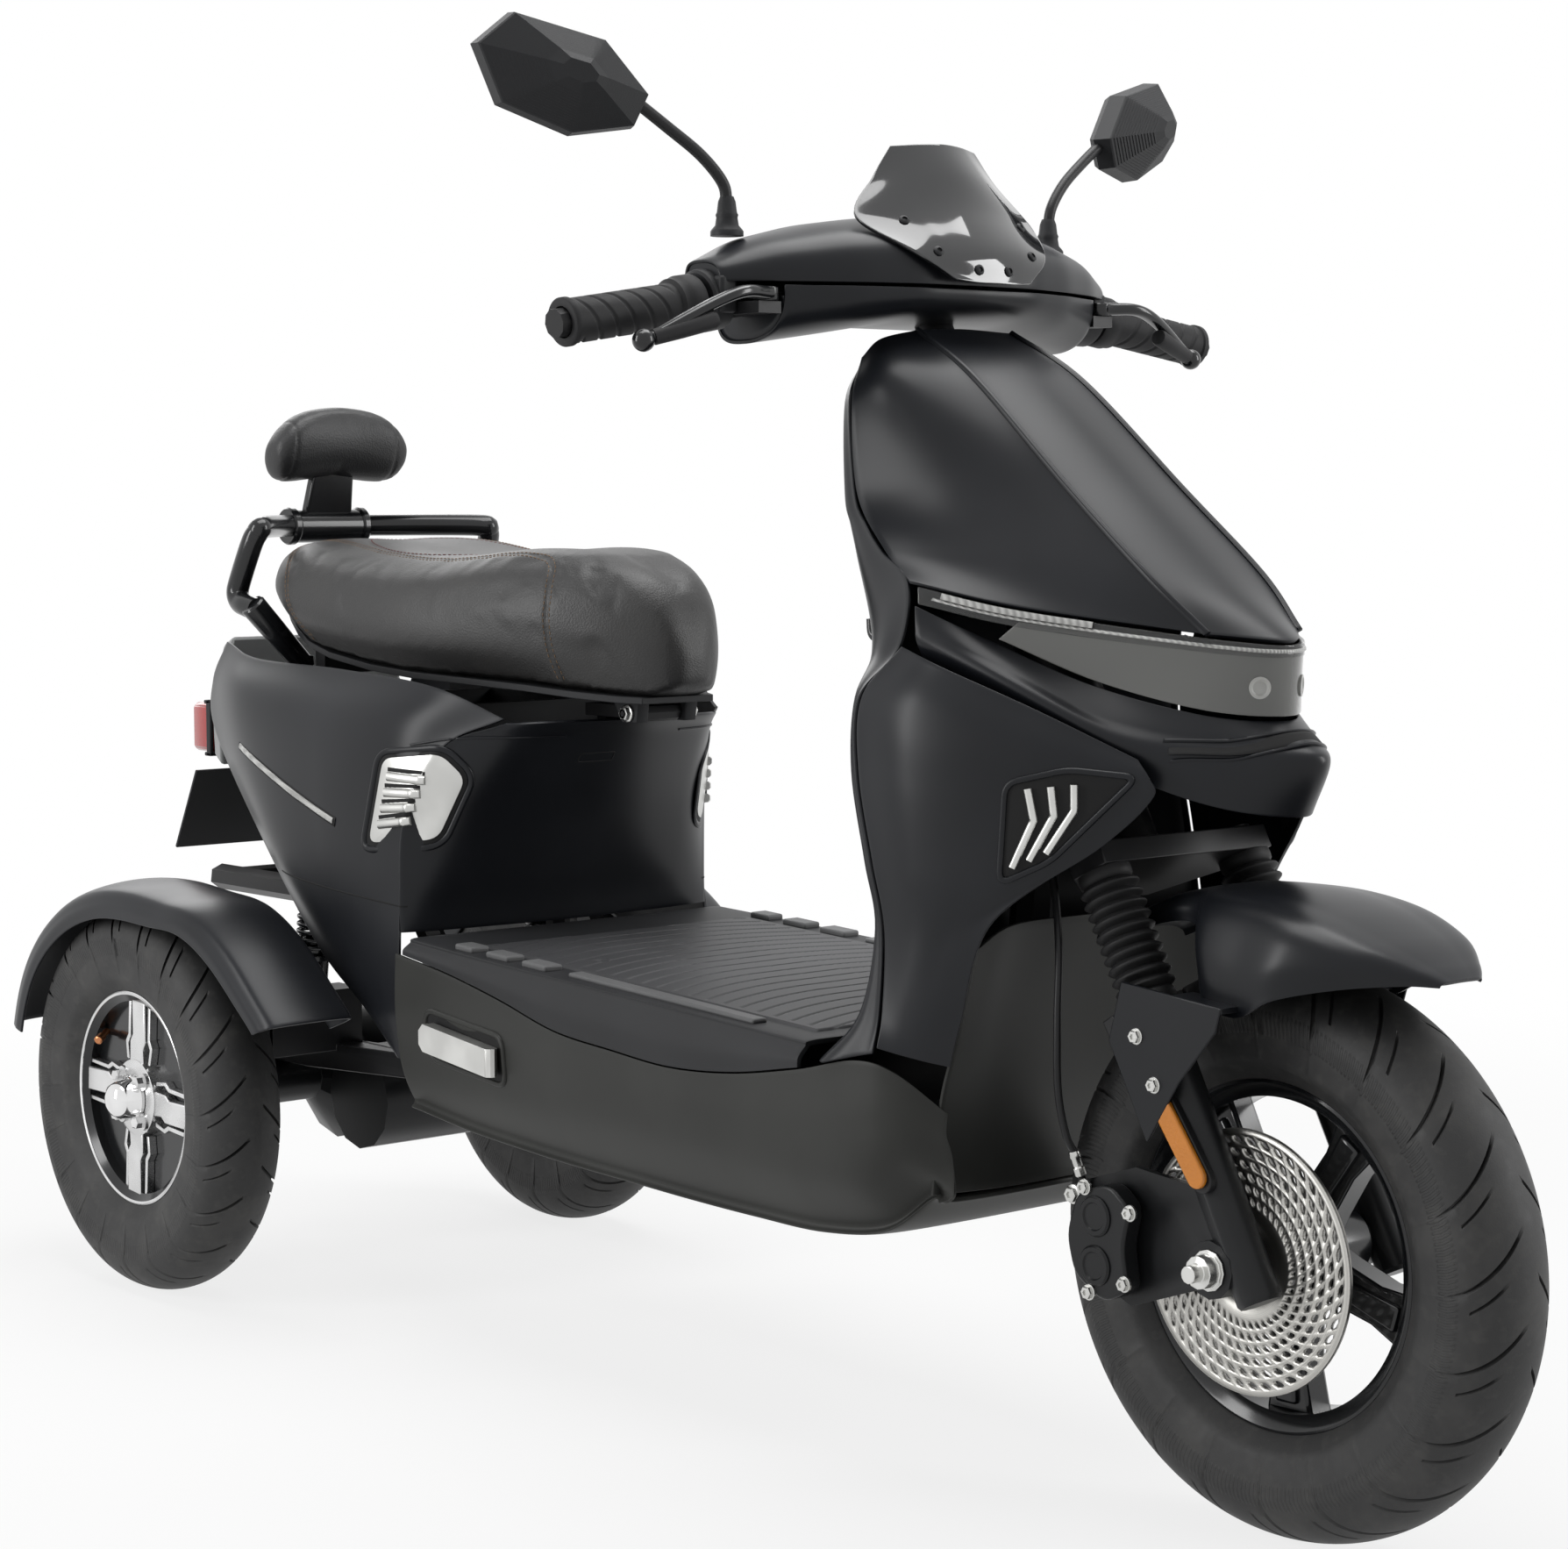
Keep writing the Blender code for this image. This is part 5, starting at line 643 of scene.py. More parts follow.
# %% Shield and leg shield
SHIELD_NET = mm([
    [(-88, -268, 854), (-78, -278, 868), (-50, -290, 875.5), (0, -288, 877.5)],
    [(-113, -285, 820), (-98, -320, 836), (-57, -362, 836), (0, -369, 837)],
    [(-121, -300, 750), (-100, -380, 752), (-60, -466, 752), (0, -478, 752)],
    [(-136, -348, 708), (-108, -430, 700), (-60, -545, 690), (0, -560, 689)],
    [(-148, -389, 686), (-113, -468, 668), (-49, -591.7, 650), (0, -627, 645)],
])
LEG_SHIELD_NET = mm([
    [(-87, -267, 848), (-73, -254, 850), (-40, -245, 853), (0, -243, 853)],
    [(-113, -284.4, 819), (-100, -264, 820), (-55, -246, 820), (0, -241, 820)],
    [(-121, -299.4, 750), (-112, -276, 750), (-65, -251, 750), (0, -246, 750)],
    [(-127.5, -319, 727), (-117, -288, 726), (-69, -256, 725), (0, -250, 725)],
    [(-136, -346.4, 707), (-124, -304, 702), (-75, -264, 700), (0, -256, 700)],
    [(-147.5, -388.4, 684), (-129, -325, 660), (-78, -280, 660), (0, -272, 660)],
    [(-151.8, -383.4, 636.5), (-142, -340, 630), (-82, -292, 630), (0, -284, 630)],
    [(-171.8, -361.4, 600), (-160, -344, 600), (-90, -305, 600), (0, -296, 600)],
    [(-174.8, -361.4, 545), (-165, -347, 545), (-90, -322, 545), (0, -315, 545)],
    [(-173.8, -375.4, 480), (-165, -361, 480), (-90, -334, 480), (0, -328, 480)],
    [(-171.8, -386.4, 430), (-163, -370, 430), (-90, -341, 430), (0, -336, 430)],
    [(-176.8, -389.4, 370), (-171, -360, 366), (-90, -336, 374), (0, -330, 374)],
    [(-183, -389, 339), (-186, -330, 327.5), (-90, -310, 340), (0, -309.5, 340)],
])
EDGE_INSET = 0.0031
COLUMN_MIDDLE = (0.0, -0.36, 0.7)

shield_grid = net(full_width(creased(SHIELD_NET, 2)), 121, 81)
shield = panel("nose_shield_skin", shield_grid, COLUMN_MIDDLE, "satin")
place(shield, "chassis", "satin_black", "front_shield")

inner_net = np.array(LEG_SHIELD_NET)
inner_net[:, 0, 1] += EDGE_INSET
inner_grid = net(full_width(inner_net), 81, 97)
inner_shield = panel("leg_shield_skin", inner_grid, (0, -0.45, 0.6), "satin")
place(inner_shield, "chassis", "satin_black", "leg_shield")
print("shield grid:", shield_grid.shape, "leg shield grid:", inner_grid.shape)

# %% Beak and wings
BEAK_NET = mm([
    [(-148.5, -394.5, 668), (-119, -446, 642.5), (-85, -515.4, 612), (-50, -588.4, 593), (0, -622, 588)],
    [(-150.5, -397, 653), (-126, -467.6, 624), (-92, -535.5, 590), (-50, -603.4, 576), (0, -647, 572)],
    [(-149.5, -398, 640), (-128, -486.1, 607), (-92, -555.4, 572), (-50, -612.7, 560), (0, -658, 558)],
    [(-138, -400, 618), (-114, -495.3, 580), (-83, -561, 545), (-45.4, -607.7, 526), (0, -640, 520)],
])
WING_NET = mm([
    [(-152, -384, 638), (-153, -430, 624), (-128, -499.3, 596), (-92.5, -566.9, 562)],
    [(-172, -362, 600), (-172, -420, 590), (-144, -495.5, 570), (-91.7, -577.9, 548)],
    [(-175, -362, 545), (-175, -420, 540), (-145, -495.5, 532), (-88, -575.9, 533)],
    [(-174, -376, 480), (-172, -425, 476), (-148, -487.9, 473), (-106.3, -543.8, 498)],
    [(-172, -387, 430), (-170, -420, 428), (-161, -448, 430), (-149, -477.3, 442)],
    [(-177, -390, 370), (-173, -410, 369), (-166, -430, 368), (-154, -450, 366)],
    [(-184, -392, 344), (-176, -408, 340), (-166, -424, 336), (-153, -438, 332)],
])

beak_grid = net(full_width(BEAK_NET), 121, 61)
nose_beak = panel("beak_skin", beak_grid, (0, -0.42, 0.6), "satin")
place(nose_beak, "chassis", "satin_black", "beak")

wing_grids = {}
for word, side in SIDES:
    wing_grids[word] = net(mirrored(WING_NET, side), 49, 81)
    wing = panel("nose_wing_skin_" + word, wing_grids[word], (0, -0.42, 0.54), "satin")
    place(wing, "chassis", "satin_black", "nose_wing_" + word)
print("beak and", len(wing_grids), "wings")

# %% [markdown]
# The light bar is a clear strip along the foot of the shield, with a dark backing. Under it the headlight's grey
# cover lies over a dark housing. The ribbed light guide and the lamps come later, with the trim.

# %% Light bar and headlight
LAMP_GAP = 0.0032
LAMP_END = (-0.1455, -0.3945, 0.6848)
LENS_BITE = 0.004
LENS_SET = 0.0009
LIGHT_BAR_DROP = (0.016, 0.015, 0.013, 0.012)
LENS_LOW = mm([(-117, -450, 644), (-84, -516.4, 615), (-50, -590.4, 596), (0, -624, 591)])


def lowered(row, drops):
    """A row of points, each lowered by its own drop."""
    row = np.array(row, float)
    row[:, 2] -= drops
    return row


bar_edge = np.concatenate([[LAMP_END], SHIELD_NET[-1, 1:]])
bar_top = lowered(bar_edge, LAMP_GAP)
bar_low = lowered(bar_edge, LIGHT_BAR_DROP)
bar_grid = net(full_width([bar_top, bar_low]), 121, 9)
lens_top = bar_low[1:] + (0, LENS_SET, LENS_BITE)
lens_edges = [resample(full_width([row])[0], 121) for row in (lens_top, LENS_LOW)]
lens_grid = resample(np.array(lens_edges), 21, 0)
print("light bar width:", round(float(np.ptp(bar_grid[..., 0])), 3), "m")


def set_back(grid, inside, depth):
    """The same sheet, moved along its normals towards the inside."""
    normal = normals_of(grid)
    middle = (grid.shape[0] // 2, grid.shape[1] // 2)
    sign = 1 if np.dot(normal[middle], np.asarray(inside) - grid[middle]) > 0 else -1
    return grid + sign * depth * normal


# A point behind each lamp, which its panels face away from.
BAR_INSIDE = (0, -0.4, 0.65)
LENS_INSIDE = (0, -0.4, 0.6)
LENS_WALL = 0.0015
BACKING_WALL = 0.0012
bar = panel("light_bar", bar_grid, BAR_INSIDE, "clear", LENS_WALL, 0.0004)
cover = panel("headlight_cover", lens_grid, LENS_INSIDE, "smoke", LENS_WALL, 0.0004)
guide = panel("light_guide", set_back(bar_grid, BAR_INSIDE, 0.003), BAR_INSIDE, "dark", BACKING_WALL, 0)
housing = set_back(lens_grid, LENS_INSIDE, 0.0034)
housing = panel("headlight_housing", housing, LENS_INSIDE, "dark", BACKING_WALL, 0)
place(bar, "chassis", "smoked_lens", "front_lamp")
place(cover, "chassis", "smoked_lens")
place(guide, "chassis", "smoked_lens")
place(housing, "chassis", "satin_black")

# %% [markdown]
# ## Splash guard, floor and tub
# Behind the front wheel a plain wall keeps water off the rider's feet. The floor is one tread board whose sides
# turn down into rounded skirts, and the tub under it carries the same line on down to the belly.

# %% Splash guard
GUARD_NET = mm([
    [(-146, -412, 232), (-75, -410, 228), (0, -409, 227)],
    [(-150, -425, 300), (-80, -408, 300), (0, -403, 300)],
    [(-149, -440, 350), (-80, -416, 360), (0, -408, 360)],
    [(-148, -460, 420), (-80, -430, 430), (0, -422, 430)],
])

guard = panel("splash_guard_skin", net(full_width(GUARD_NET), 49, 33), (0, -0.3, 0.33), "tub")
place(guard, "chassis", "lower_black", "splash_guard")

# %% Floor board and tub
DECK_Z = 0.352
DECK_SLOPE = 0.045
MAT_FRONT = -0.307
MAT_REAR = 0.23
MAT_WALL = 0.004
PANEL_SEAM = 0.0015
TUB_SWELL = 0.001
SKIRT_STATIONS = mm([
    # along, skirt foot height, half width
    (-384, 337, 186), (-340, 327, 188), (-260, 308, 189), (-150, 300, 190), (-10, 308, 190), (90, 330, 190),
    (170, 343, 188), (245, 350, 184)])
TUB_STATIONS = mm([
    # along, height of the underside, height of the turn, half width of the underside
    (-404, 222, 262, 128), (-380, 198, 244, 140), (-330, 186, 236, 148), (-200, 185, 236, 152),
    (0, 190, 240, 154), (130, 195, 244, 154), (242, 206, 250, 154)])


def station(table, y, column):
    """One column of a table of stations, read at places along the scooter."""
    return np.interp(y, table[:, 0], table[:, column])


def half_section(y, parts):
    """Rows of a half section: each part gives x and z as arrays over y."""
    return np.stack([np.stack([np.broadcast_to(x, y.shape), y, np.broadcast_to(z, y.shape)], -1)
        for x, z in parts], 1)


mat_y = np.linspace(MAT_FRONT, MAT_REAR, 8)
deck = DECK_Z + DECK_SLOPE * mat_y
knee = deck - 0.004
skirt_foot = np.minimum(station(SKIRT_STATIONS, mat_y, 1), knee)
skirt_half = station(SKIRT_STATIONS, mat_y, 2)
floor_rows = half_section(mat_y, [
    (-skirt_half, skirt_foot), (-skirt_half + 0.001, (skirt_foot + knee) / 2), (-skirt_half + 0.008, knee),
    (-skirt_half + 0.014, deck), (-skirt_half + 0.06, deck), (0 * deck, deck)])
floor_grid = resample(resample(full_width(floor_rows), 121, 1), 97, 0)
floor_board = panel("floor_board", floor_grid, (0, -0.05, 0.2), "grained", MAT_WALL)
place(floor_board, "chassis", "texture_black", "floor_mat")

tub_front, tub_rear = TUB_STATIONS[[0, -1], 0]
tub_y = np.concatenate([[tub_front - 0.024, tub_front, -0.37], mat_y, [tub_rear]])
low, turn, flat = (station(TUB_STATIONS, tub_y, k) for k in (1, 2, 3))
cut_back = 0.5 * np.maximum(0, -0.384 - tub_y) + 0.75 * np.maximum(0, tub_front - tub_y)
tub_half = station(SKIRT_STATIONS, tub_y, 2) - cut_back
tub_top = station(SKIRT_STATIONS, tub_y, 1) - PANEL_SEAM - cut_back
tub_rows = half_section(tub_y, [
    (-tub_half, tub_top), (-tub_half - TUB_SWELL, (tub_top + turn) / 2), (-tub_half + 0.005, turn),
    (-flat - 0.012, low + 0.012), (-flat, low + 0.002), (0 * low, low)])
tub_rows[0, 4:, 1] = tub_front - 0.004   # behind the tyre, also when the fork is pressed down
tub_grid = resample(resample(full_width(tub_rows), 121, 1), 97, 0)
tub_shell = panel("tub_shell", tub_grid, (0, -0.05, 0.3), "tub")
place(tub_shell, "chassis", "lower_black", "lower_tub")
print("floor from", MAT_FRONT, "to", MAT_REAR, "m")

# %% [markdown]
# ## The seat box
# Two side panels stand under the saddle and run down to a point at the floor. A cover closes the front.

# %% Side panels and front cover
SIDE_NET = mm([
    [(-120, 165, 556), (-143, 240, 582), (-146, 380, 592), (-138, 540, 596), (-112, 640, 608)],
    [(-150, 215, 530), (-167, 270, 544), (-171, 385, 550), (-160, 540, 560), (-118, 658, 570)],
    [(-168, 245, 470), (-173, 290, 476), (-175, 385, 485), (-163, 520, 500), (-118, 655, 520)],
    [(-172, 252, 390), (-174, 300, 394), (-174, 370, 400), (-169, 448, 408), (-143, 530, 426)],
    [(-177, 248, 330), (-177, 284, 331), (-176, 320, 333), (-175, 354, 336), (-172, 388, 340)],
    [(-178, 247, 290), (-178, 263, 290), (-177, 279, 290.5), (-176, 294, 291), (-174, 309, 292)],
    [(-178, 244, 254), (-178, 246.5, 254), (-178, 249, 254.1), (-177, 251.5, 254.2), (-176, 254, 254.5)],
])
FRONT_COVER_NET = mm([
    [(-117, 164, 551), (-85, 141, 552), (0, 131, 552)],
    [(-146.2, 211.5, 530), (-100, 168, 530), (0, 152, 530)],
    [(-165.8, 242.6, 470), (-112, 207, 470), (0, 192, 470)],
    [(-169, 248.8, 400), (-120, 231, 400), (0, 221, 400)],
    [(-169, 248.8, 365), (-120, 239, 365), (0, 231.5, 365)],
])

BOX_MIDDLE = (0, 0.4, 0.48)
side_grids = {}
for word, side in SIDES:
    side_grids[word] = net(mirrored(SIDE_NET, side), 97, 97)
    side_skin = panel("side_panel_skin_" + word, side_grids[word], BOX_MIDDLE, "satin")
    place(side_skin, "chassis", "satin_black", "side_panel_" + word)
# The cover's edge runs on a little way behind the side panels, so that no light shows between them.
behind = FRONT_COVER_NET[:, :1] + (0.001, 0.008, 0)
cover_grid = net(full_width(np.concatenate([behind, FRONT_COVER_NET], 1)), 97, 49)
box_cover = panel("seat_box_cover_skin", cover_grid, (0, 0.4, 0.46), "satin")
place(box_cover, "chassis", "satin_black", "seat_box_cover")
print("side panels and front cover")

# %% [markdown]
# ## The wheels
# A tyre is a grid carried round the axle. Its columns are bent into the V of the tread, so that each curved groove
# lies along the grid and its edges stay crisp with few faces. The rubber is dusty, and fine ribs on the shoulders
# come from the piece's own UV map.

# %% Wheel sizes and tyre rubber
FRONT_AXLE_Y = -0.638
REAR_AXLE_Y = 0.573
REAR_TRACK = 0.476
FRONT_WHEEL = (0.208, 0.127, 0.088)
REAR_WHEEL = (0.184, 0.1016, 0.08)
FRONT_CENTRE = (0.0, FRONT_AXLE_Y, FRONT_WHEEL[0])


def tyre_rubber():
    """Dusty black rubber; ribs show where the second coordinate is on a shoulder."""
    finish = Finish("tyre_rubber")
    uv = finish.node("UVMap", {"uv_map": "around"})
    around = finish.axis(0, uv)
    across = finish.axis(1, uv)
    dust = finish.noise(22.0, 4.0)
    fine = finish.noise(700.0, 2.0)
    scuff = finish.noise(95.0, 5.0)
    shoulder = (across - 0.5).math("ABSOLUTE")
    patch = shoulder.smooth(0.245, 0.262) * (1 - shoulder.smooth(0.318, 0.33))
    ribs = (around * (2 * math.pi)).math("SINE").smooth(-0.3, 0.3)
    worn = dust.smooth(0.42, 0.72) * 0.6 + scuff.smooth(0.5, 0.7) * 0.4
    base = finish.mix(worn, (0.015, 0.015, 0.0152), (0.048, 0.047, 0.045))
    height = fine * 0.12 + ribs * patch
    return finish.surface(Base_Color=base, Roughness=0.62 + (scuff - 0.5) * 0.2,
        Normal=finish.bump(height, 0.0006))


finishes["tyre"] = tyre_rubber()
print("tyre rubber made")

# %% Tyres
TREAD_PITCHES = 20
GROOVE_DEPTH = 0.005
# Places within one pitch, as shares, and what each side does there: 1 is the floor of a groove.
PITCH_COLUMNS = [
    # share, right groove, left groove, right slot, left slot
    (0.000, 0, 0, 0, 0), (0.012, 1, 0, 0, 0), (0.06, 1, 0, 0, 0), (0.072, 0, 0, 0, 0),
    (0.16, 0, 0, 0, 0), (0.24, 0, 0, 0, 0), (0.25, 0, 0, 0, 1), (0.285, 0, 0, 0, 1), (0.295, 0, 0, 0, 0),
    (0.4, 0, 0, 0, 0), (0.5, 0, 0, 0, 0), (0.512, 0, 1, 0, 0), (0.56, 0, 1, 0, 0), (0.572, 0, 0, 0, 0),
    (0.66, 0, 0, 0, 0), (0.74, 0, 0, 0, 0), (0.75, 0, 0, 1, 0), (0.785, 0, 0, 1, 0), (0.795, 0, 0, 0, 0),
    (0.9, 0, 0, 0, 0),
]


def ramp(value, low, high):
    """0 below low, 1 above high, and a soft rise between."""
    share = np.clip((value - low) / (high - low), 0, 1)
    return share * share * (3 - 2 * share)


def tyre(name, centre, size):
    """A closed ring: profile points by columns round the axle.

    The tread is half an oval. A column's angle is its share of a pitch less a lead that falls from the
    middle to the shoulder, which bends it into a J.
    """
    outer, bead, width = size
    half = width / 2
    angle = np.linspace(0, math.pi, 53)
    tread_x = -half * np.cos(angle)
    tread_r = outer - half * 0.86 * (1 - np.sin(angle))
    low_x = np.array([0.62, 0.66, 0.8, 0.86, 0.9]) * half
    low_r = bead + np.array([0.0, 0.0015, 0.01, 0.013, 0.018])
    low_r[-1] = min(low_r[-1], tread_r[0] - 0.006)
    x = np.concatenate([-low_x, tread_x, low_x[::-1]])
    r = np.concatenate([low_r, tread_r, low_r[::-1]])
    step = np.hypot(np.diff(x), np.diff(r))
    along = np.concatenate([[0], np.cumsum(step)])
    across = along / along[-1]
    side = (across - 0.5) * 2
    away = np.abs(side)
    ring = 0.0007 * (ramp(away, 0.7, 0.712) - ramp(away, 0.722, 0.734)) \
        + 0.0005 * (ramp(away, 0.8, 0.81) - ramp(away, 0.82, 0.83))
    columns = np.array(PITCH_COLUMNS)
    share = (np.arange(TREAD_PITCHES)[:, None] + columns[None, :, 0]).ravel()
    kind = np.tile(columns[:, 1:], (TREAD_PITCHES, 1))
    lead = 0.85 * (1 - np.clip(away / 0.66, 0, 1)) ** 1.7
    theta = (2 * math.pi / TREAD_PITCHES) * (share[None, :] + lead[:, None])
    groove = ramp(away, 0.06, 0.1) * (1 - ramp(away, 0.56, 0.6))
    slot = ramp(away, 0.2, 0.23) * (1 - ramp(away, 0.4, 0.43))
    right = (side < 0)[:, None]
    depth = GROOVE_DEPTH * (groove[:, None] * np.where(right, kind[None, :, 0], kind[None, :, 1])
        + 0.8 * slot[:, None] * np.where(right, kind[None, :, 2], kind[None, :, 3]))
    radius = r[:, None] - depth + ring[:, None]
    points = np.stack([np.broadcast_to(x[:, None], radius.shape), radius * np.sin(theta),
        radius * np.cos(theta)], -1) + np.asarray(centre)
    rows, count = radius.shape
    faces = quads(rows + 1, count, ring=True) % (rows * count)
    uv = np.stack([np.broadcast_to(share[None, :] * 14, radius.shape),
        np.broadcast_to(across[:, None], radius.shape)], -1)
    return tidy(add(name, points, faces[:, ::-1], "tyre", uv=uv), 0.000005, 38)


WHEELS = {"front": (FRONT_CENTRE, FRONT_WHEEL, "front_wheel")}
for word, sign in SIDES:
    WHEELS["rear_" + word] = ((sign * REAR_TRACK / 2, REAR_AXLE_Y, REAR_WHEEL[0]), REAR_WHEEL,
        "rear_wheel_" + word)
for word, (centre, size, body) in WHEELS.items():
    node = word.replace("rear_", "rear_tyre_") if word != "front" else "front_tyre"
    place(tyre("tyre_" + word, centre, size), body, "tyre", node)
print(len(WHEELS), "tyres with", TREAD_PITCHES, "pitches each")

# %% [markdown]
# The rear rims are black castings whose faces are turned bright: a thin lip, four wide spokes with a kink, and a
# thin strip on each side of every spoke. The front rim is gloss black all over, with five wide ribbed spokes.

# %% Points in a wheel, and turned rings
SPOKE_BEVEL = 0.0012


def in_wheel(centre, angle, radius, across, x):
    """Points on a line that leaves the axle at an angle, across from it, at a place x along the axle."""
    radius, across = np.broadcast_arrays(np.asarray(radius, float), np.asarray(across, float))
    out = np.array((0, math.sin(angle), math.cos(angle)))
    side = np.array((0, math.cos(angle), -math.sin(angle)))
    return np.asarray(centre) + (x, 0, 0) + radius[..., None] * out + across[..., None] * side


def ring(name, centre, profile, finish, sides=96, angle=35.0):
    """A ring turned round an axle: the profile's points (x, radius) close on themselves."""
    profile = np.asarray(profile, float)
    turn = circle(sides)
    x, r = profile[:, 0, None], profile[:, 1, None]
    points = np.stack([x + 0 * turn, r * np.sin(turn), r * np.cos(turn)], -1) + np.asarray(centre)
    faces = quads(len(profile) + 1, sides, ring=True) % (len(profile) * sides)
    return tidy(add(name, points, faces, finish), 0.000005, angle)


def spoke(name, centre, angle, sign, outline, x, deep, finish, bevel=SPOKE_BEVEL):
    """A spoke: an outline of (radius, across) in the wheel's plane, carried inwards along the axle."""
    outline = np.array(outline, float)
    points = in_wheel(centre, angle, outline[:, 0], outline[:, 1], x)
    return prism(name, points, (-sign * deep, 0, 0), finish, bevel, 2, 25.0)


print("spokes and rings ready")

# %% Rear rims
WIDE_SPOKE = mm([(26, -12.5), (47, -9.5), (54, -14), (92.5, -12), (92.5, 11), (60, 8.5), (53, 13), (26, 12.5)])
STRIP = mm([(34, 0), (49, 3), (56, -1.5), (92.5, -1.5), (92.5, 2.5), (58, 2.5), (51, 7), (34, 4)])
SPOKE_TURNS = (0.0, 90.0, 180.0, 270.0)
RIM_HALF = 0.31   # half a rim's width, as a share of its tyre's width
for word, sign in SIDES:
    centre, size, body = WHEELS["rear_" + word]
    seat = size[1] - TOUCH
    half = size[2] * RIM_HALF
    face = sign * 0.02
    lip = sign * half
    parts = [ring("barrel", centre, [(-half, seat), (-half, seat - 0.003), (-half * 0.8, seat - 0.01),
        (half * 0.8, seat - 0.01), (half, seat - 0.003), (half, seat)], "gloss", 120)]
    parts.append(ring("lip", centre, [(lip - sign * 0.004, seat), (lip + sign * 0.0006, seat),
        (lip + sign * 0.0012, seat - 0.0012), (lip + sign * 0.0004, seat - 0.0034),
        (lip - sign * 0.004, seat - 0.0034)], "machined", 144))
    parts.append(ring("web", centre, [(face - sign * 0.014, 0.02), (face - sign * 0.009, 0.02),
        (face - sign * 0.009, seat - 0.009), (face - sign * 0.014, seat - 0.009)], "gloss", 96))
    for turn in SPOKE_TURNS:
        angle = math.radians(turn - 4.0)
        parts.append(spoke("spoke", centre, angle, sign, WIDE_SPOKE, face + sign * 0.001, 0.01, "machined"))
        for way in (-1, 1):
            strip = [(r, way * (t + 0.0175)) for r, t in STRIP]
            parts.append(spoke("strip", centre, angle, sign, strip, face - sign * 0.001, 0.008, "machined",
                0.0006))
    parts.append(ring("hub_ring", centre, [(face - sign * 0.012, 0.018), (face + sign * 0.002, 0.018),
        (face + sign * 0.004, 0.03), (face + sign * 0.002, 0.036), (face - sign * 0.012, 0.038)], "machined",
        64))
    back = -sign * 0.028
    parts.append(ring("hub", centre, [(back, 0.0148), (back, 0.032), (face - sign * 0.012, 0.032),
        (face - sign * 0.012, 0.0148)], "gloss", 48))
    place(merge("rim_" + word, parts), body, "cast_silver", "rear_rim_" + word)
    dome = [(face + sign * 0.003, 0.0205), (face + sign * 0.006, 0.0205), (face + sign * 0.0075, 0.0185),
        (face + sign * 0.02, 0.0175), (face + sign * 0.026, 0.0145), (face + sign * 0.029, 0.009),
        (face + sign * 0.0298, 0.0)]
    heights = [(abs(x), r) for x, r in dome]
    cap = turned("hub_cap_" + word, centre, (sign, 0, 0), [(heights[0][0], 0.0)] + heights, 48, "chrome", 50)
    place(cap, body, "brushed_steel")
    nuts = []
    for k in range(4):
        spot = in_wheel(centre, math.radians(90 * k + 41), 0.027, 0.0, face + sign * 0.0025)
        nuts.append(turned("boss", spot, (sign, 0, 0), mm([(0, 0), (0, 8.5), (3, 8), (3, 0)]), 24, "machined"))
        nuts.append(turned("nut", spot, (sign, 0, 0), mm([(3, 0), (3, 5.8), (10.5, 5.8), (11.8, 4.5),
            (11.8, 0)]), 6, "chrome"))
    place(merge("wheel_nuts_" + word, nuts), body, "brushed_steel")
    stem = in_wheel(centre, math.radians(52), 0.088, 0.0, sign * 0.012)
    lean = np.array((sign * 0.8, -0.5, -0.35))
    valve = turned("valve_" + word, stem, lean, mm([(0, 0), (0, 3.2), (10, 3), (11, 4.2), (19, 4.2), (20, 3),
        (20, 0)]), 16, "copper")
    place(valve, body, "brushed_steel")
print("rear rims with", len(SPOKE_TURNS), "spokes each")

# %% Front rim
seat = FRONT_WHEEL[1] - TOUCH
half = FRONT_WHEEL[2] * RIM_HALF
parts = [ring("barrel", FRONT_CENTRE, [(-half, seat), (-half - 0.001, seat - 0.002), (-half, seat - 0.0045),
    (-half * 0.75, seat - 0.013), (half * 0.75, seat - 0.013), (half, seat - 0.0045),
    (half + 0.001, seat - 0.002), (half, seat)], "gloss", 144)]
ARM = mm([(20, -20), (50, -16.5), (85, -15), (115, -21), (115, 21), (85, 15), (50, 16.5), (20, 20)])
RIDGE = mm([(28, -6), (108, -10), (108, 10), (28, 6)])
for k in range(5):
    lean = math.radians(72 * k + 38)
    parts.append(spoke("arm", FRONT_CENTRE, lean, -1, ARM, -0.012, 0.024, "gloss", 0.003))
    parts.append(spoke("ridge", FRONT_CENTRE, lean, -1, RIDGE, -0.016, 0.032, "gloss", 0.003))
parts.append(ring("hub", FRONT_CENTRE, mm([(-51.2, 8.6), (-51.2, 26), (-13.5, 30), (13.5, 30), (51.2, 26),
    (51.2, 8.6)]), "gloss", 64))
place(merge("front_rim_cast", parts), "front_wheel", "satin_black", "front_rim")
print("front rim with 5 spokes")

# %% [markdown]
# The brake disc is drilled in a spiral lattice. Each cell of the lattice is a small ring of faces round a hole, and
# the cells are sheared as they go outwards, which turns them into lozenges. A Solidify gives the plate its 4 mm.

# %% Brake disc
DISC_X = -0.0535
DISC_RADIUS = 0.095
DISC_CELLS = 44
DISC_ROWS = 6
disc_edges = np.linspace(0.04, 0.0915, DISC_ROWS + 1)


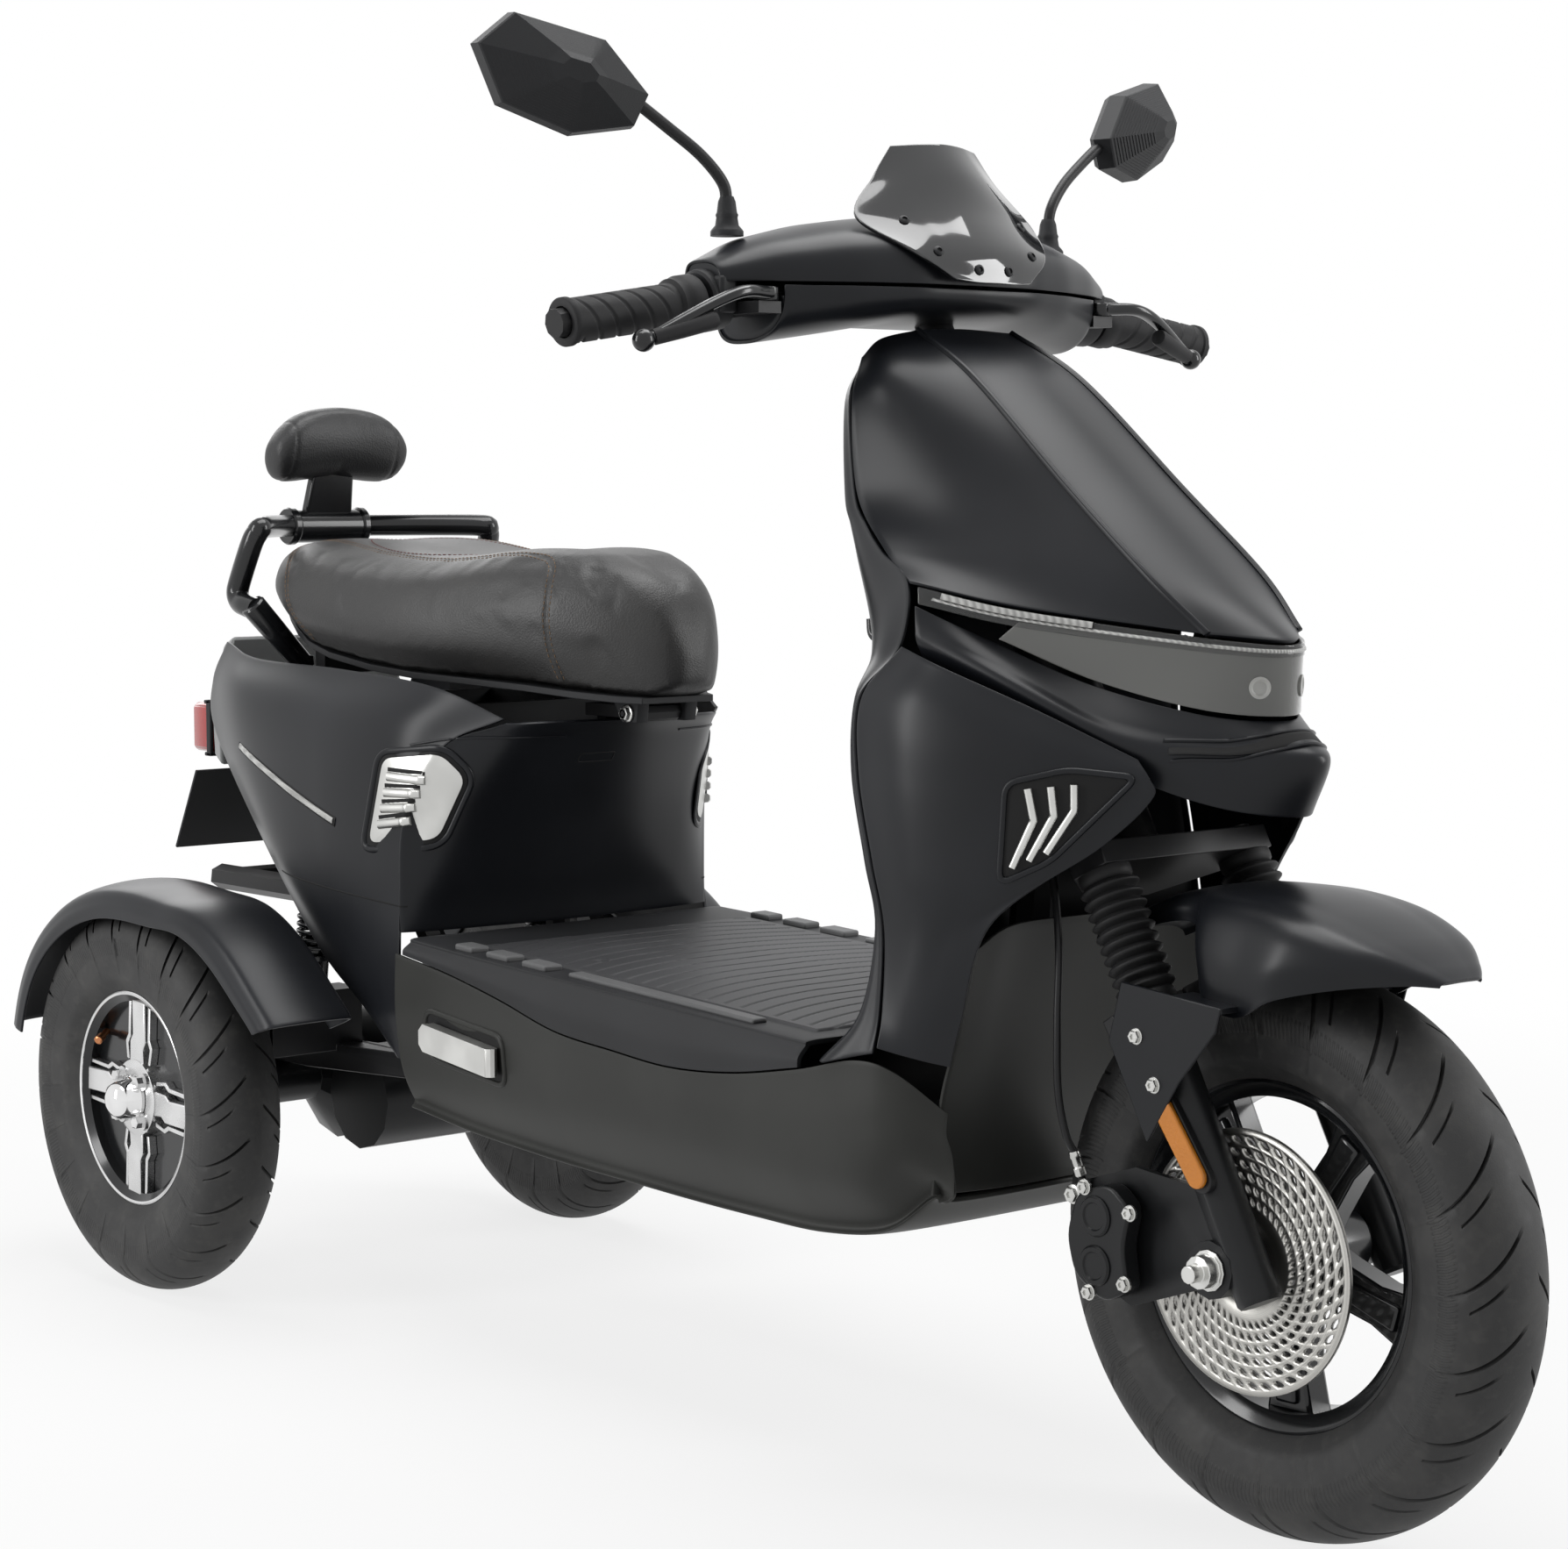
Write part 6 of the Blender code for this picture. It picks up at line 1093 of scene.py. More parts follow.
def disc_plate():
    """Rings of cells: each is a sheared square with a hole of eight corners."""
    corner = np.array([(0, 0), (0.5, 0), (1, 0), (1, 0.5), (1, 1), (0.5, 1), (0, 1), (0, 0.5)])
    hole = 0.5 + (corner - 0.5) * np.where(np.abs(corner - 0.5).sum(1) > 0.7, 0.5, 0.66)[:, None]
    i, j = np.meshgrid(np.arange(DISC_CELLS), np.arange(DISC_ROWS), indexing="ij")
    base = np.stack([i, j], -1).reshape(-1, 1, 2)
    cells = np.concatenate([base + corner, base + hole], 1).reshape(-1, 2)
    turn = (cells[:, 0] + 0.75 * cells[:, 1]) * 2 * math.pi / DISC_CELLS
    radius = np.interp(cells[:, 1], np.arange(DISC_ROWS + 1), disc_edges)
    k = np.arange(8)
    one = np.stack([k, (k + 1) % 8, 8 + (k + 1) % 8, 8 + k], -1)
    faces = (np.arange(len(base))[:, None, None] * 16 + one).reshape(-1, 4)
    bands = []
    angles = np.arange(2 * DISC_CELLS) * math.pi / DISC_CELLS
    shear = 0.75 * DISC_ROWS * 2 * math.pi / DISC_CELLS
    for low, high, shift in ((0.0222, 0.04, 0.0), (0.0915, DISC_RADIUS, shear)):
        grid = np.stack([np.broadcast_to(angles + shift, (2, len(angles))),
            np.broadcast_to(np.array([[low], [high]]), (2, len(angles)))], -1)
        bands.append(grid.reshape(-1, 2))
    for band in bands:
        faces = np.concatenate([faces, len(turn) + quads(2, 2 * DISC_CELLS, ring=True)])
        turn = np.concatenate([turn, band[:, 0]])
        radius = np.concatenate([radius, band[:, 1]])
    x = np.full(len(turn), DISC_X - 0.002)
    points = np.stack([x, radius * np.sin(turn), radius * np.cos(turn)], -1) + np.asarray(FRONT_CENTRE)
    return points, faces


disc_points, disc_faces = disc_plate()
disc = add("brake_disc_plate", disc_points, disc_faces, "disc", 30.0)
work = bmesh.new()
work.from_mesh(disc.data)
bmesh.ops.remove_doubles(work, verts=work.verts, dist=0.00002)
bmesh.ops.recalc_face_normals(work, faces=work.faces)
work.faces.ensure_lookup_table()
if work.faces[0].normal.x > 0:
    bmesh.ops.reverse_faces(work, faces=work.faces)
work.to_mesh(disc.data)
work.free()
plate = disc.modifiers.new("plate", "SOLIDIFY")
plate.thickness = 0.004
plate.offset = -1
place(disc, "front_wheel", "brushed_steel", "brake_disc")
print("disc with", DISC_CELLS * DISC_ROWS, "holes")

# %% [markdown]
# ## Fork, gaiters and brake
# The fork leans back by 28 degrees. Every place on it is a distance up the steering axis, a distance to the side, and
# a distance ahead of the axis.

# %% Along the steering axis
RAKE = math.radians(28.0)
STEER_BASE = np.array((0.0, -0.475, 0.466))
STEER_UP = np.array((0.0, math.sin(RAKE), math.cos(RAKE)))
STEER_AHEAD = np.array((0.0, -math.cos(RAKE), math.sin(RAKE)))
FORK_X = 0.075
FORK_OFFSET = 0.042
CROWN_LOW = -0.01
LEG_TOP = -0.114


def on_steer(distance, x=0.0, ahead=0.0):
    """A point at a distance up the steering axis, to the side and ahead of it."""
    return STEER_BASE + (x, 0, 0) + distance * STEER_UP + ahead * STEER_AHEAD


GAITER_RIBS = 10
gaiter_low = LEG_TOP + TOUCH
gaiter_tall = CROWN_LOW - TOUCH - gaiter_low
heights = np.linspace(0.009, gaiter_tall - 0.009, GAITER_RIBS * 8 + 1)
wave = 0.5 - 0.5 * np.cos(np.linspace(0, 2 * math.pi * GAITER_RIBS, len(heights)))
bulge = 0.0178 + 0.0047 * wave ** 0.8
gaiter_profile = [(0, 0.0172), (0, 0.0196), (0.003, 0.02), (0.007, 0.0196)]
gaiter_profile += list(zip(heights, bulge))
gaiter_profile += [(gaiter_tall - 0.007, 0.0196), (gaiter_tall - 0.003, 0.02), (gaiter_tall, 0.0196),
    (gaiter_tall, 0.0172)]
for word, sign in SIDES:
    foot = on_steer(gaiter_low, sign * FORK_X, FORK_OFFSET)
    boot = turned("gaiter_sleeve_" + word, foot, STEER_UP, gaiter_profile, 48, "gaiter", 60)
    place(boot, "steering", "rubber", "gaiter_" + word)
    top = on_steer(CROWN_LOW, 0, FORK_OFFSET) + (0, TO_MIDDLE, 0)
    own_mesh(boot)
print("gaiters", round(gaiter_tall * 1000), "mm long")

# %% Brake hose
HOSE_ROUTE = mm([
    (-66, -430, 520), (-80, -468, 474), (-96, -492, 425), (-107, -502, 370), (-109, -505, 320),
    (-103, -508, 285), (-93.5, -510.5, 268), (-90.5, -512, 250.9)])
hose_path = resample(HOSE_ROUTE, 60)
hose = tube("brake_hose_skin", hose_path, 0.0028, "steel_black", 14)
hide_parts("brake_hose")
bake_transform(hose)
crimp = turned("hose_crimp", hose_path[-13], hose_path[-3] - hose_path[-13],
    mm([(0, 0), (0, 3.8), (1, 4.2), (5, 4.2), (6, 3.6), (12, 3.6), (13, 4.4), (19, 4.4), (20, 3.4), (20, 0)]),
    20, "zinc")
place(crimp, "fork_lower", "brushed_steel")
print("hose length", round(float(np.linalg.norm(np.diff(hose_path, axis=0), axis=1).sum()), 3), "m")

# %% [markdown]
# ## Handlebar
# The bar, its clamp and the perches keep their CAD shape with rounded edges. The grips are rubber with slanting
# grooves, cut as waves that run round the grip and along it at once.

# %% Grips
BAR_BEND_X = 0.15
BAR_END = 0.345
GRIP_LENGTH = 0.125
PIVOT_X = 0.178


def bar_line(x):
    """The bar's middle line at a distance x from the middle of the scooter."""
    share = max(0.0, (abs(x) - BAR_BEND_X) / (BAR_END - BAR_BEND_X))
    return np.array((x, -0.24 + 0.024 * min(1.0, abs(x) / BAR_BEND_X) - 0.004 * share, 0.904 - 0.03 * share))


def grip(name, side):
    """A tube whose radius falls in slanting grooves: a sine of the angle plus the distance along."""
    way, first, second = frame_of(bar_line(side * BAR_END) - bar_line(side * BAR_BEND_X))
    start = bar_line(side * 0.214)
    base = [(0, 0.0119), (0, 0.0205), (0.002, 0.0215), (0.014, 0.0215), (0.016, 0.02), (0.021, 0.02),
        (0.023, 0.017)]
    body = [(h, 0.0168) for h in np.linspace(0.026, GRIP_LENGTH - 0.009, 100)]
    end = [(GRIP_LENGTH - 0.006, 0.0168), (GRIP_LENGTH - 0.005, 0.0182), (GRIP_LENGTH - 0.001, 0.0182),
        (GRIP_LENGTH, 0.0172), (GRIP_LENGTH, 0.0119)]
    profile = np.array(base + body + end)
    turn = circle(96)
    height, radius = profile[:, 0, None], profile[:, 1, None]
    inside = ramp(height, 0.026, 0.029) * (1 - ramp(height, GRIP_LENGTH - 0.012, GRIP_LENGTH - 0.009))
    wave = np.sin(turn * 3 + side * height * 2 * math.pi / 0.017)
    radius = radius - 0.001 * inside * ramp(wave, 0.72, 0.9)
    points = start + height[..., None] * way + radius[..., None] * (
        np.cos(turn)[None, :, None] * first + np.sin(turn)[None, :, None] * second)
    faces = quads(len(profile) + 1, len(turn), ring=True) % points[..., 0].size
    return tidy(add(name, points, faces, "grip"), 0.000005, 50)


place(grip("grip_rubber_right", -1), "throttle", "rubber", "throttle_grip")
place(grip("grip_rubber_left", 1), "steering", "rubber", "left_grip")
print("grips", GRIP_LENGTH, "m long")

# %% [markdown]
# The two cowls are shells with a soft, squarish section: each row is a half oval whose corners are filled out by
# raising sine and cosine to powers below one.

# %% Cowls
BAR_Y = -0.24
COWL_GAP = 0.0026
COWL_SPLIT_Z = 0.908
COWL_SHAPE = mm([
    (0, -312, -168, 966, 880), (60, -309, -168, 964, 880), (110, -294, -172, 957, 872),
    (165, -268, -184, 944, 864), (205, -240, -197, 926, 868)])


def cowl_grid(reach, upper):
    """Half sections from the front split over to the rear split, at places x across."""
    front, rear, top, low = (np.interp(np.abs(reach), COWL_SHAPE[:, 0], COWL_SHAPE[:, k])[:, None]
        for k in (1, 2, 3, 4))
    split = COWL_SPLIT_Z + (COWL_GAP / 2 if upper else -COWL_GAP / 2)
    angle = np.linspace(0, math.pi, 61)[None, :]
    half = (rear - front) / 2
    bend = squarish(np.cos(angle), 0.75)
    y = (front + rear) / 2 - half * bend + 0.22 * half * np.sin(angle) ** 2
    z = split + ((top if upper else low) - split) * np.abs(np.sin(angle)) ** 0.7
    return np.stack([reach[:, None] + 0 * y, y, z], -1)


cowl_middle = (0, BAR_Y, COWL_SPLIT_Z)
upper_grid = cowl_grid(np.linspace(-0.205, 0.205, 91), True)
lower_grid = cowl_grid(np.linspace(-0.165, 0.165, 75), False)
kernel = np.array([1, 2, 3, 4, 3, 2, 1], float)
kernel /= kernel.sum()


def blended(grid):
    """Each inner column of the grid averaged with its neighbours across the scooter."""
    padded = np.concatenate([np.repeat(grid[:1], 3, 0), grid, np.repeat(grid[-1:], 3, 0)])
    soft = sum(w * padded[k:k + len(grid)] for k, w in enumerate(kernel))
    share = np.minimum(1, np.minimum(np.arange(len(grid)), np.arange(len(grid))[::-1]) / 3)[:, None, None]
    out = grid.copy()
    out[..., 1:] = share * soft[..., 1:] + (1 - share) * grid[..., 1:]
    return out


cowl_top = panel("cowl_skin_upper", blended(upper_grid), cowl_middle, "satin")
cowl_under = panel("cowl_skin_lower", blended(lower_grid), cowl_middle, "satin")
place(cowl_top, "steering", "satin_black", "cowl_upper")
place(cowl_under, "steering", "satin_black", "cowl_lower")
print("cowl grids:", upper_grid.shape, lower_grid.shape)

# %% Windscreen and its screws
SCREEN_NET = mm([
    [(-40, -323.5, 913), (-20, -325, 911), (0, -325.5, 911)],
    [(-70, -308.5, 934), (-35, -315.5, 936), (0, -318, 937)],
    [(-94, -268, 962), (-46, -287, 968), (0, -293, 971)],
    [(-66, -256, 994), (-33, -273, 998), (0, -279, 1000)],
    [(-45, -253, 1019), (-22, -262, 1021), (0, -265, 1022)],
])
screen_grid = net(full_width(SCREEN_NET), 81, 65)
screen = panel("windscreen_sheet", screen_grid, (0, -0.1, 0.95), "screen", 0.003, 0.0008)
place(screen, "steering", "smoked_lens", "windscreen")


def on_sheet(grid, across, along, lift, inside):
    """A place on a grid, given as shares of its width and length, and the normal there.

    The normal points away from the point called inside, and the place is lifted along it.
    """
    row = along * (grid.shape[0] - 1)
    column = across * (grid.shape[1] - 1)
    j, i = int(min(row, grid.shape[0] - 2)), int(min(column, grid.shape[1] - 2))
    v, u = row - j, column - i
    spot = ((1 - v) * ((1 - u) * grid[j, i] + u * grid[j, i + 1])
        + v * ((1 - u) * grid[j + 1, i] + u * grid[j + 1, i + 1]))
    down = grid[j + 1, i] - grid[j, i]
    over = grid[j, i + 1] - grid[j, i]
    normal = unit(np.cross(over, down))
    if np.dot(normal, spot - np.asarray(inside)) < 0:
        normal = -normal
    return spot + lift * normal, normal


def screw(name, spot, normal, radius, finish, tall=0.0018):
    """A domed screw head with a round socket."""
    return turned(name, spot, normal, [(-0.0005, 0.0), (-0.0005, radius), (tall * 0.4, radius),
        (tall * 0.85, radius * 0.8), (tall, radius * 0.5), (tall * 0.35, radius * 0.46), (tall * 0.35, 0.0)],
        18, finish, 40)


SCREEN_INSIDE = (0, -0.1, 0.95)
screen_screws = []
for across, along in ((0.16, 0.44), (0.84, 0.44), (0.14, 0.24), (0.86, 0.24), (0.35, 0.1), (0.65, 0.1)):
    spot, normal = on_sheet(screen_grid, across, along, 0.0002, SCREEN_INSIDE)
    screen_screws.append(screw("screw", spot, normal, 0.0042, "grained"))
place(merge("screen_screws", screen_screws), "steering", "texture_black")
print("screen with", len(screen_screws), "screws")

# %% [markdown]
# ## Mirrors
# The mirror head is a faceted shell with fine ribs that run its whole length. The facets are flat faces of a loft,
# and the ribs are a wave pressed into the rings between them.

# %% Mirrors
BOOT = (0.172, -0.208, 0.946)
MIRROR_HEAD = (0.3, -0.182, 1.059)
MIRROR_YAW = math.radians(20.5)
HEAD_OUTLINE = mm([(-68, -12), (-55, -36), (0, -43), (62, -22), (82, 22), (50, 46), (-30, 28)])


def mirror_axes(side):
    """The head's own directions: outwards, up and back, mirrored for the other side."""
    out = np.array((side * math.cos(MIRROR_YAW), math.sin(MIRROR_YAW), 0))
    back = np.array((-side * math.sin(MIRROR_YAW), math.cos(MIRROR_YAW), 0))
    return out, np.array((0, 0, 1.0)), back


def head_rings(side, steps):
    """Rings of the outline, each at a depth and of a size, filled with points along its sides."""
    out, up, back = mirror_axes(side)
    home = np.array((side * MIRROR_HEAD[0], MIRROR_HEAD[1], MIRROR_HEAD[2]))
    corners = np.concatenate([HEAD_OUTLINE, HEAD_OUTLINE[:1]])
    fill = np.concatenate([np.linspace(a, b, 9)[:-1] for a, b in zip(corners, corners[1:])])
    rings = []
    for depth, size in steps:
        flat = fill * (0.9 * size, size)
        rings.append(home + flat[:, :1] * out + flat[:, 1:] * up + depth * back)
    return np.array(rings)


def head_steps():
    """Depths and sizes from the rear rim to the blunt ridge, with a fine rib every 1.7 mm."""
    main = np.array([(0.016, 0.9), (0.01, 1.0), (-0.004, 0.97), (-0.03, 0.34), (-0.034, 0.2)])
    depth = np.concatenate([[0.016, 0.0145, 0.01, -0.004], np.linspace(-0.0052, -0.03, 45), [-0.034]])
    size = np.interp(-depth, -main[:, 0], main[:, 1])
    rib = np.zeros(len(depth))
    rib[4:-1] = np.tile([0.01, 0.0, -0.006], 15)
    return list(zip(depth, size + rib))


for word, side in SIDES:
    body = "mirror_" + word
    base = np.array((side * BOOT[0], BOOT[1], BOOT[2]))
    parts = [turned("boot", base, (0, 0, 1), mm([(0, 0), (0, 12.8), (3.5, 12.8), (5, 11.8), (8, 9.2), (14, 8.2),
        (16, 8.8), (18, 7.8), (26, 6.8), (30, 5.2), (30, 0)]), 32, "grained", 50)]
    bend = base + np.array([(0, 0, 0.024), (side * 0.004, 0, 0.04), (side * 0.022, 0.004, 0.06),
        (side * 0.05, 0.01, 0.08), (side * 0.085, 0.016, 0.103)])
    parts.append(tube("stem", resample(bend, 40), 0.0046, "steel_black", 20))
    parts.append(loft("head", head_rings(side, head_steps()), "grained", 22))
    place(merge("mirror_shell_" + word, parts), body, "texture_black", "mirror_" + word)
    rings = head_rings(side, [(0.0158, 0.84), (0.0172, 0.84), (0.018, 0.82)])
    place(loft("mirror_glass_" + word, rings, "mirror", 30), body, "smoked_lens")
print("two mirrors")

# %% [markdown]
# ## Levers
# Each brake lever is a blade that starts wide at its pivot, thins out along a gentle bend, and ends in a ball.

# %% Brake levers
PIVOT_Y = -0.262
LEVER_TIP = (0.292, -0.258, 0.862)
for word, side in SIDES:
    hub = bar_line(side * PIVOT_X)
    pivot = np.array((side * PIVOT_X, PIVOT_Y, hub[2] - 0.0055 + TOUCH))
    tip = np.array((side * LEVER_TIP[0], *LEVER_TIP[1:]))
    start = pivot + (0, -0.001, 0.0056)
    bend = start * 0.62 + tip * 0.38 + (0, -0.012, 0)
    bend[2] = start[2] - 0.0035
    path = resample([start, bend, tip], 48)
    share = np.linspace(0, 1, 48)[:, None, None]
    turn = circle(24)[None, :, None]
    blade = path[:, None] + (0.009 - 0.004 * share) * squarish(np.cos(turn), 0.75) * np.array((0, 1, 0)) \
        + (0.0055 - 0.0015 * share) * squarish(np.sin(turn), 0.75) * np.array((0, 0, 1))
    parts = [turned("pivot_boss", pivot, (0, 0, 1), mm([(0, 0), (0, 8.8), (0.8, 9.2), (9.4, 9.2), (10.2, 8.6),
        (10.2, 0)]), 32, "gloss"), loft("blade", blade, "gloss", 50)]
    arc = np.linspace(0, math.pi, 17)
    parts.append(turned("tip_ball", tip, (side, 0, 0), list(zip(-0.0086 * np.cos(arc), 0.0086 * np.sin(arc))),
        24, "gloss", 60))
    place(merge("lever_blade_" + word, parts), "lever_" + word, "satin_black", "brake_lever_" + word)
print("two levers")

# %% [markdown]
# ## Front fender
# The fender is narrow between the gaiters and wide in front of the legs, where its sides hang down over the tyre.

# %% Front fender
FENDER_STATIONS = np.array([
    # degrees back from straight up, radius, half width, drop of the side
    (36, 0.272, 0.047, 0.014), (20, 0.268, 0.049, 0.02), (12, 0.2665, 0.051, 0.03),
    (7, 0.265, 0.078, 0.072), (-4, 0.263, 0.084, 0.084), (-14, 0.2605, 0.084, 0.06),
    (-24, 0.2585, 0.068, 0.034), (-31, 0.2575, 0.04, 0.014), (-34.5, 0.257, 0.022, 0.005)])
SIDE_SHARES = np.array([(-1.0, 1.0), (-0.985, 0.5), (-0.8, 0.13), (-0.4, 0.03), (0.0, 0.0)])


def fender_rows():
    """Half sections: across is a share of the half width, and the fall a share of the drop."""
    angle, radius, half, drop = (FENDER_STATIONS[:, k, None] for k in range(4))
    lean = np.radians(angle)
    fall = radius - drop * SIDE_SHARES[None, :, 1]
    return np.stack([half * SIDE_SHARES[None, :, 0], fall * np.sin(lean), fall * np.cos(lean)], -1) \
        + np.asarray(FRONT_CENTRE)


fender = panel("front_fender_skin", net(full_width(fender_rows()), 97, 97), FRONT_CENTRE, "satin", 0.0025)
plates = [fender]
for side in (-1, 1):
    x = side * 0.099
    outline = [(x, -0.655, 0.395), (x, -0.56, 0.404), (x, -0.548, 0.36), (x, -0.586, 0.292), (x, -0.616, 0.338),
        (x, -0.65, 0.378)]
    plates.append(prism("plate", outline, (side * 0.0025, 0, 0), "satin", 0.0008))
    web = [(side * 0.07, -0.655, 0.395), (side * 0.07, -0.6, 0.398), (side * 0.07, -0.6, 0.394),
        (side * 0.07, -0.655, 0.391)]
    plates.append(prism("web", web, (side * 0.0305, 0, 0), "satin", 0.0006))
place(merge("front_fender_shell", plates), "fork_lower", "satin_black", "front_fender")
print("front fender")

# %% [markdown]
# ## Saddle and backrest
# Foam under leatherette is crowned and a little uneven. Each cushion starts as a loft through cross sections, becomes
# an even net of small faces, and is then blown up by a short cloth simulation with pressure inside. The movement of
# each point is capped, so the cushion keeps its size. Seams are pressed in and stitched afterwards.

# %% Leatherette
def leatherette(name, colour, worn):
    """Fine pebbled grain, with soft clouds in its colour and gloss."""
    finish = Finish(name)
    cloud = finish.noise(9.0, 3.0)
    pebble = finish.node("TexVoronoi", {"feature": "SMOOTH_F1"},
        {"Vector": finish.where, "Scale": 620.0, "Smoothness": 0.6}, out="Distance")
    fine = finish.noise(1500.0, 2.0)
    base = finish.mix(cloud.smooth(0.35, 0.7), colour, worn)
    return finish.surface(Base_Color=base, Roughness=(cloud - 0.5) * 0.12 + 0.46,
        Normal=finish.bump(pebble * 0.8 + fine * 0.2, 0.00022))


finishes["leather"] = leatherette("black_leatherette", (0.015, 0.0148, 0.015), (0.021, 0.0205, 0.02))
finishes["pad"] = leatherette("pad_leatherette", (0.009, 0.0092, 0.01), (0.013, 0.013, 0.0138))
print("two leatherettes")

# %% Blowing up a cushion
VOXEL = 0.005
PRESSURE = 4.0
FRAMES = 20


def coordinates(mesh):
    """The points of a mesh as an array."""
    flat = np.zeros(len(mesh.vertices) * 3, np.float32)
    mesh.vertices.foreach_get("co", flat)
    return flat.reshape(-1, 3).astype(float)


def bake(piece):
    """Apply a piece's modifiers to its mesh."""
    depsgraph = bpy.context.evaluated_depsgraph_get()
    mesh = bpy.data.meshes.new_from_object(piece.evaluated_get(depsgraph))
    piece.modifiers.clear()
    piece.data = mesh


def inflate(piece, cap, voxel=VOXEL):
    """Even faces, a puff of pressure, and each point's movement capped."""
    net_ = piece.modifiers.new("even", "REMESH")
    net_.mode = "VOXEL"
    net_.voxel_size = voxel
    bake(piece)
    start = coordinates(piece.data)
    cloth = piece.modifiers.new("puff", "CLOTH")
    cloth.settings.use_pressure = True
    cloth.settings.uniform_pressure_force = PRESSURE
    cloth.settings.effector_weights.gravity = 0.0
    cloth.settings.quality = 5
    for number in range(1, FRAMES + 1):
        bpy.context.scene.frame_set(number)
    depsgraph = bpy.context.evaluated_depsgraph_get()
    moved = bpy.data.meshes.new_from_object(piece.evaluated_get(depsgraph))
    move = coordinates(moved) - start
    piece.modifiers.clear()
    bpy.context.scene.frame_set(1)
    far = np.linalg.norm(move, axis=1, keepdims=True)
    start += move * np.minimum(1.0, cap / np.maximum(far, 1e-9))
    piece.data.vertices.foreach_set("co", start.astype(np.float32).ravel())
    piece.data.update()
    print(piece.name, "moved by up to", round(float(np.minimum(far, cap).max()) * 1000, 1), "mm")


def finer(piece, finish):
    """One subdivision, applied, and smooth faces."""
    level = piece.modifiers.new("finer", "SUBSURF")
    level.levels = level.render_levels = 1
    bake(piece)
    piece.data.materials.clear()
    piece.data.materials.append(finishes[finish])
    piece.data.polygons.foreach_set("use_smooth", np.ones(len(piece.data.polygons), bool))

# %% [markdown]
# A seam pulls the cover down in a narrow line, and its thread shows as short stitches. Both follow a path on
# the finished cushion, which a search tree finds by its nearest point.

# %% Seams and stitches
def tree_of(*pieces):
    """One search tree over the faces of several pieces."""
    points, faces = [], []
    for piece in pieces:
        base = len(points)
        points += [tuple(v.co) for v in piece.data.vertices]
        faces += [[base + v for v in face.vertices] for face in piece.data.polygons]
    return BVHTree.FromPolygons(points, faces)


def press_seam(piece, path, half_width, depth):
    """Sink the points near a seam: a round valley whose depth falls off with the distance."""
    points = coordinates(piece.data)
    normals = np.zeros(len(points) * 3, np.float32)
    piece.data.vertices.foreach_get("normal", normals)
    normals = normals.reshape(-1, 3)
    path = np.asarray(path)
    nearest = np.full(len(points), 1e9)
    close = np.all((points > path.min(0) - 0.02) & (points < path.max(0) + 0.02), axis=1)
    for chunk in np.array_split(np.flatnonzero(close), max(1, close.sum() // 4000)):
        gap = np.linalg.norm(points[chunk, None] - path[None], axis=2)
        nearest[chunk] = gap.min(1)
    fall = np.exp(-(nearest / half_width) ** 2)[:, None]
    piece.data.vertices.foreach_set("co", (points - normals * fall * depth).astype(np.float32).ravel())
    piece.data.update()


def stitches(name, path, tree, spacing, length, radius, lift, finish):
    """Short capsules along a path that lies on a surface, all in one mesh."""
    path = np.asarray(path)
    run = np.concatenate([[0], np.cumsum(np.linalg.norm(np.diff(path, axis=0), axis=1))])
    at = np.arange(spacing / 2, run[-1] - length, spacing)
    ends = [np.stack([np.interp(at + extra, run, path[:, k]) for k in range(3)], -1) for extra in (0, length)]
    normal = np.array([tree.find_nearest(Vector(p))[1] or (0, 0, 1) for p in ends[0]])
    way = unit(ends[1] - ends[0])
    side = np.cross(normal, way)
    centre = (ends[0] + ends[1]) / 2 + normal * lift
    station = np.array([(-0.5, 0.35), (-0.36, 1.0), (0.0, 1.15), (0.36, 1.0), (0.5, 0.35)])
    turn = circle(6)
    points = centre[:, None, None] + station[None, :, None, 0:1] * length * way[:, None, None] \
        + radius * station[None, :, None, 1:2] * (np.cos(turn)[None, None, :, None] * side[:, None, None]
                                                  + np.sin(turn)[None, None, :, None] * normal[:, None, None])
    one = quads(5, 6, ring=True)
    caps = [list(range(6))[::-1], list(range(24, 30))]
    faces = []
    for k in range(len(at)):
        faces += (one + 30 * k).tolist() + [[30 * k + v for v in cap] for cap in caps]
    piece = add(name, points.reshape(-1, 3) - (0, TO_MIDDLE, 0), faces, finish, 60)
    return tidy(piece, 0.000001, 60)


print("cushion helpers ready")

# %% Saddle
SEAT_STATIONS = mm([
    # along, half width, underside, top
    (44, 14, 588, 615), (52, 31, 580, 644), (66, 44, 576, 668), (90, 58, 576, 687), (140, 86, 580, 698),
    (210, 110, 586, 701), (300, 132, 590, 694), (380, 142, 596, 696), (460, 145, 608, 705),
    (500, 139, 620, 707), (535, 126, 635, 705), (562, 110, 645, 700), (584, 88, 653, 693), (598, 64, 660, 683),
    (604, 46, 666, 676)])
SEAT_SHAPE = [(-0.86, 0.0), (-1.0, 0.3), (-0.965, 0.66), (-0.84, 0.88), (-0.5, 0.985), (0.0, 0.99)]
SEAT_SHRINK = 0.0025
seat_fine = resample(SEAT_STATIONS, 90)


def seat_places(along, share):
    """Places on the right side of the saddle: along it, and a share from its lower edge to its middle."""
    half, low, high = (np.interp(along, seat_fine[:, 0], seat_fine[:, k]) for k in (1, 2, 3))
    shape = resample(SEAT_SHAPE, 101)
    across = np.interp(share, np.linspace(0, 1, 101), shape[:, 0])
    rise = np.interp(share, np.linspace(0, 1, 101), shape[:, 1])
    return np.stack([half * across, along, low + (high - low) * rise], -1)


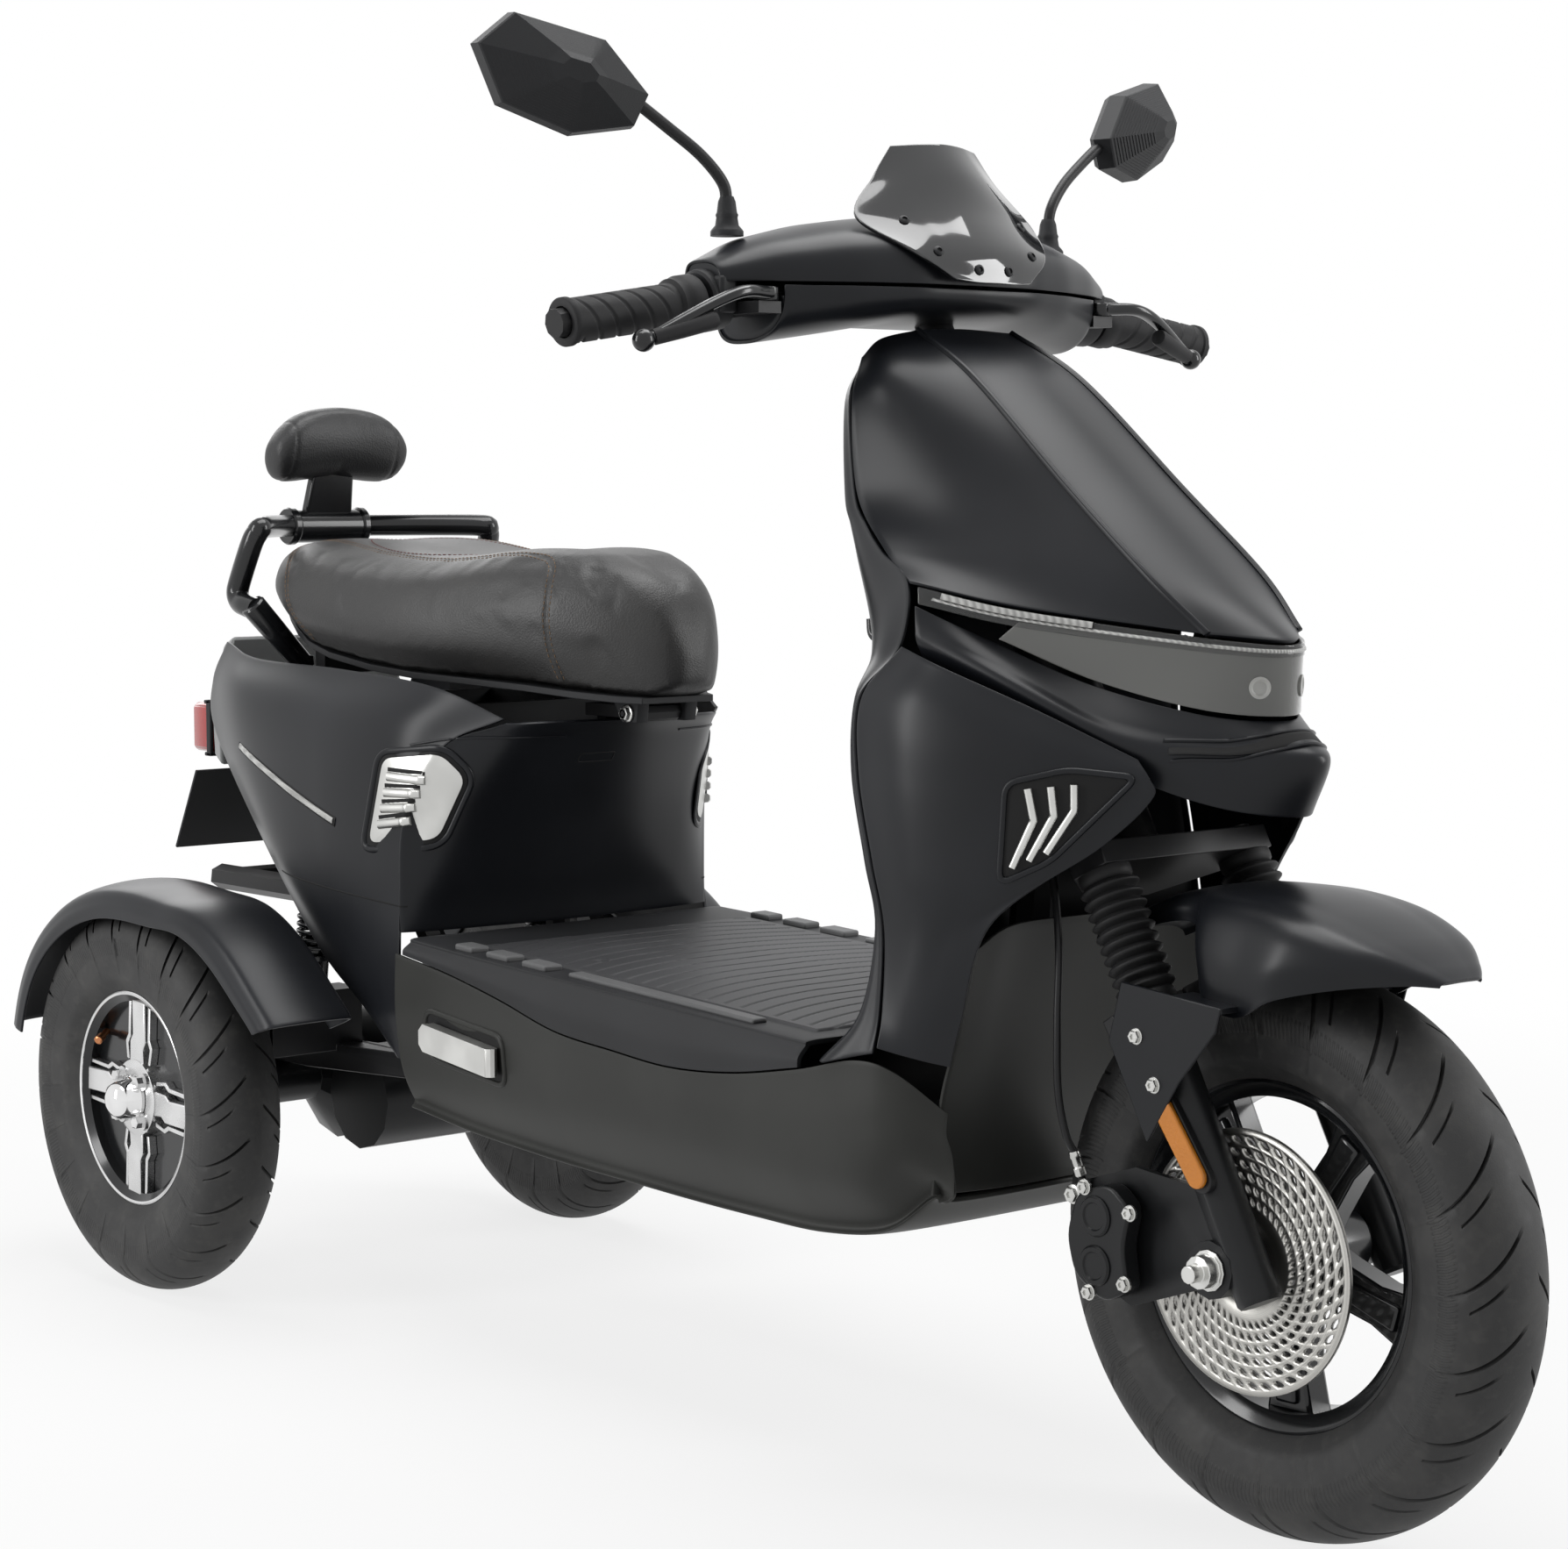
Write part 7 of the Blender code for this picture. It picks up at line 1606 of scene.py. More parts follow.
def seat_rings():
    """Closed cross sections from the nose of the saddle to its tail, drawn in a little for the puff."""
    half_row = seat_places(seat_fine[:, 0][:, None] + np.zeros(49), np.linspace(0, 1, 49)[None, :])
    rings = full_width(half_row)
    middle = rings.mean(axis=1, keepdims=True)
    away = rings - middle
    size = np.linalg.norm(away, axis=2, keepdims=True)
    return middle + away * (1 - SEAT_SHRINK / np.maximum(size, 0.01))


saddle = loft("saddle_cushion", seat_rings(), "leather", 60)
inflate(saddle, 0.004)
finer(saddle, "leather")


def seat_line(along, share, tree, side):
    """A smooth line over the saddle through pairs of along and share, laid on its surface."""
    fine = resample(np.stack([along, share], -1), 160)
    places = seat_places(fine[:, 0], np.clip(fine[:, 1], 0, 1)) + (0, TO_MIDDLE, 0)
    if side > 0:
        places = places * (-1, 1, 1)
    return np.array([tree.find_nearest(Vector(p))[0] for p in places])


SEAM_TOP = ([0.57, 0.52, 0.43, 0.33, 0.24, 0.18, 0.158, 0.15, 0.146, 0.143],
    [0.8, 0.78, 0.76, 0.75, 0.74, 0.72, 0.64, 0.48, 0.24, 0.02])
SEAM_REAR = ([0.575, 0.545, 0.52, 0.505, 0.485, 0.46], [0.86, 0.74, 0.6, 0.44, 0.22, 0.02])
saddle_tree = tree_of(saddle)
seams = []
for side in (-1, 1):
    seams.append(seat_line(*SEAM_TOP, saddle_tree, side))
    seams.append(seat_line(*SEAM_REAR, saddle_tree, side))
turn = np.linspace(-math.pi, math.pi, 200)
oval = np.stack([0.078 * np.sin(turn), 0.4 + 0.105 * np.cos(turn) + TO_MIDDLE, 0.76 + 0 * turn], -1)
oval = np.array([saddle_tree.ray_cast(Vector(p), Vector((0, 0, -1)))[0] for p in oval])
seams.append(oval)
for seam in seams:
    press_seam(saddle, seam, 0.0022, 0.0012)
saddle_tree = tree_of(saddle)
place(saddle, "seat", "seat_black", "seat_cushion")
print("saddle with", len(seams), "seams")

# %% Stitching of the saddle
def beside(path, tree, gap):
    """A line at a distance beside a seam, on the surface."""
    path = np.asarray(path)
    way = unit(np.gradient(path, axis=0))
    normal = np.array([tree.find_nearest(Vector(p))[1] for p in path])
    moved = path + gap * np.cross(way, normal)
    return np.array([tree.find_nearest(Vector(p))[0] for p in moved])


stitch_pieces = []
for seam in seams[:4]:
    for gap in (-0.0032, 0.0032):
        stitch_pieces.append(stitches("stitch", beside(seam, saddle_tree, gap), saddle_tree, 0.0052, 0.0034,
            0.00038, 0.0001, "thread"))
stitch_pieces.append(stitches("stitch", beside(seams[4], saddle_tree, 0.0032), saddle_tree, 0.0052, 0.0034,
    0.00038, 0.0001, "red_thread"))
place(merge("saddle_stitching", stitch_pieces), "seat", "seat_black")
print("stitching made")

# %% Backrest pad
PAD_CENTRE = np.array((0.0, 0.6205, 0.8))
PAD_HALF = 0.077


def pad_rings():
    """Closed cross sections from end to end: squarish ovals, smaller towards the ends."""
    share = np.sin(np.linspace(-math.pi / 2, math.pi / 2, 61))[:, None]
    away = np.abs(share)
    top = 0.038 * (1 - 0.55 * away ** 3.0) * np.sqrt(np.maximum(0, 1 - away ** 7)) - 0.004 * away
    low = 0.034 * np.sqrt(np.maximum(0, 1 - away ** 9)) + 0.006 * away
    deep = 0.027 * (0.35 + 0.65 * np.sqrt(np.maximum(0, 1 - away ** 5)))
    angle = circle(48)[None, :]
    over = squarish(np.cos(angle), 0.85)
    rise = squarish(np.sin(angle), 0.85)
    z = (top - low) / 2 + np.maximum((top + low) / 2, 0.006) * 0.97 * rise
    y = deep * 0.95 * over - 0.01 * share ** 2 - 0.25 * z
    return PAD_CENTRE + np.stack([PAD_HALF * 0.98 * share + 0 * z, y, z], -1)


pad = loft("backrest_cushion", pad_rings(), "pad", 60)
inflate(pad, 0.0035, 0.004)
finer(pad, "pad")
pad_tree = tree_of(pad)
for side in (-1, 1):
    angle = np.linspace(0, 2 * math.pi, 120)
    ring_line = PAD_CENTRE + (0, TO_MIDDLE, 0) + np.stack([side * 0.058 + 0 * angle, 0.05 * np.cos(angle),
        0.05 * np.sin(angle)], -1)
    inner = PAD_CENTRE + (side * 0.058, TO_MIDDLE, 0)
    hits = [pad_tree.ray_cast(Vector(p), Vector(inner - p)) for p in ring_line]
    press_seam(pad, [tuple(h[0]) for h in hits if h[0] is not None], 0.0016, 0.001)
place(pad, "chassis", "seat_black", "backrest_pad")
print("backrest pad")

# %% [markdown]
# ## Grab rail and post
# The rail is one bent tube that leaves the body beside the saddle, climbs, and passes behind it. A clamp on it
# carries the flat post of the backrest.

# %% Grab rail
RAIL_PATH = mm([
    (-140.5, 537, 643), (-142, 553, 646), (-141, 565, 649), (-140, 572, 657), (-139, 569, 669),
    (-137, 551, 703), (-133, 546, 715), (-124, 550, 720), (-56, 622, 720.5), (-42, 634, 720), (-30, 637, 720),
    (0, 637, 720)])
rail_full = np.concatenate([RAIL_PATH, RAIL_PATH[-2::-1] * (-1, 1, 1)])
rail_path = resample(rail_full, 23 * 12)
parts = [tube("rail", rail_path, 0.0107, "gloss", 28)]
clamp_y, clamp_z = RAIL_PATH[-1][1:]
for side in (-1, 1):
    foot = np.array((side * 0.094, 0.531, 0.59))
    end = np.array((side * 0.146, 0.537, 0.648))
    way = end - foot
    length = float(np.linalg.norm(way))
    parts.append(turned("boss", foot, way, [(0, 0.0), (0, 0.0105), (length - 0.002, 0.0125), (length, 0.011),
        (length, 0.0)], 28, "gloss"))
    parts.append(box("foot", (side * 0.094 - 0.008, 0.523, 0.588), (side * 0.094 + 0.008, 0.547, 0.598),
        "gloss", 0.0015))
    parts.append(turned("flange", (side * 0.0395, clamp_y, clamp_z), (side, 0, 0),
        mm([(-4, 0), (-4, 17), (-2, 18.5), (3, 18.5), (5, 17), (5, 0)]), 32, "gloss"))
parts.append(turned("clamp", (-0.038, clamp_y, clamp_z), (1, 0, 0),
    mm([(0, 0), (0, 15), (1.5, 16.5), (74.5, 16.5), (76, 15), (76, 0)]), 36, "gloss"))
post = [(-0.027, clamp_y - 0.008, clamp_z + 0.008), (0.027, clamp_y - 0.008, clamp_z + 0.008),
    (0.022, clamp_y - 0.022, 0.784), (-0.022, clamp_y - 0.022, 0.784)]
parts.append(prism("post", post, (0, 0.01, 0.004), "gloss", 0.0025, 3))
place(merge("grab_rail_tube", parts), "chassis", "satin_black", "grab_rail")
print("grab rail", round(float(np.linalg.norm(np.diff(rail_path, axis=0), axis=1).sum()), 2), "m of tube")

# %% [markdown]
# ## Rear fenders and springs
# Each rear fender is an arch drawn out towards the front, with a soft shoulder and a lip along its rim.

# %% Rear fenders
FENDER_ARCH = np.array([(76, 0.214), (56, 0.213), (32, 0.207), (12, 0.205), (-8, 0.209), (-24, 0.222),
    (-39, 0.25), (-60, 0.284), (-70, 0.308)])
FENDER_ROW = mm([(-43, -50), (-43, -20), (-34.4, -4), (0, 0), (38.4, -6), (48, -20), (49, -34)])
arch = resample(FENDER_ARCH, 121)
for word, side in SIDES:
    centre = np.array((side * REAR_TRACK / 2, REAR_AXLE_Y, REAR_WHEEL[0]))
    row = resample(FENDER_ROW, 49)
    lean = np.radians(arch[:, 0])[:, None]
    radius = arch[:, 1][:, None] + row[None, :, 1]
    grid = centre + np.stack([side * row[None, :, 0] + 0 * radius, radius * np.sin(lean),
        radius * np.cos(lean)], -1)
    parts = [panel("shell", grid, centre, "satin", 0.0025, 0.0008)]
    soft = centre[0] - side * 0.042
    ends = sorted((soft, soft - side * 0.006))
    parts.append(box("ear", (ends[0], 0.442, 0.2313), (ends[1], 0.478, 0.3643), "satin", 0.001))
    place(merge("rear_fender_shell_" + word, parts), "rear_suspension", "satin_black", "rear_fender_" + word)
print("rear fenders")

# %% Springs
SHOCK_LEAN = math.radians(8.0)
SHOCK_WAY = np.array((0.0, -math.sin(SHOCK_LEAN), math.cos(SHOCK_LEAN)))
SHOCK_LEVEL = np.array((0.0, math.cos(SHOCK_LEAN), math.sin(SHOCK_LEAN)))
SPRING_LOW = 0.034 + 0.0022 + TOUCH
SPRING_HIGH = 0.108 - 0.006 - 0.0022 - TOUCH
SPRING_CURLS = 9
for word, side in SIDES:
    foot = np.array((side * 0.132, 0.46, 0.29))
    turn = np.linspace(0, 2 * math.pi * SPRING_CURLS, SPRING_CURLS * 28 + 1)[:, None]
    height = np.linspace(SPRING_LOW, SPRING_HIGH, len(turn))[:, None]
    path = foot + height * SHOCK_WAY + 0.0173 * (np.cos(turn) * np.array((1, 0, 0))
        + np.sin(turn) * SHOCK_LEVEL)
    coil = tube("spring_coil_" + word, path, 0.0022, "gloss", 10)
    place(coil, "rear_suspension", "metal_black", "shock_spring_" + word)
    seat_place = foot + 0.034 * SHOCK_WAY + (0, TO_MIDDLE, 0)
    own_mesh(coil)
print("two springs of", SPRING_CURLS, "turns")

# %% [markdown]
# ## Pieces that keep their CAD shape
# Frame, axle, arms, clamps and brackets are already right in shape. Each is copied with its doubles merged, its
# edges rounded and its curves shaded smooth, and stands for its CAD node.

# %% Rounded copies
RECAST = [
    # node, finish, slot, bevel
    ("main_frame", "steel_black", "metal_black", 0.0008), ("steering_stem", "steel_black", "metal_black", 0.001),
    ("handlebar", "steel_black", "metal_black", 0.001), ("fork_leg_right", "cast_black", "cast_black", 0.0012),
    ("fork_leg_left", "cast_black", "cast_black", 0.0012), ("front_axle", "zinc", "brushed_steel", 0.0006),
    ("front_caliper", "cast_black", "cast_black", 0.002), ("rear_axle_housing", "cast_black", "cast_black", 0.0015),
    ("rear_swing_arm", "steel_black", "metal_black", 0.0012), ("shock_damper_right", "gloss", "metal_black", 0.0008),
    ("shock_damper_left", "gloss", "metal_black", 0.0008), ("shock_rod_right", "zinc", "brushed_steel", 0.0005),
    ("shock_rod_left", "zinc", "brushed_steel", 0.0005), ("seat_pan", "grained", "texture_black", 0.001),
    ("storage_bin", "grained", "texture_black", 0.001), ("battery_pack", "battery", "battery_grey", 0.002),
    ("tail_piece", "grey", "grey_trim", 0.004), ("tail_lamp", "red", "red_lens", 0.003),
    ("plate_holder", "grained", "texture_black", 0.0008), ("footpeg_right", "satin_silver", "cast_silver", 0.002),
    ("footpeg_left", "satin_silver", "cast_silver", 0.002),
]
for node, finish, slot, bevel in RECAST:
    recast(node, finish, slot, bevel)
print(len(RECAST), "pieces keep their CAD shape")

# %% [markdown]
# ## Trim that lies on the panels
# Louvres, light strips, seams and bezels follow the curved panels. Each is first drawn as a flat grid or line in the
# air, then dropped on to the bodywork along one direction, and lifted off it by a fraction of a millimetre.

# %% Dropping a grid on to the bodywork
def open_tree(*grids):
    """A search tree over open grids, in the frame of the drawing board."""
    points, faces = [], []
    for grid in grids:
        base = len(points)
        points += [tuple(p) for p in grid.reshape(-1, 3)]
        faces += (base + quads(*grid.shape[:2])).tolist()
    return BVHTree.FromPolygons(points, faces)


def drop(points, outward, tree, lift=0.0, far=0.08):
    """Points moved on to the bodywork against the direction called outward, then lifted back."""
    points = np.asarray(points, float)
    outward = unit(outward)
    flat = points.reshape(-1, 3)
    landed = []
    for point in flat:
        hit = tree.ray_cast(Vector(point + outward * far), Vector(-outward), far * 3)[0]
        landed.append(tuple(hit) if hit is not None else tuple(tree.find_nearest(Vector(point))[0]))
    return (np.array(landed) + lift * outward).reshape(points.shape)

# %% [markdown]
# Louvres, recesses and light strips are thin plates and bands that follow the bodywork. Each is drawn flat and
# dropped on to it, so that it lies close everywhere.

# %% Plates and bands
def rounded_outline(corners, radius, steps=6):
    """A closed flat outline with its corners rounded by a quadratic curve."""
    corners = np.asarray(corners, float)
    count = len(corners)
    share = np.linspace(0, 1, steps)[:, None]
    out = []
    for k in range(count):
        here, before, after = corners[k], corners[k - 1], corners[(k + 1) % count]
        back = before - here
        ahead = after - here
        start = here + unit(back) * min(radius, np.linalg.norm(back) * 0.48)
        end = here + unit(ahead) * min(radius, np.linalg.norm(ahead) * 0.48)
        out.append((1 - share) ** 2 * start + 2 * share * (1 - share) * here + share ** 2 * end)
    return np.concatenate(out)


PLATE_RINGS = 9


def plate_on(name, corners, radius, outward, tree, lift, tall, finish, taper=0.0):
    """A thin plate with rounded corners that lies on the bodywork: rings of its outline shrink to the middle."""
    outline = rounded_outline(corners, radius)
    middle = outline.mean(0)
    shares = np.concatenate([[1.0], 1 - np.linspace(0, 1, PLATE_RINGS) * 0.999])
    rings = middle + (outline - middle)[None] * shares[:, None, None]
    landed = drop(rings, outward, tree, lift)
    way = unit(outward)
    height = np.concatenate([[-0.0015], np.full(PLATE_RINGS, tall)])
    height[1] = tall - taper
    landed = landed + height[:, None, None] * way
    count = len(outline)
    faces = quads(len(rings), count, ring=True).tolist() + [list(range((len(rings) - 1) * count,
        len(rings) * count))]
    faces += [list(range(count))[::-1]]
    return tidy(add(name, landed, faces, finish, 35), 0.000002, 35)


def band_on(name, path, outward, tree, width, tall, finish, closed=False, lift=0.0):
    """A low rounded band that follows a line on the bodywork."""
    path = drop(path, outward, tree, lift)
    if closed:
        path = np.concatenate([path, path[:1]])
    way = unit(outward)
    ahead = np.gradient(path, axis=0)
    if closed:
        ahead[0] = ahead[-1] = path[1] - path[-2]
    side = unit(np.cross(ahead, way))
    section = np.array([(-0.5, -0.3), (-0.46, 0.55), (-0.25, 1.0), (0.25, 1.0), (0.46, 0.55), (0.5, -0.3)])
    rings = path[:, None] + section[None, :, :1] * width * side[:, None] \
        + np.maximum(section[None, :, 1:], -0.3) * tall * way
    if closed:
        rings = rings[:-1]
        faces = (quads(len(rings) + 1, 6, ring=True) % (len(rings) * 6)).tolist()
        return tidy(add(name, rings, faces, finish, 50), 0.000002, 50)
    return loft(name, rings, finish, 50)


body_tree = {word: open_tree(side_grids[word], cover_grid, tub_grid, floor_grid) for word in side_grids}
wing_tree = {word: open_tree(wing_grids[word], beak_grid) for word in wing_grids}
print("search trees ready")

# %% Louvres of the side panels
LOUVRE = mm([(-172, 298, 442), (-145.5, 230, 448), (-133, 204, 503), (-145, 220, 524), (-172, 276, 518)])
LOUVRE_OUT = (-0.86, -0.5, 0.0)


for word, side in SIDES:
    tree = body_tree[word]
    way = mirrored(LOUVRE_OUT, side)
    corners = mirrored(LOUVRE, side)
    middle = corners.mean(0)
    black = plate_on("louvre_recess_" + word, middle + (corners - middle) * 1.1, 0.012, way, tree, 0.0, 0.0008,
        "dark")
    place(black, "chassis", "satin_black")
    rim = rounded_outline(middle + (corners - middle) * 1.17, 0.014, 9)
    place(band_on("louvre_rim_" + word, rim, way, tree, 0.0062, 0.0022, "satin", True), "chassis",
        "satin_black")
    parts = [plate_on("insert", corners, 0.01, way, tree, 0.0004, 0.0016, "satin_silver", 0.0006)]
    inner = middle + (corners - middle) * 0.8
    for k in range(4):
        share = 0.13 + 0.24 * k
        low = inner[0] + (inner[4] - inner[0]) * share
        high = inner[1] + (inner[2] - inner[1]) * share
        fin = np.linspace(low + (high - low) * 0.02, low + (high - low) * 0.66, 24)
        fin[:, 2] += 0.004 * np.linspace(0, 1, 24)
        parts.append(band_on("fin", fin, way, tree, 0.0085, 0.0042, "satin_silver", False, 0.0016))
        # A thin dark band along the top edge of each fin is painted shade in the gap between the fins.
        slot = fin + np.array((0, 0, 0.0062))
        parts.append(band_on("slot", slot, way, tree, 0.004, 0.0004, "dark", False, 0.0018))
    place(merge("louvre_insert_" + word, parts), "chassis", "cast_silver")
print("louvres with 4 fins")

# %% Light strips, seams and shut lines
STRIP_LINE = mm([(-170, 541, 515), (-170, 480, 496), (-170, 415, 475), (-170, 350, 456)])
SHUT_LINES = [
    # pairs of along and height on the side, from the rear
    [(0.4609, 0.402), (0.37, 0.395), (0.2744, 0.3896), (0.248, 0.388)],
]
for word, side in SIDES:
    tree = body_tree[word]
    way = (side, 0, 0)
    line = resample(mirrored(STRIP_LINE, side), 60)
    place(band_on("strip_channel_" + word, line, way, tree, 0.0095, 0.0007, "dark"), "chassis", "satin_black")
    place(band_on("light_strip_" + word, line[1:-1], way, tree, 0.006, 0.0018, "ribbed"), "chassis",
        "smoked_lens")
    seams = []
    # Each shut line is a thin dark band: painted shade in the gap where the panels meet.
    for places in SHUT_LINES:
        line = resample([(side * 0.175, y, z) for y, z in places], 60)
        seams.append(band_on("seam", line, way, tree, 0.0016, 0.0004, "dark"))
    place(merge("shut_line_shade_" + word, seams), "chassis", "satin_black")
print("light strips")

# %% [markdown]
# The front cover has a raised line on each side below the saddle, and a thin dark ring of painted shade that marks
# the edge of a small slot.

# %% Facets of the seat box
FACET = mm([(-165, 244, 531), (-140, 205, 538), (-100, 168, 539), (-60, 154, 539)])
for word, side in SIDES:
    way = mirrored((-0.6, -0.8, 0.0), side)
    line = resample(mirrored(FACET, side), 60)
    place(band_on("facet_edge_" + word, line, way, body_tree[word], 0.0022, 0.0012, "satin"), "chassis",
        "satin_black")
# The cover's slot is only a thin dark ring: painted shade round its edge.
slot = rounded_outline(mm([(-40, 140, 514), (-4, 140, 514), (-4, 140, 522), (-40, 140, 522)]), 0.002, 4)
place(band_on("cover_slot_shade_ring", slot, (0, -1, 0), body_tree["right"], 0.0012, 0.0006, "dark", True), "chassis",
    "satin_black")
print("facet lines")

# %% [markdown]
# ## Vents of the nose
# Each wing has a black recess in a raised rim, with three bright fins bent like chevrons.

# %% Vents
VENT = mm([(-137, -479, 474), (-118, -508, 490), (-96, -565, 548), (-125, -528, 552), (-142, -488, 542)])
VENT_OUT = (-0.8, -0.6, 0.0)
for word, side in SIDES:
    tree = wing_tree[word]
    way = mirrored(VENT_OUT, side)
    corners = mirrored(VENT, side)
    middle = corners.mean(0)
    place(plate_on("vent_recess_" + word, corners, 0.008, way, tree, 0.0, 0.0006, "dark"), "chassis",
        "satin_black")
    rim = rounded_outline(middle + (corners - middle) * 1.07, 0.01, 9)
    place(band_on("vent_rim_" + word, rim, way, tree, 0.005, 0.0026, "satin", True), "chassis", "satin_black")
    fins = []
    for k in range(3):
        foot = mirrored((-0.1365 + 0.0065 * k, -0.488 - 0.0105 * k, 0.483 + 0.0055 * k), side)
        tip = mirrored((-0.134 + 0.008 * k, -0.5 - 0.015 * k, 0.54 + 0.0018 * k), side)
        bend = (foot + tip) / 2 + mirrored((0.004, -0.0095, 0.006), side)
        line = np.concatenate([np.linspace(foot, bend, 12), np.linspace(bend, tip, 12)[1:]])
        fins.append(band_on("fin", line, way, tree, 0.0062, 0.0034, "satin_silver", False, 0.0006))
    place(merge("vent_fins_" + word, fins), "chassis", "cast_silver")
print("vents with 3 fins")

# %% [markdown]
# The beak's lip holds a long black slot under the headlight. Two small round lamps show on the headlight's
# cover, and a ribbed light guide runs along the light bar.

# %% Beak slot and lamp pods
SLOT = mm([(-75, -585, 574), (-40, -618, 569), (0, -630, 568), (40, -618, 569), (75, -585, 574)])
line = resample(SLOT, 80)
beak_tree = open_tree(beak_grid)
LIP_FACING = (0, -0.75, 0.66)
place(band_on("beak_slot", line, LIP_FACING, beak_tree, 0.012, 0.0006, "dark"), "chassis", "satin_black")
for edge in (-0.0075, 0.0075):
    rim = line + np.array((0, edge * 0.66, edge * 0.75))
    piece = band_on("beak_slot_rim_low" if edge < 0 else "beak_slot_rim_top", rim, LIP_FACING, beak_tree,
        0.0026, 0.0018, "satin")
    place(piece, "chassis", "satin_black")
pods = []
lens_tree = open_tree(lens_grid)
for x in (-0.022, 0.022):
    spot = drop([(x, -0.62, 0.612)], (0, -1, 0), lens_tree, 0.0)[0]
    facing = np.array(lens_tree.find_nearest(Vector(spot))[1])
    facing = facing * (-1 if facing[1] > 0 else 1)
    pods.append(turned("pod", spot, facing, mm([(-2, 0), (-2, 7.5), (1, 8), (1.4, 6.2), (0.3, 5), (0.9, 0)]),
        28, "pale"))
place(merge("headlight_pods", pods), "chassis", "smoked_lens")
bar_tree = open_tree(bar_grid)
count = bar_grid.shape[1]
middle_line = bar_grid[bar_grid.shape[0] // 2, 3:count - 3]
place(band_on("bar_line", middle_line, (0, -0.95, 0.3), bar_tree, 0.003, 0.001, "ribbed"), "chassis",
    "smoked_lens")
for word, picked in (("right", middle_line[2:26]), ("left", middle_line[-26:-2])):
    guide_line = picked + np.array((0, 0, 0.0038))
    way = (-0.75 if word == "right" else 0.75, -0.6, 0.2)
    place(band_on("bar_guide_" + word, guide_line, way, bar_tree, 0.0048, 0.001, "ribbed"), "chassis",
        "smoked_lens")
print("beak slot and 2 lamp pods")

# %% [markdown]
# ## Floor mat
# The mat is rubber with fine curved grooves that fan out towards the front, and worn grey lugs along its edge.
# The grooves are narrow valleys in the height of one grid: the distance to the nearest line sets the depth.

# %% Mat
MAT_HALF = 0.15
MAT_PITCH = 0.021


def mat_grid():
    """Heights over the deck: flat, less a groove every pitch along a curve that bends with the width."""
    x = np.linspace(-MAT_HALF, MAT_HALF, 121)[None, :]
    y = np.linspace(-0.285, 0.16, 361)[:, None]
    along = y + 1.9 * x ** 2 - 0.08 * np.abs(x)
    phase = np.abs((along / MAT_PITCH) % 1.0 - 0.5) * MAT_PITCH
    inside = ramp(np.abs(x), -0.1, 0.0) * (1 - ramp(np.abs(x), MAT_HALF - 0.01, MAT_HALF - 0.007))
    groove = (1 - ramp(phase, 0.0006, 0.0017)) * inside
    hole = np.hypot(x + 0.105, y - 0.045)
    rise = 0.002 - 0.0013 * groove - 0.0016 * (1 - ramp(hole, 0.0055, 0.007))
    edge = np.minimum(MAT_HALF - np.abs(x), np.minimum(y + 0.285, 0.16 - y))
    rise = rise * ramp(edge, -0.001, 0.0025) - 0.0004 * (edge < 0.0005)
    z = DECK_Z + DECK_SLOPE * y + rise
    return np.stack([x + 0 * z, y + 0 * z, z], -1)


grid = mat_grid()
mat = add("floor_mat_rubber", grid, quads(*grid.shape[:2]), "mat", 30)
place(mat, "chassis", "rubber")
lugs = []
for side in (-1, 1):
    for low, high in ((0.138, 0.164), (0.086, 0.118), (0.032, 0.066), (-0.235, 0.005)):
        wide = 0.0075 if high - low > 0.1 else 0.0095
        middle = side * (0.164 if high - low > 0.1 else 0.1655)
        tall = DECK_Z + DECK_SLOPE * np.array([low, high])
        outline = [(middle - wide, low, tall[0] - 0.001), (middle + wide, low, tall[0] - 0.001),
            (middle + wide, high, tall[1] - 0.001), (middle - wide, high, tall[1] - 0.001)]
        lugs.append(prism("lug", outline, (0, 0, 0.0062 if high - low < 0.1 else 0.0048), "lug", 0.0022, 3))
place(merge("mat_lugs", lugs), "chassis", "rubber")
print("mat grid:", grid.shape)

# %% [markdown]
# ## Passenger pegs
# Each folded peg lies in a black oblong with a raised rim.

# %% Peg bezels
PEG_RECESS = mm([(70, 253), (190, 263), (190, 306), (70, 296)])
for word, side in SIDES:
    corners = [(side * 0.19, y, z) for y, z in PEG_RECESS]
    way = (side, 0, 0)
    place(plate_on("peg_recess_" + word, corners, 0.014, way, body_tree[word], 0.0, 0.0002, "dark"), "chassis",
        "satin_black")
    rim = rounded_outline(corners, 0.014, 9)
    place(band_on("peg_rim_" + word, rim, way, body_tree[word], 0.0048, 0.0022, "tub", True), "chassis",
        "lower_black")
print("peg bezels")

# %% [markdown]
# ## Bolts, reflectors and brackets
# Zinc bolts hold the fender, the caliper and the reflectors. All of them come from one small function.

# %% Bolts
def bolt(place_, way, radius=0.006, tall=0.0045):
    """A flanged six-sided bolt head, seated a little into what carries it."""
    washer = turned("washer", place_, way, [(-0.001, 0.0), (-0.001, radius * 1.25), (0.0008, radius * 1.25),
        (0.0012, radius * 1.15), (0.0012, 0.0)], 24, "zinc")
    head = turned("head", place_, way, [(0.0008, 0.0), (0.0008, radius), (tall - 0.0006, radius),
        (tall, radius * 0.86), (tall, radius * 0.45), (tall - 0.0012, radius * 0.4), (tall - 0.0012, 0.0)], 6,
        "zinc")
    return [washer, head]


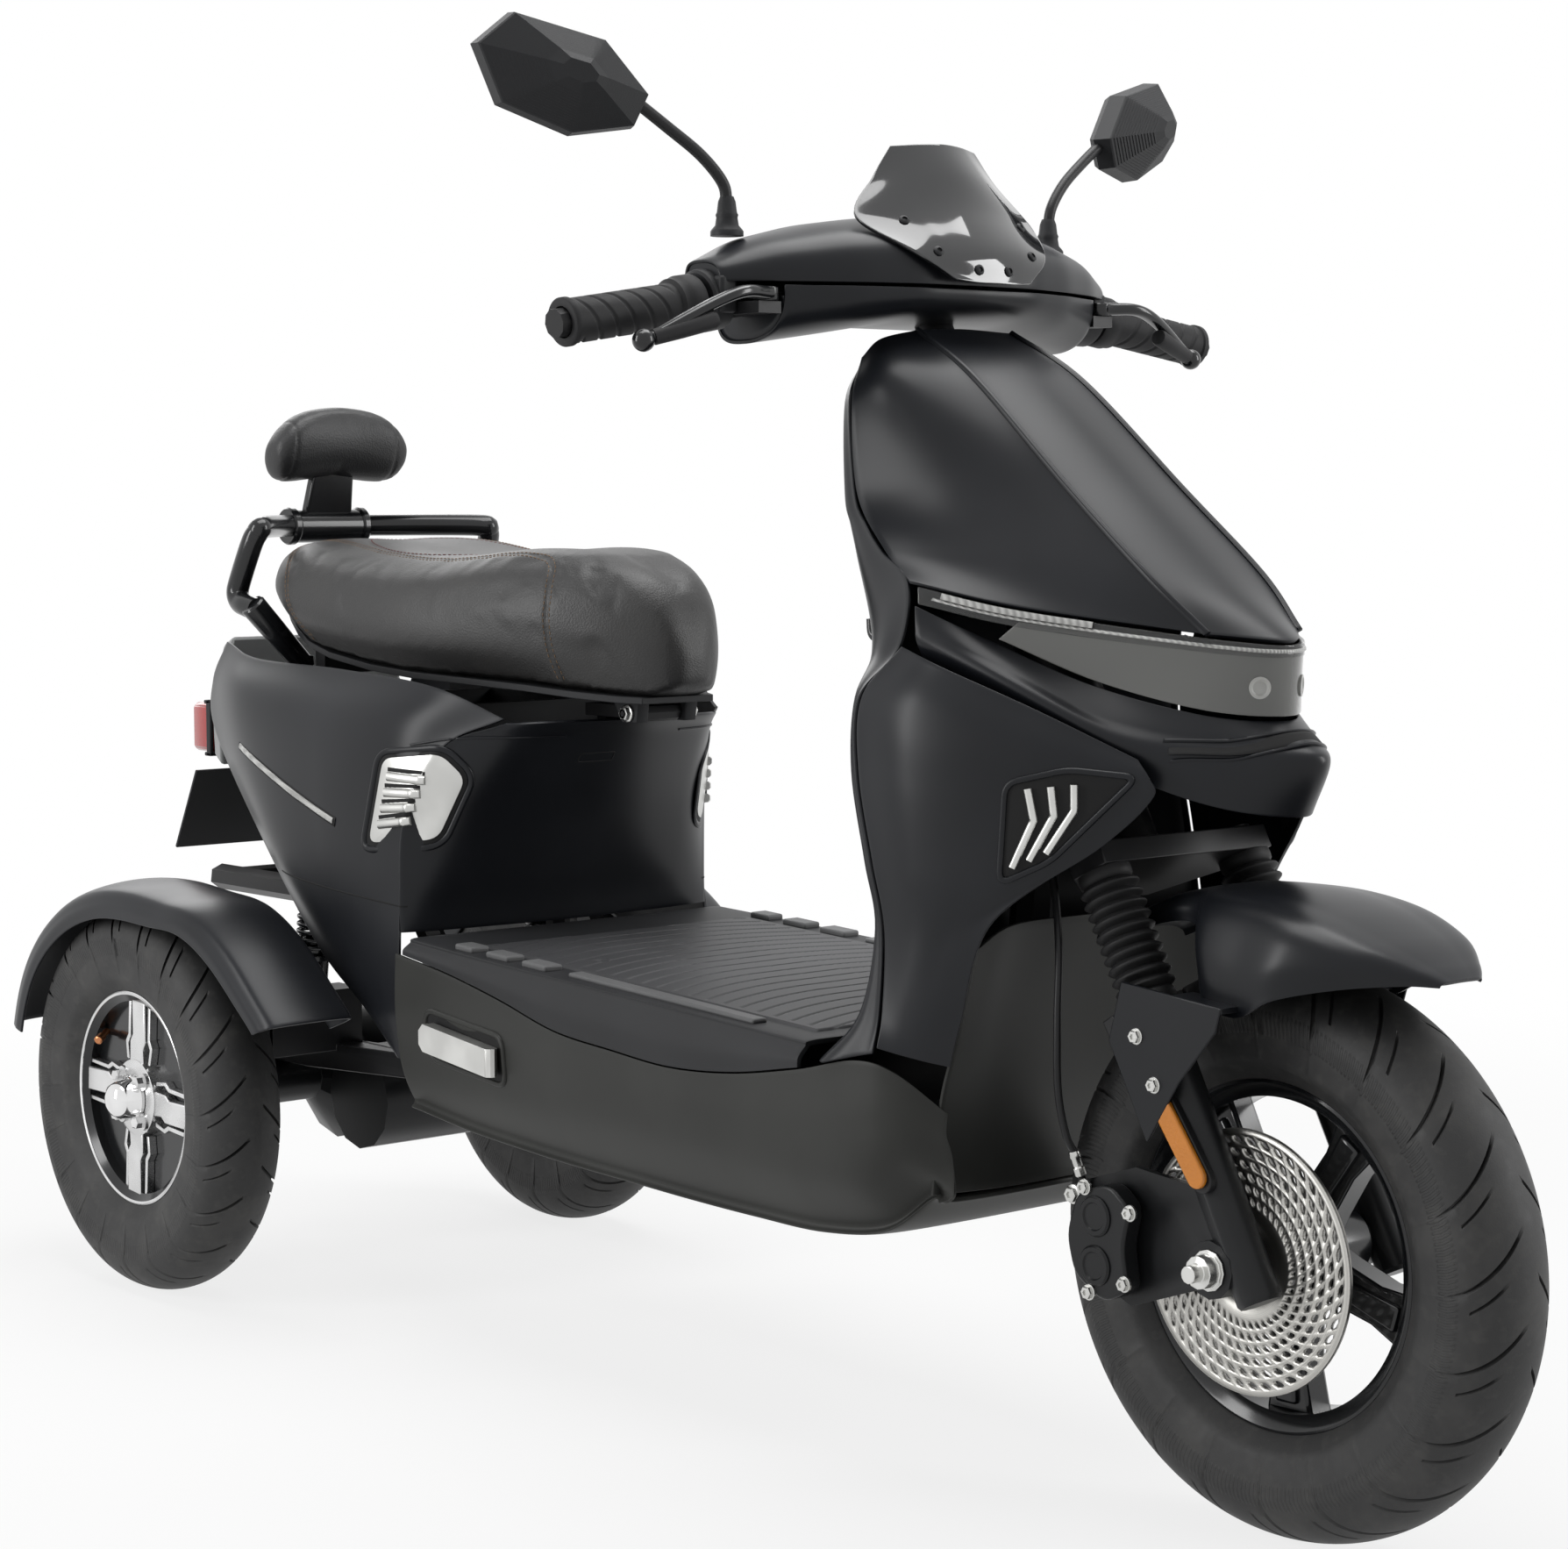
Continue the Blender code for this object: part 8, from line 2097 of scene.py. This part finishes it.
fork_bolts = []
for side in (-1, 1):
    for distance in (-0.135, -0.172):
        x = side * (0.099 + 0.0025)
        fork_bolts += bolt(on_steer(distance, 0, FORK_OFFSET) * (0, 1, 1) + (x, 0, 0), (side, 0, 0), 0.0048)
    fork_bolts += bolt(on_steer(-0.215, side * (FORK_X + 0.0165), FORK_OFFSET + 0.004), (side, 0, 0), 0.0045)
caliper_x = -0.1065
for y, z in ((-0.53, 0.252), (-0.535, 0.176), (-0.575, 0.24), (-0.57, 0.188)):
    fork_bolts += bolt((caliper_x, y, z), (-1, 0, 0), 0.0048)
fork_bolts += bolt((-0.1, -0.512, 0.243), (-1, 0, 0), 0.0058)
place(merge("fork_bolts", fork_bolts), "fork_lower", "brushed_steel")
print("fork bolts")

# %% Caliper body
CALIPER = mm([
    (-572, 182), (-548, 170), (-518, 186), (-510, 214), (-520, 246), (-552, 258), (-574, 242), (-566, 214)])
outline = rounded_outline([(-0.0895, y, z) for y, z in CALIPER], 0.01, 5)
parts = [prism("body", outline, (-0.016, 0, 0), "cast_black", 0.0022, 3)]
for y, z in ((-0.54, 0.232), (-0.54, 0.196)):
    parts.append(turned("piston", (-0.105, y, z), (-1, 0, 0),
        mm([(-2, 0), (-2, 15), (1.5, 15), (3, 13.5), (3, 10.5), (1.8, 9.5), (1.8, 0)]), 32, "cast_black"))
place(merge("caliper_cover", parts), "fork_lower", "cast_black")
print("caliper cover")

# %% Reflectors and brackets
for word, side in SIDES:
    top = on_steer(-0.19, side * (FORK_X + 0.0215), FORK_OFFSET - 0.002)
    foot = on_steer(-0.243, side * (FORK_X + 0.0215), FORK_OFFSET + 0.006)
    way = unit(foot - top)
    across = np.cross(way, (side, 0, 0))
    turn = np.linspace(0, math.pi, 11)
    half = 0.0085
    ends = [top + half * (-np.sin(t) * way + np.cos(t) * across) for t in turn]
    ends += [foot + half * (np.sin(t) * way - np.cos(t) * across) for t in turn]
    lens_piece = prism("reflector_" + word, ends, (side * 0.0045, 0, 0), "amber", 0.0015, 3)
    place(lens_piece, "fork_lower", "red_lens")
    back = np.array(ends)
    middle = back.mean(0)
    base = prism("reflector_base_" + word, middle + (back - middle) * 1.12 - (side * 0.006, 0, 0),
        (side * 0.0062, 0, 0), "steel_black", 0.0008)
    place(base, "fork_lower", "metal_black")
    arm_top = on_steer(-0.112, side * (FORK_X + 0.018), FORK_OFFSET - 0.026)
    arm_foot = on_steer(-0.165, side * (FORK_X + 0.018), FORK_OFFSET - 0.022)
    run = unit(arm_foot - arm_top)
    over = np.cross(run, (side, 0, 0)) * 0.006
    arm = [arm_top - over, arm_top + over, arm_foot + over, arm_foot - over]
    parts = [prism("arm", arm, (side * 0.003, 0, 0), "steel_black", 0.001)]
    reach = side * 0.018
    parts.append(box("tie", (side * FORK_X - 0.004 + min(0, reach), arm_foot[1] - 0.024, arm_foot[2] - 0.004),
        (side * FORK_X + 0.004 + max(0, reach), arm_foot[1] + 0.004, arm_foot[2] + 0.004), "steel_black",
        0.0006))
    parts += bolt(arm_foot + (side * 0.003, 0, 0), (side, 0, 0), 0.005)
    place(merge("hose_bracket_" + word, parts), "fork_lower", "metal_black")
print("reflectors and brackets")

# %% [markdown]
# ## Handlebar fittings
# Beside each grip stands a housing: the throttle's drum and the switch block. A rubber sleeve covers the
# lever's blade, and a bolt holds its pivot.

# %% Switch housings
for word, side in SIDES:
    way = unit(bar_line(side * BAR_END) - bar_line(side * BAR_BEND_X))
    start = bar_line(side * 0.19)
    drum = [(0, 0.0), (0, 0.0215), (0.0015, 0.0235), (0.015, 0.024), (0.0185, 0.0235), (0.02, 0.0215),
        (0.02, 0.0)]
    parts = [turned("drum", start, way, drum, 40, "grained")]
    parts.append(box("block", (min(start[0], start[0] + side * 0.016), start[1] - 0.026, start[2] - 0.012),
        (max(start[0], start[0] + side * 0.016), start[1] + 0.01, start[2] + 0.016), "grained", 0.003, 3))
    place(merge("switch_housing_" + word, parts), "steering", "texture_black")
    sleeve = turned("lever_sleeve_" + word, np.array((side * 0.236, -0.2735, 0.8785)),
        np.array((side * 0.056, 0.0155, -0.0165)), mm([(0, 0), (0, 6.2), (3, 7.2), (30, 6.8), (52, 6),
        (54, 0)]), 24, "grip")
    place(sleeve, "lever_" + word, "rubber")
    screw_piece = turned("lever_bolt_" + word, (side * PIVOT_X, PIVOT_Y, 0.9), (0, 0, 1),
        mm([(-1, 0), (-1, 5.8), (3.5, 5.8), (4.2, 4.8), (4.2, 0)]), 6, "zinc")
    place(screw_piece, "steering", "brushed_steel")
print("switch housings")

# %% [markdown]
# The cowl's open ends are closed by small caps, as on the real one, where the bar passes through.

# %% Cowl caps
CAPS = [
    # name, place across, place along, upper, height of a point inside
    ("cowl_cap_", 0.2035, -0.2185, True, 0.91), ("cowl_foot_cap_", 0.164, -0.226, False, 0.89)]
shares = np.linspace(0.985, 0.0, 7)[:-1, None, None]
for word, side in SIDES:
    for name, x, y, upper, height in CAPS:
        rim = cowl_grid(np.array([side * x]), upper)[0, 2:-2]
        centre = np.array((side * x, y, COWL_SPLIT_Z + (COWL_GAP if upper else -COWL_GAP) / 2))
        cap = panel(name + word, centre + (rim - centre) * shares, (0, -0.22, height), "satin", 0.0015, 0)
        place(cap, "steering", "satin_black")
print("cowl caps")

# %% [markdown]
# ## Tail
# The lamp sits in a dark frame, and two screws hold the blank number plate.

# %% Tail frame, plate screws and hinge bolts
parts = [box("frame_top", (-0.066, 0.754, 0.5395), (0.066, 0.766, 0.5435), "grained", 0.0012),
    box("frame_foot", (-0.066, 0.754, 0.4865), (0.066, 0.766, 0.4905), "grained", 0.0012)]
for side in (-1, 1):
    parts.append(box("frame_side", (side * 0.064 - 0.002, 0.754, 0.4865), (side * 0.064 + 0.002, 0.762, 0.5435),
        "grained", 0.0012))
place(merge("tail_lamp_frame", parts), "chassis", "texture_black")
screws = []
plate_way = np.array((0, 0.883, 0.469))
for x in (-0.055, 0.055):
    screws.append(screw("screw", np.array((x, 0.764, 0.4515)), plate_way, 0.0045, "zinc"))
place(merge("plate_screws", screws), "chassis", "brushed_steel")
hinge = []
for x in (-0.0345, 0.0345):
    hinge += bolt((x, 0.1, 0.56), (math.copysign(1, x), 0, 0), 0.0062, 0.0055)
place(merge("hinge_bolts", hinge), "seat", "brushed_steel")
hook = mm([(-55, -270, 640), (-55, -255, 636), (-55, -244, 640), (-55, -242, 652)])
place(tube("bag_hook", resample(hook, 24), 0.004, "gloss", 16), "chassis", "metal_black")
print("tail and hinge fittings")

# %% [markdown]
# ## Floor and light
# The photograph's background is pure white, so the world is white wherever the camera looks at it, straight, in a
# reflection or through glass, while the lamps that light the scooter are large and soft. The floor is a plain pale
# sheet: near the scooter it keeps the shadow, and farther off it fades to the same white.

# %% Floor and backdrop
FLOOR_HALF = 9.0
FLOOR_COLOUR = (0.86, 0.86, 0.86)
FLOOR_GLOW = 0.8
SHADOW_REACH = (0.9, 2.4)
WORLD_LIGHT = 0.16
SEEN_BY = ("Is Camera Ray", "Is Glossy Ray", "Is Transmission Ray")


def studio_white(name, colour, glow, near, far):
    """A pale surface: part of it is plain white light to the camera, from glow up to 1 between two distances."""
    finish = Finish(name)
    diffuse = finish.node("BsdfDiffuse", None, {"Color": colour})
    white = finish.node("Emission", None, {"Color": (1, 1, 1), "Strength": 1.0})
    camera, glossy, through = (finish.node("LightPath", out=ray) for ray in SEEN_BY)
    seen = camera.math("MAXIMUM", glossy.math("MAXIMUM", through))
    away = finish.node("VectorMath", {"operation": "LENGTH"}, {0: finish.where}, out="Value")
    share = away.smooth(near, far) * (1.0 - glow) + glow
    mixed = finish.node("MixShader", None, {0: seen * share, 1: diffuse, 2: white})
    end = finish.tree.nodes.new("ShaderNodeOutputMaterial")
    finish.tree.links.new(mixed.socket, end.inputs["Surface"])
    return finish.material


finishes["floor"] = studio_white("studio_floor", FLOOR_COLOUR, FLOOR_GLOW, *SHADOW_REACH)
corners = [(-FLOOR_HALF, -FLOOR_HALF, 0), (FLOOR_HALF, -FLOOR_HALF, 0), (FLOOR_HALF, FLOOR_HALF, 0),
    (-FLOOR_HALF, FLOOR_HALF, 0)]
floor_sheet = add("studio_floor", corners, [(0, 1, 2, 3)], "floor")

world = bpy.data.worlds.new("studio")
world.use_nodes = True
bpy.context.scene.world = world
sky = world.node_tree
background = sky.nodes["Background"]
background.inputs["Color"].default_value = (1, 1, 1, 1)
path = sky.nodes.new("ShaderNodeLightPath")
seen = path
for ray in SEEN_BY[1:]:
    either = sky.nodes.new("ShaderNodeMath")
    either.operation = "MAXIMUM"
    sky.links.new(seen.outputs[0], either.inputs[0])
    sky.links.new(path.outputs[ray], either.inputs[1])
    seen = either
strength = sky.nodes.new("ShaderNodeMath")
strength.operation = "MULTIPLY_ADD"
sky.links.new(seen.outputs[0], strength.inputs[0])
strength.inputs[1].default_value = 1.0 - WORLD_LIGHT
strength.inputs[2].default_value = WORLD_LIGHT
sky.links.new(strength.outputs[0], background.inputs["Strength"])
print("floor and world")

# %% Soft boxes
SOFT_BOXES = [
    # name, place, target, width, height, power
    ("overhead", (0.2, 0.0, 3.0), (0, 0, 0.5), 1.5, 2.6, 62.0),
    ("front_left", (2.4, -2.6, 1.6), (0, -0.2, 0.6), 0.9, 2.2, 46.0),
    ("right_side", (-3.0, 1.1, 1.5), (0, 0.1, 0.5), 0.8, 2.4, 52.0),
    ("rear_rim", (0.8, 3.2, 2.2), (0, 0, 0.6), 2.0, 1.6, 24.0),
]
for name, where, target, wide, tall, power in SOFT_BOXES:
    lamp = bpy.data.lights.new(name, "AREA")
    lamp.shape = "RECTANGLE"
    lamp.size, lamp.size_y, lamp.energy = wide, tall, power
    holder = bpy.data.objects.new(name, lamp)
    bpy.context.scene.collection.objects.link(holder)
    aim = (Vector(target) - Vector(where)).to_track_quat("-Z", "Y")
    holder.matrix_world = Matrix.Translation(where) @ aim.to_matrix().to_4x4()
bpy.context.scene.view_settings.view_transform = "Standard"
print(len(SOFT_BOXES), "soft boxes")
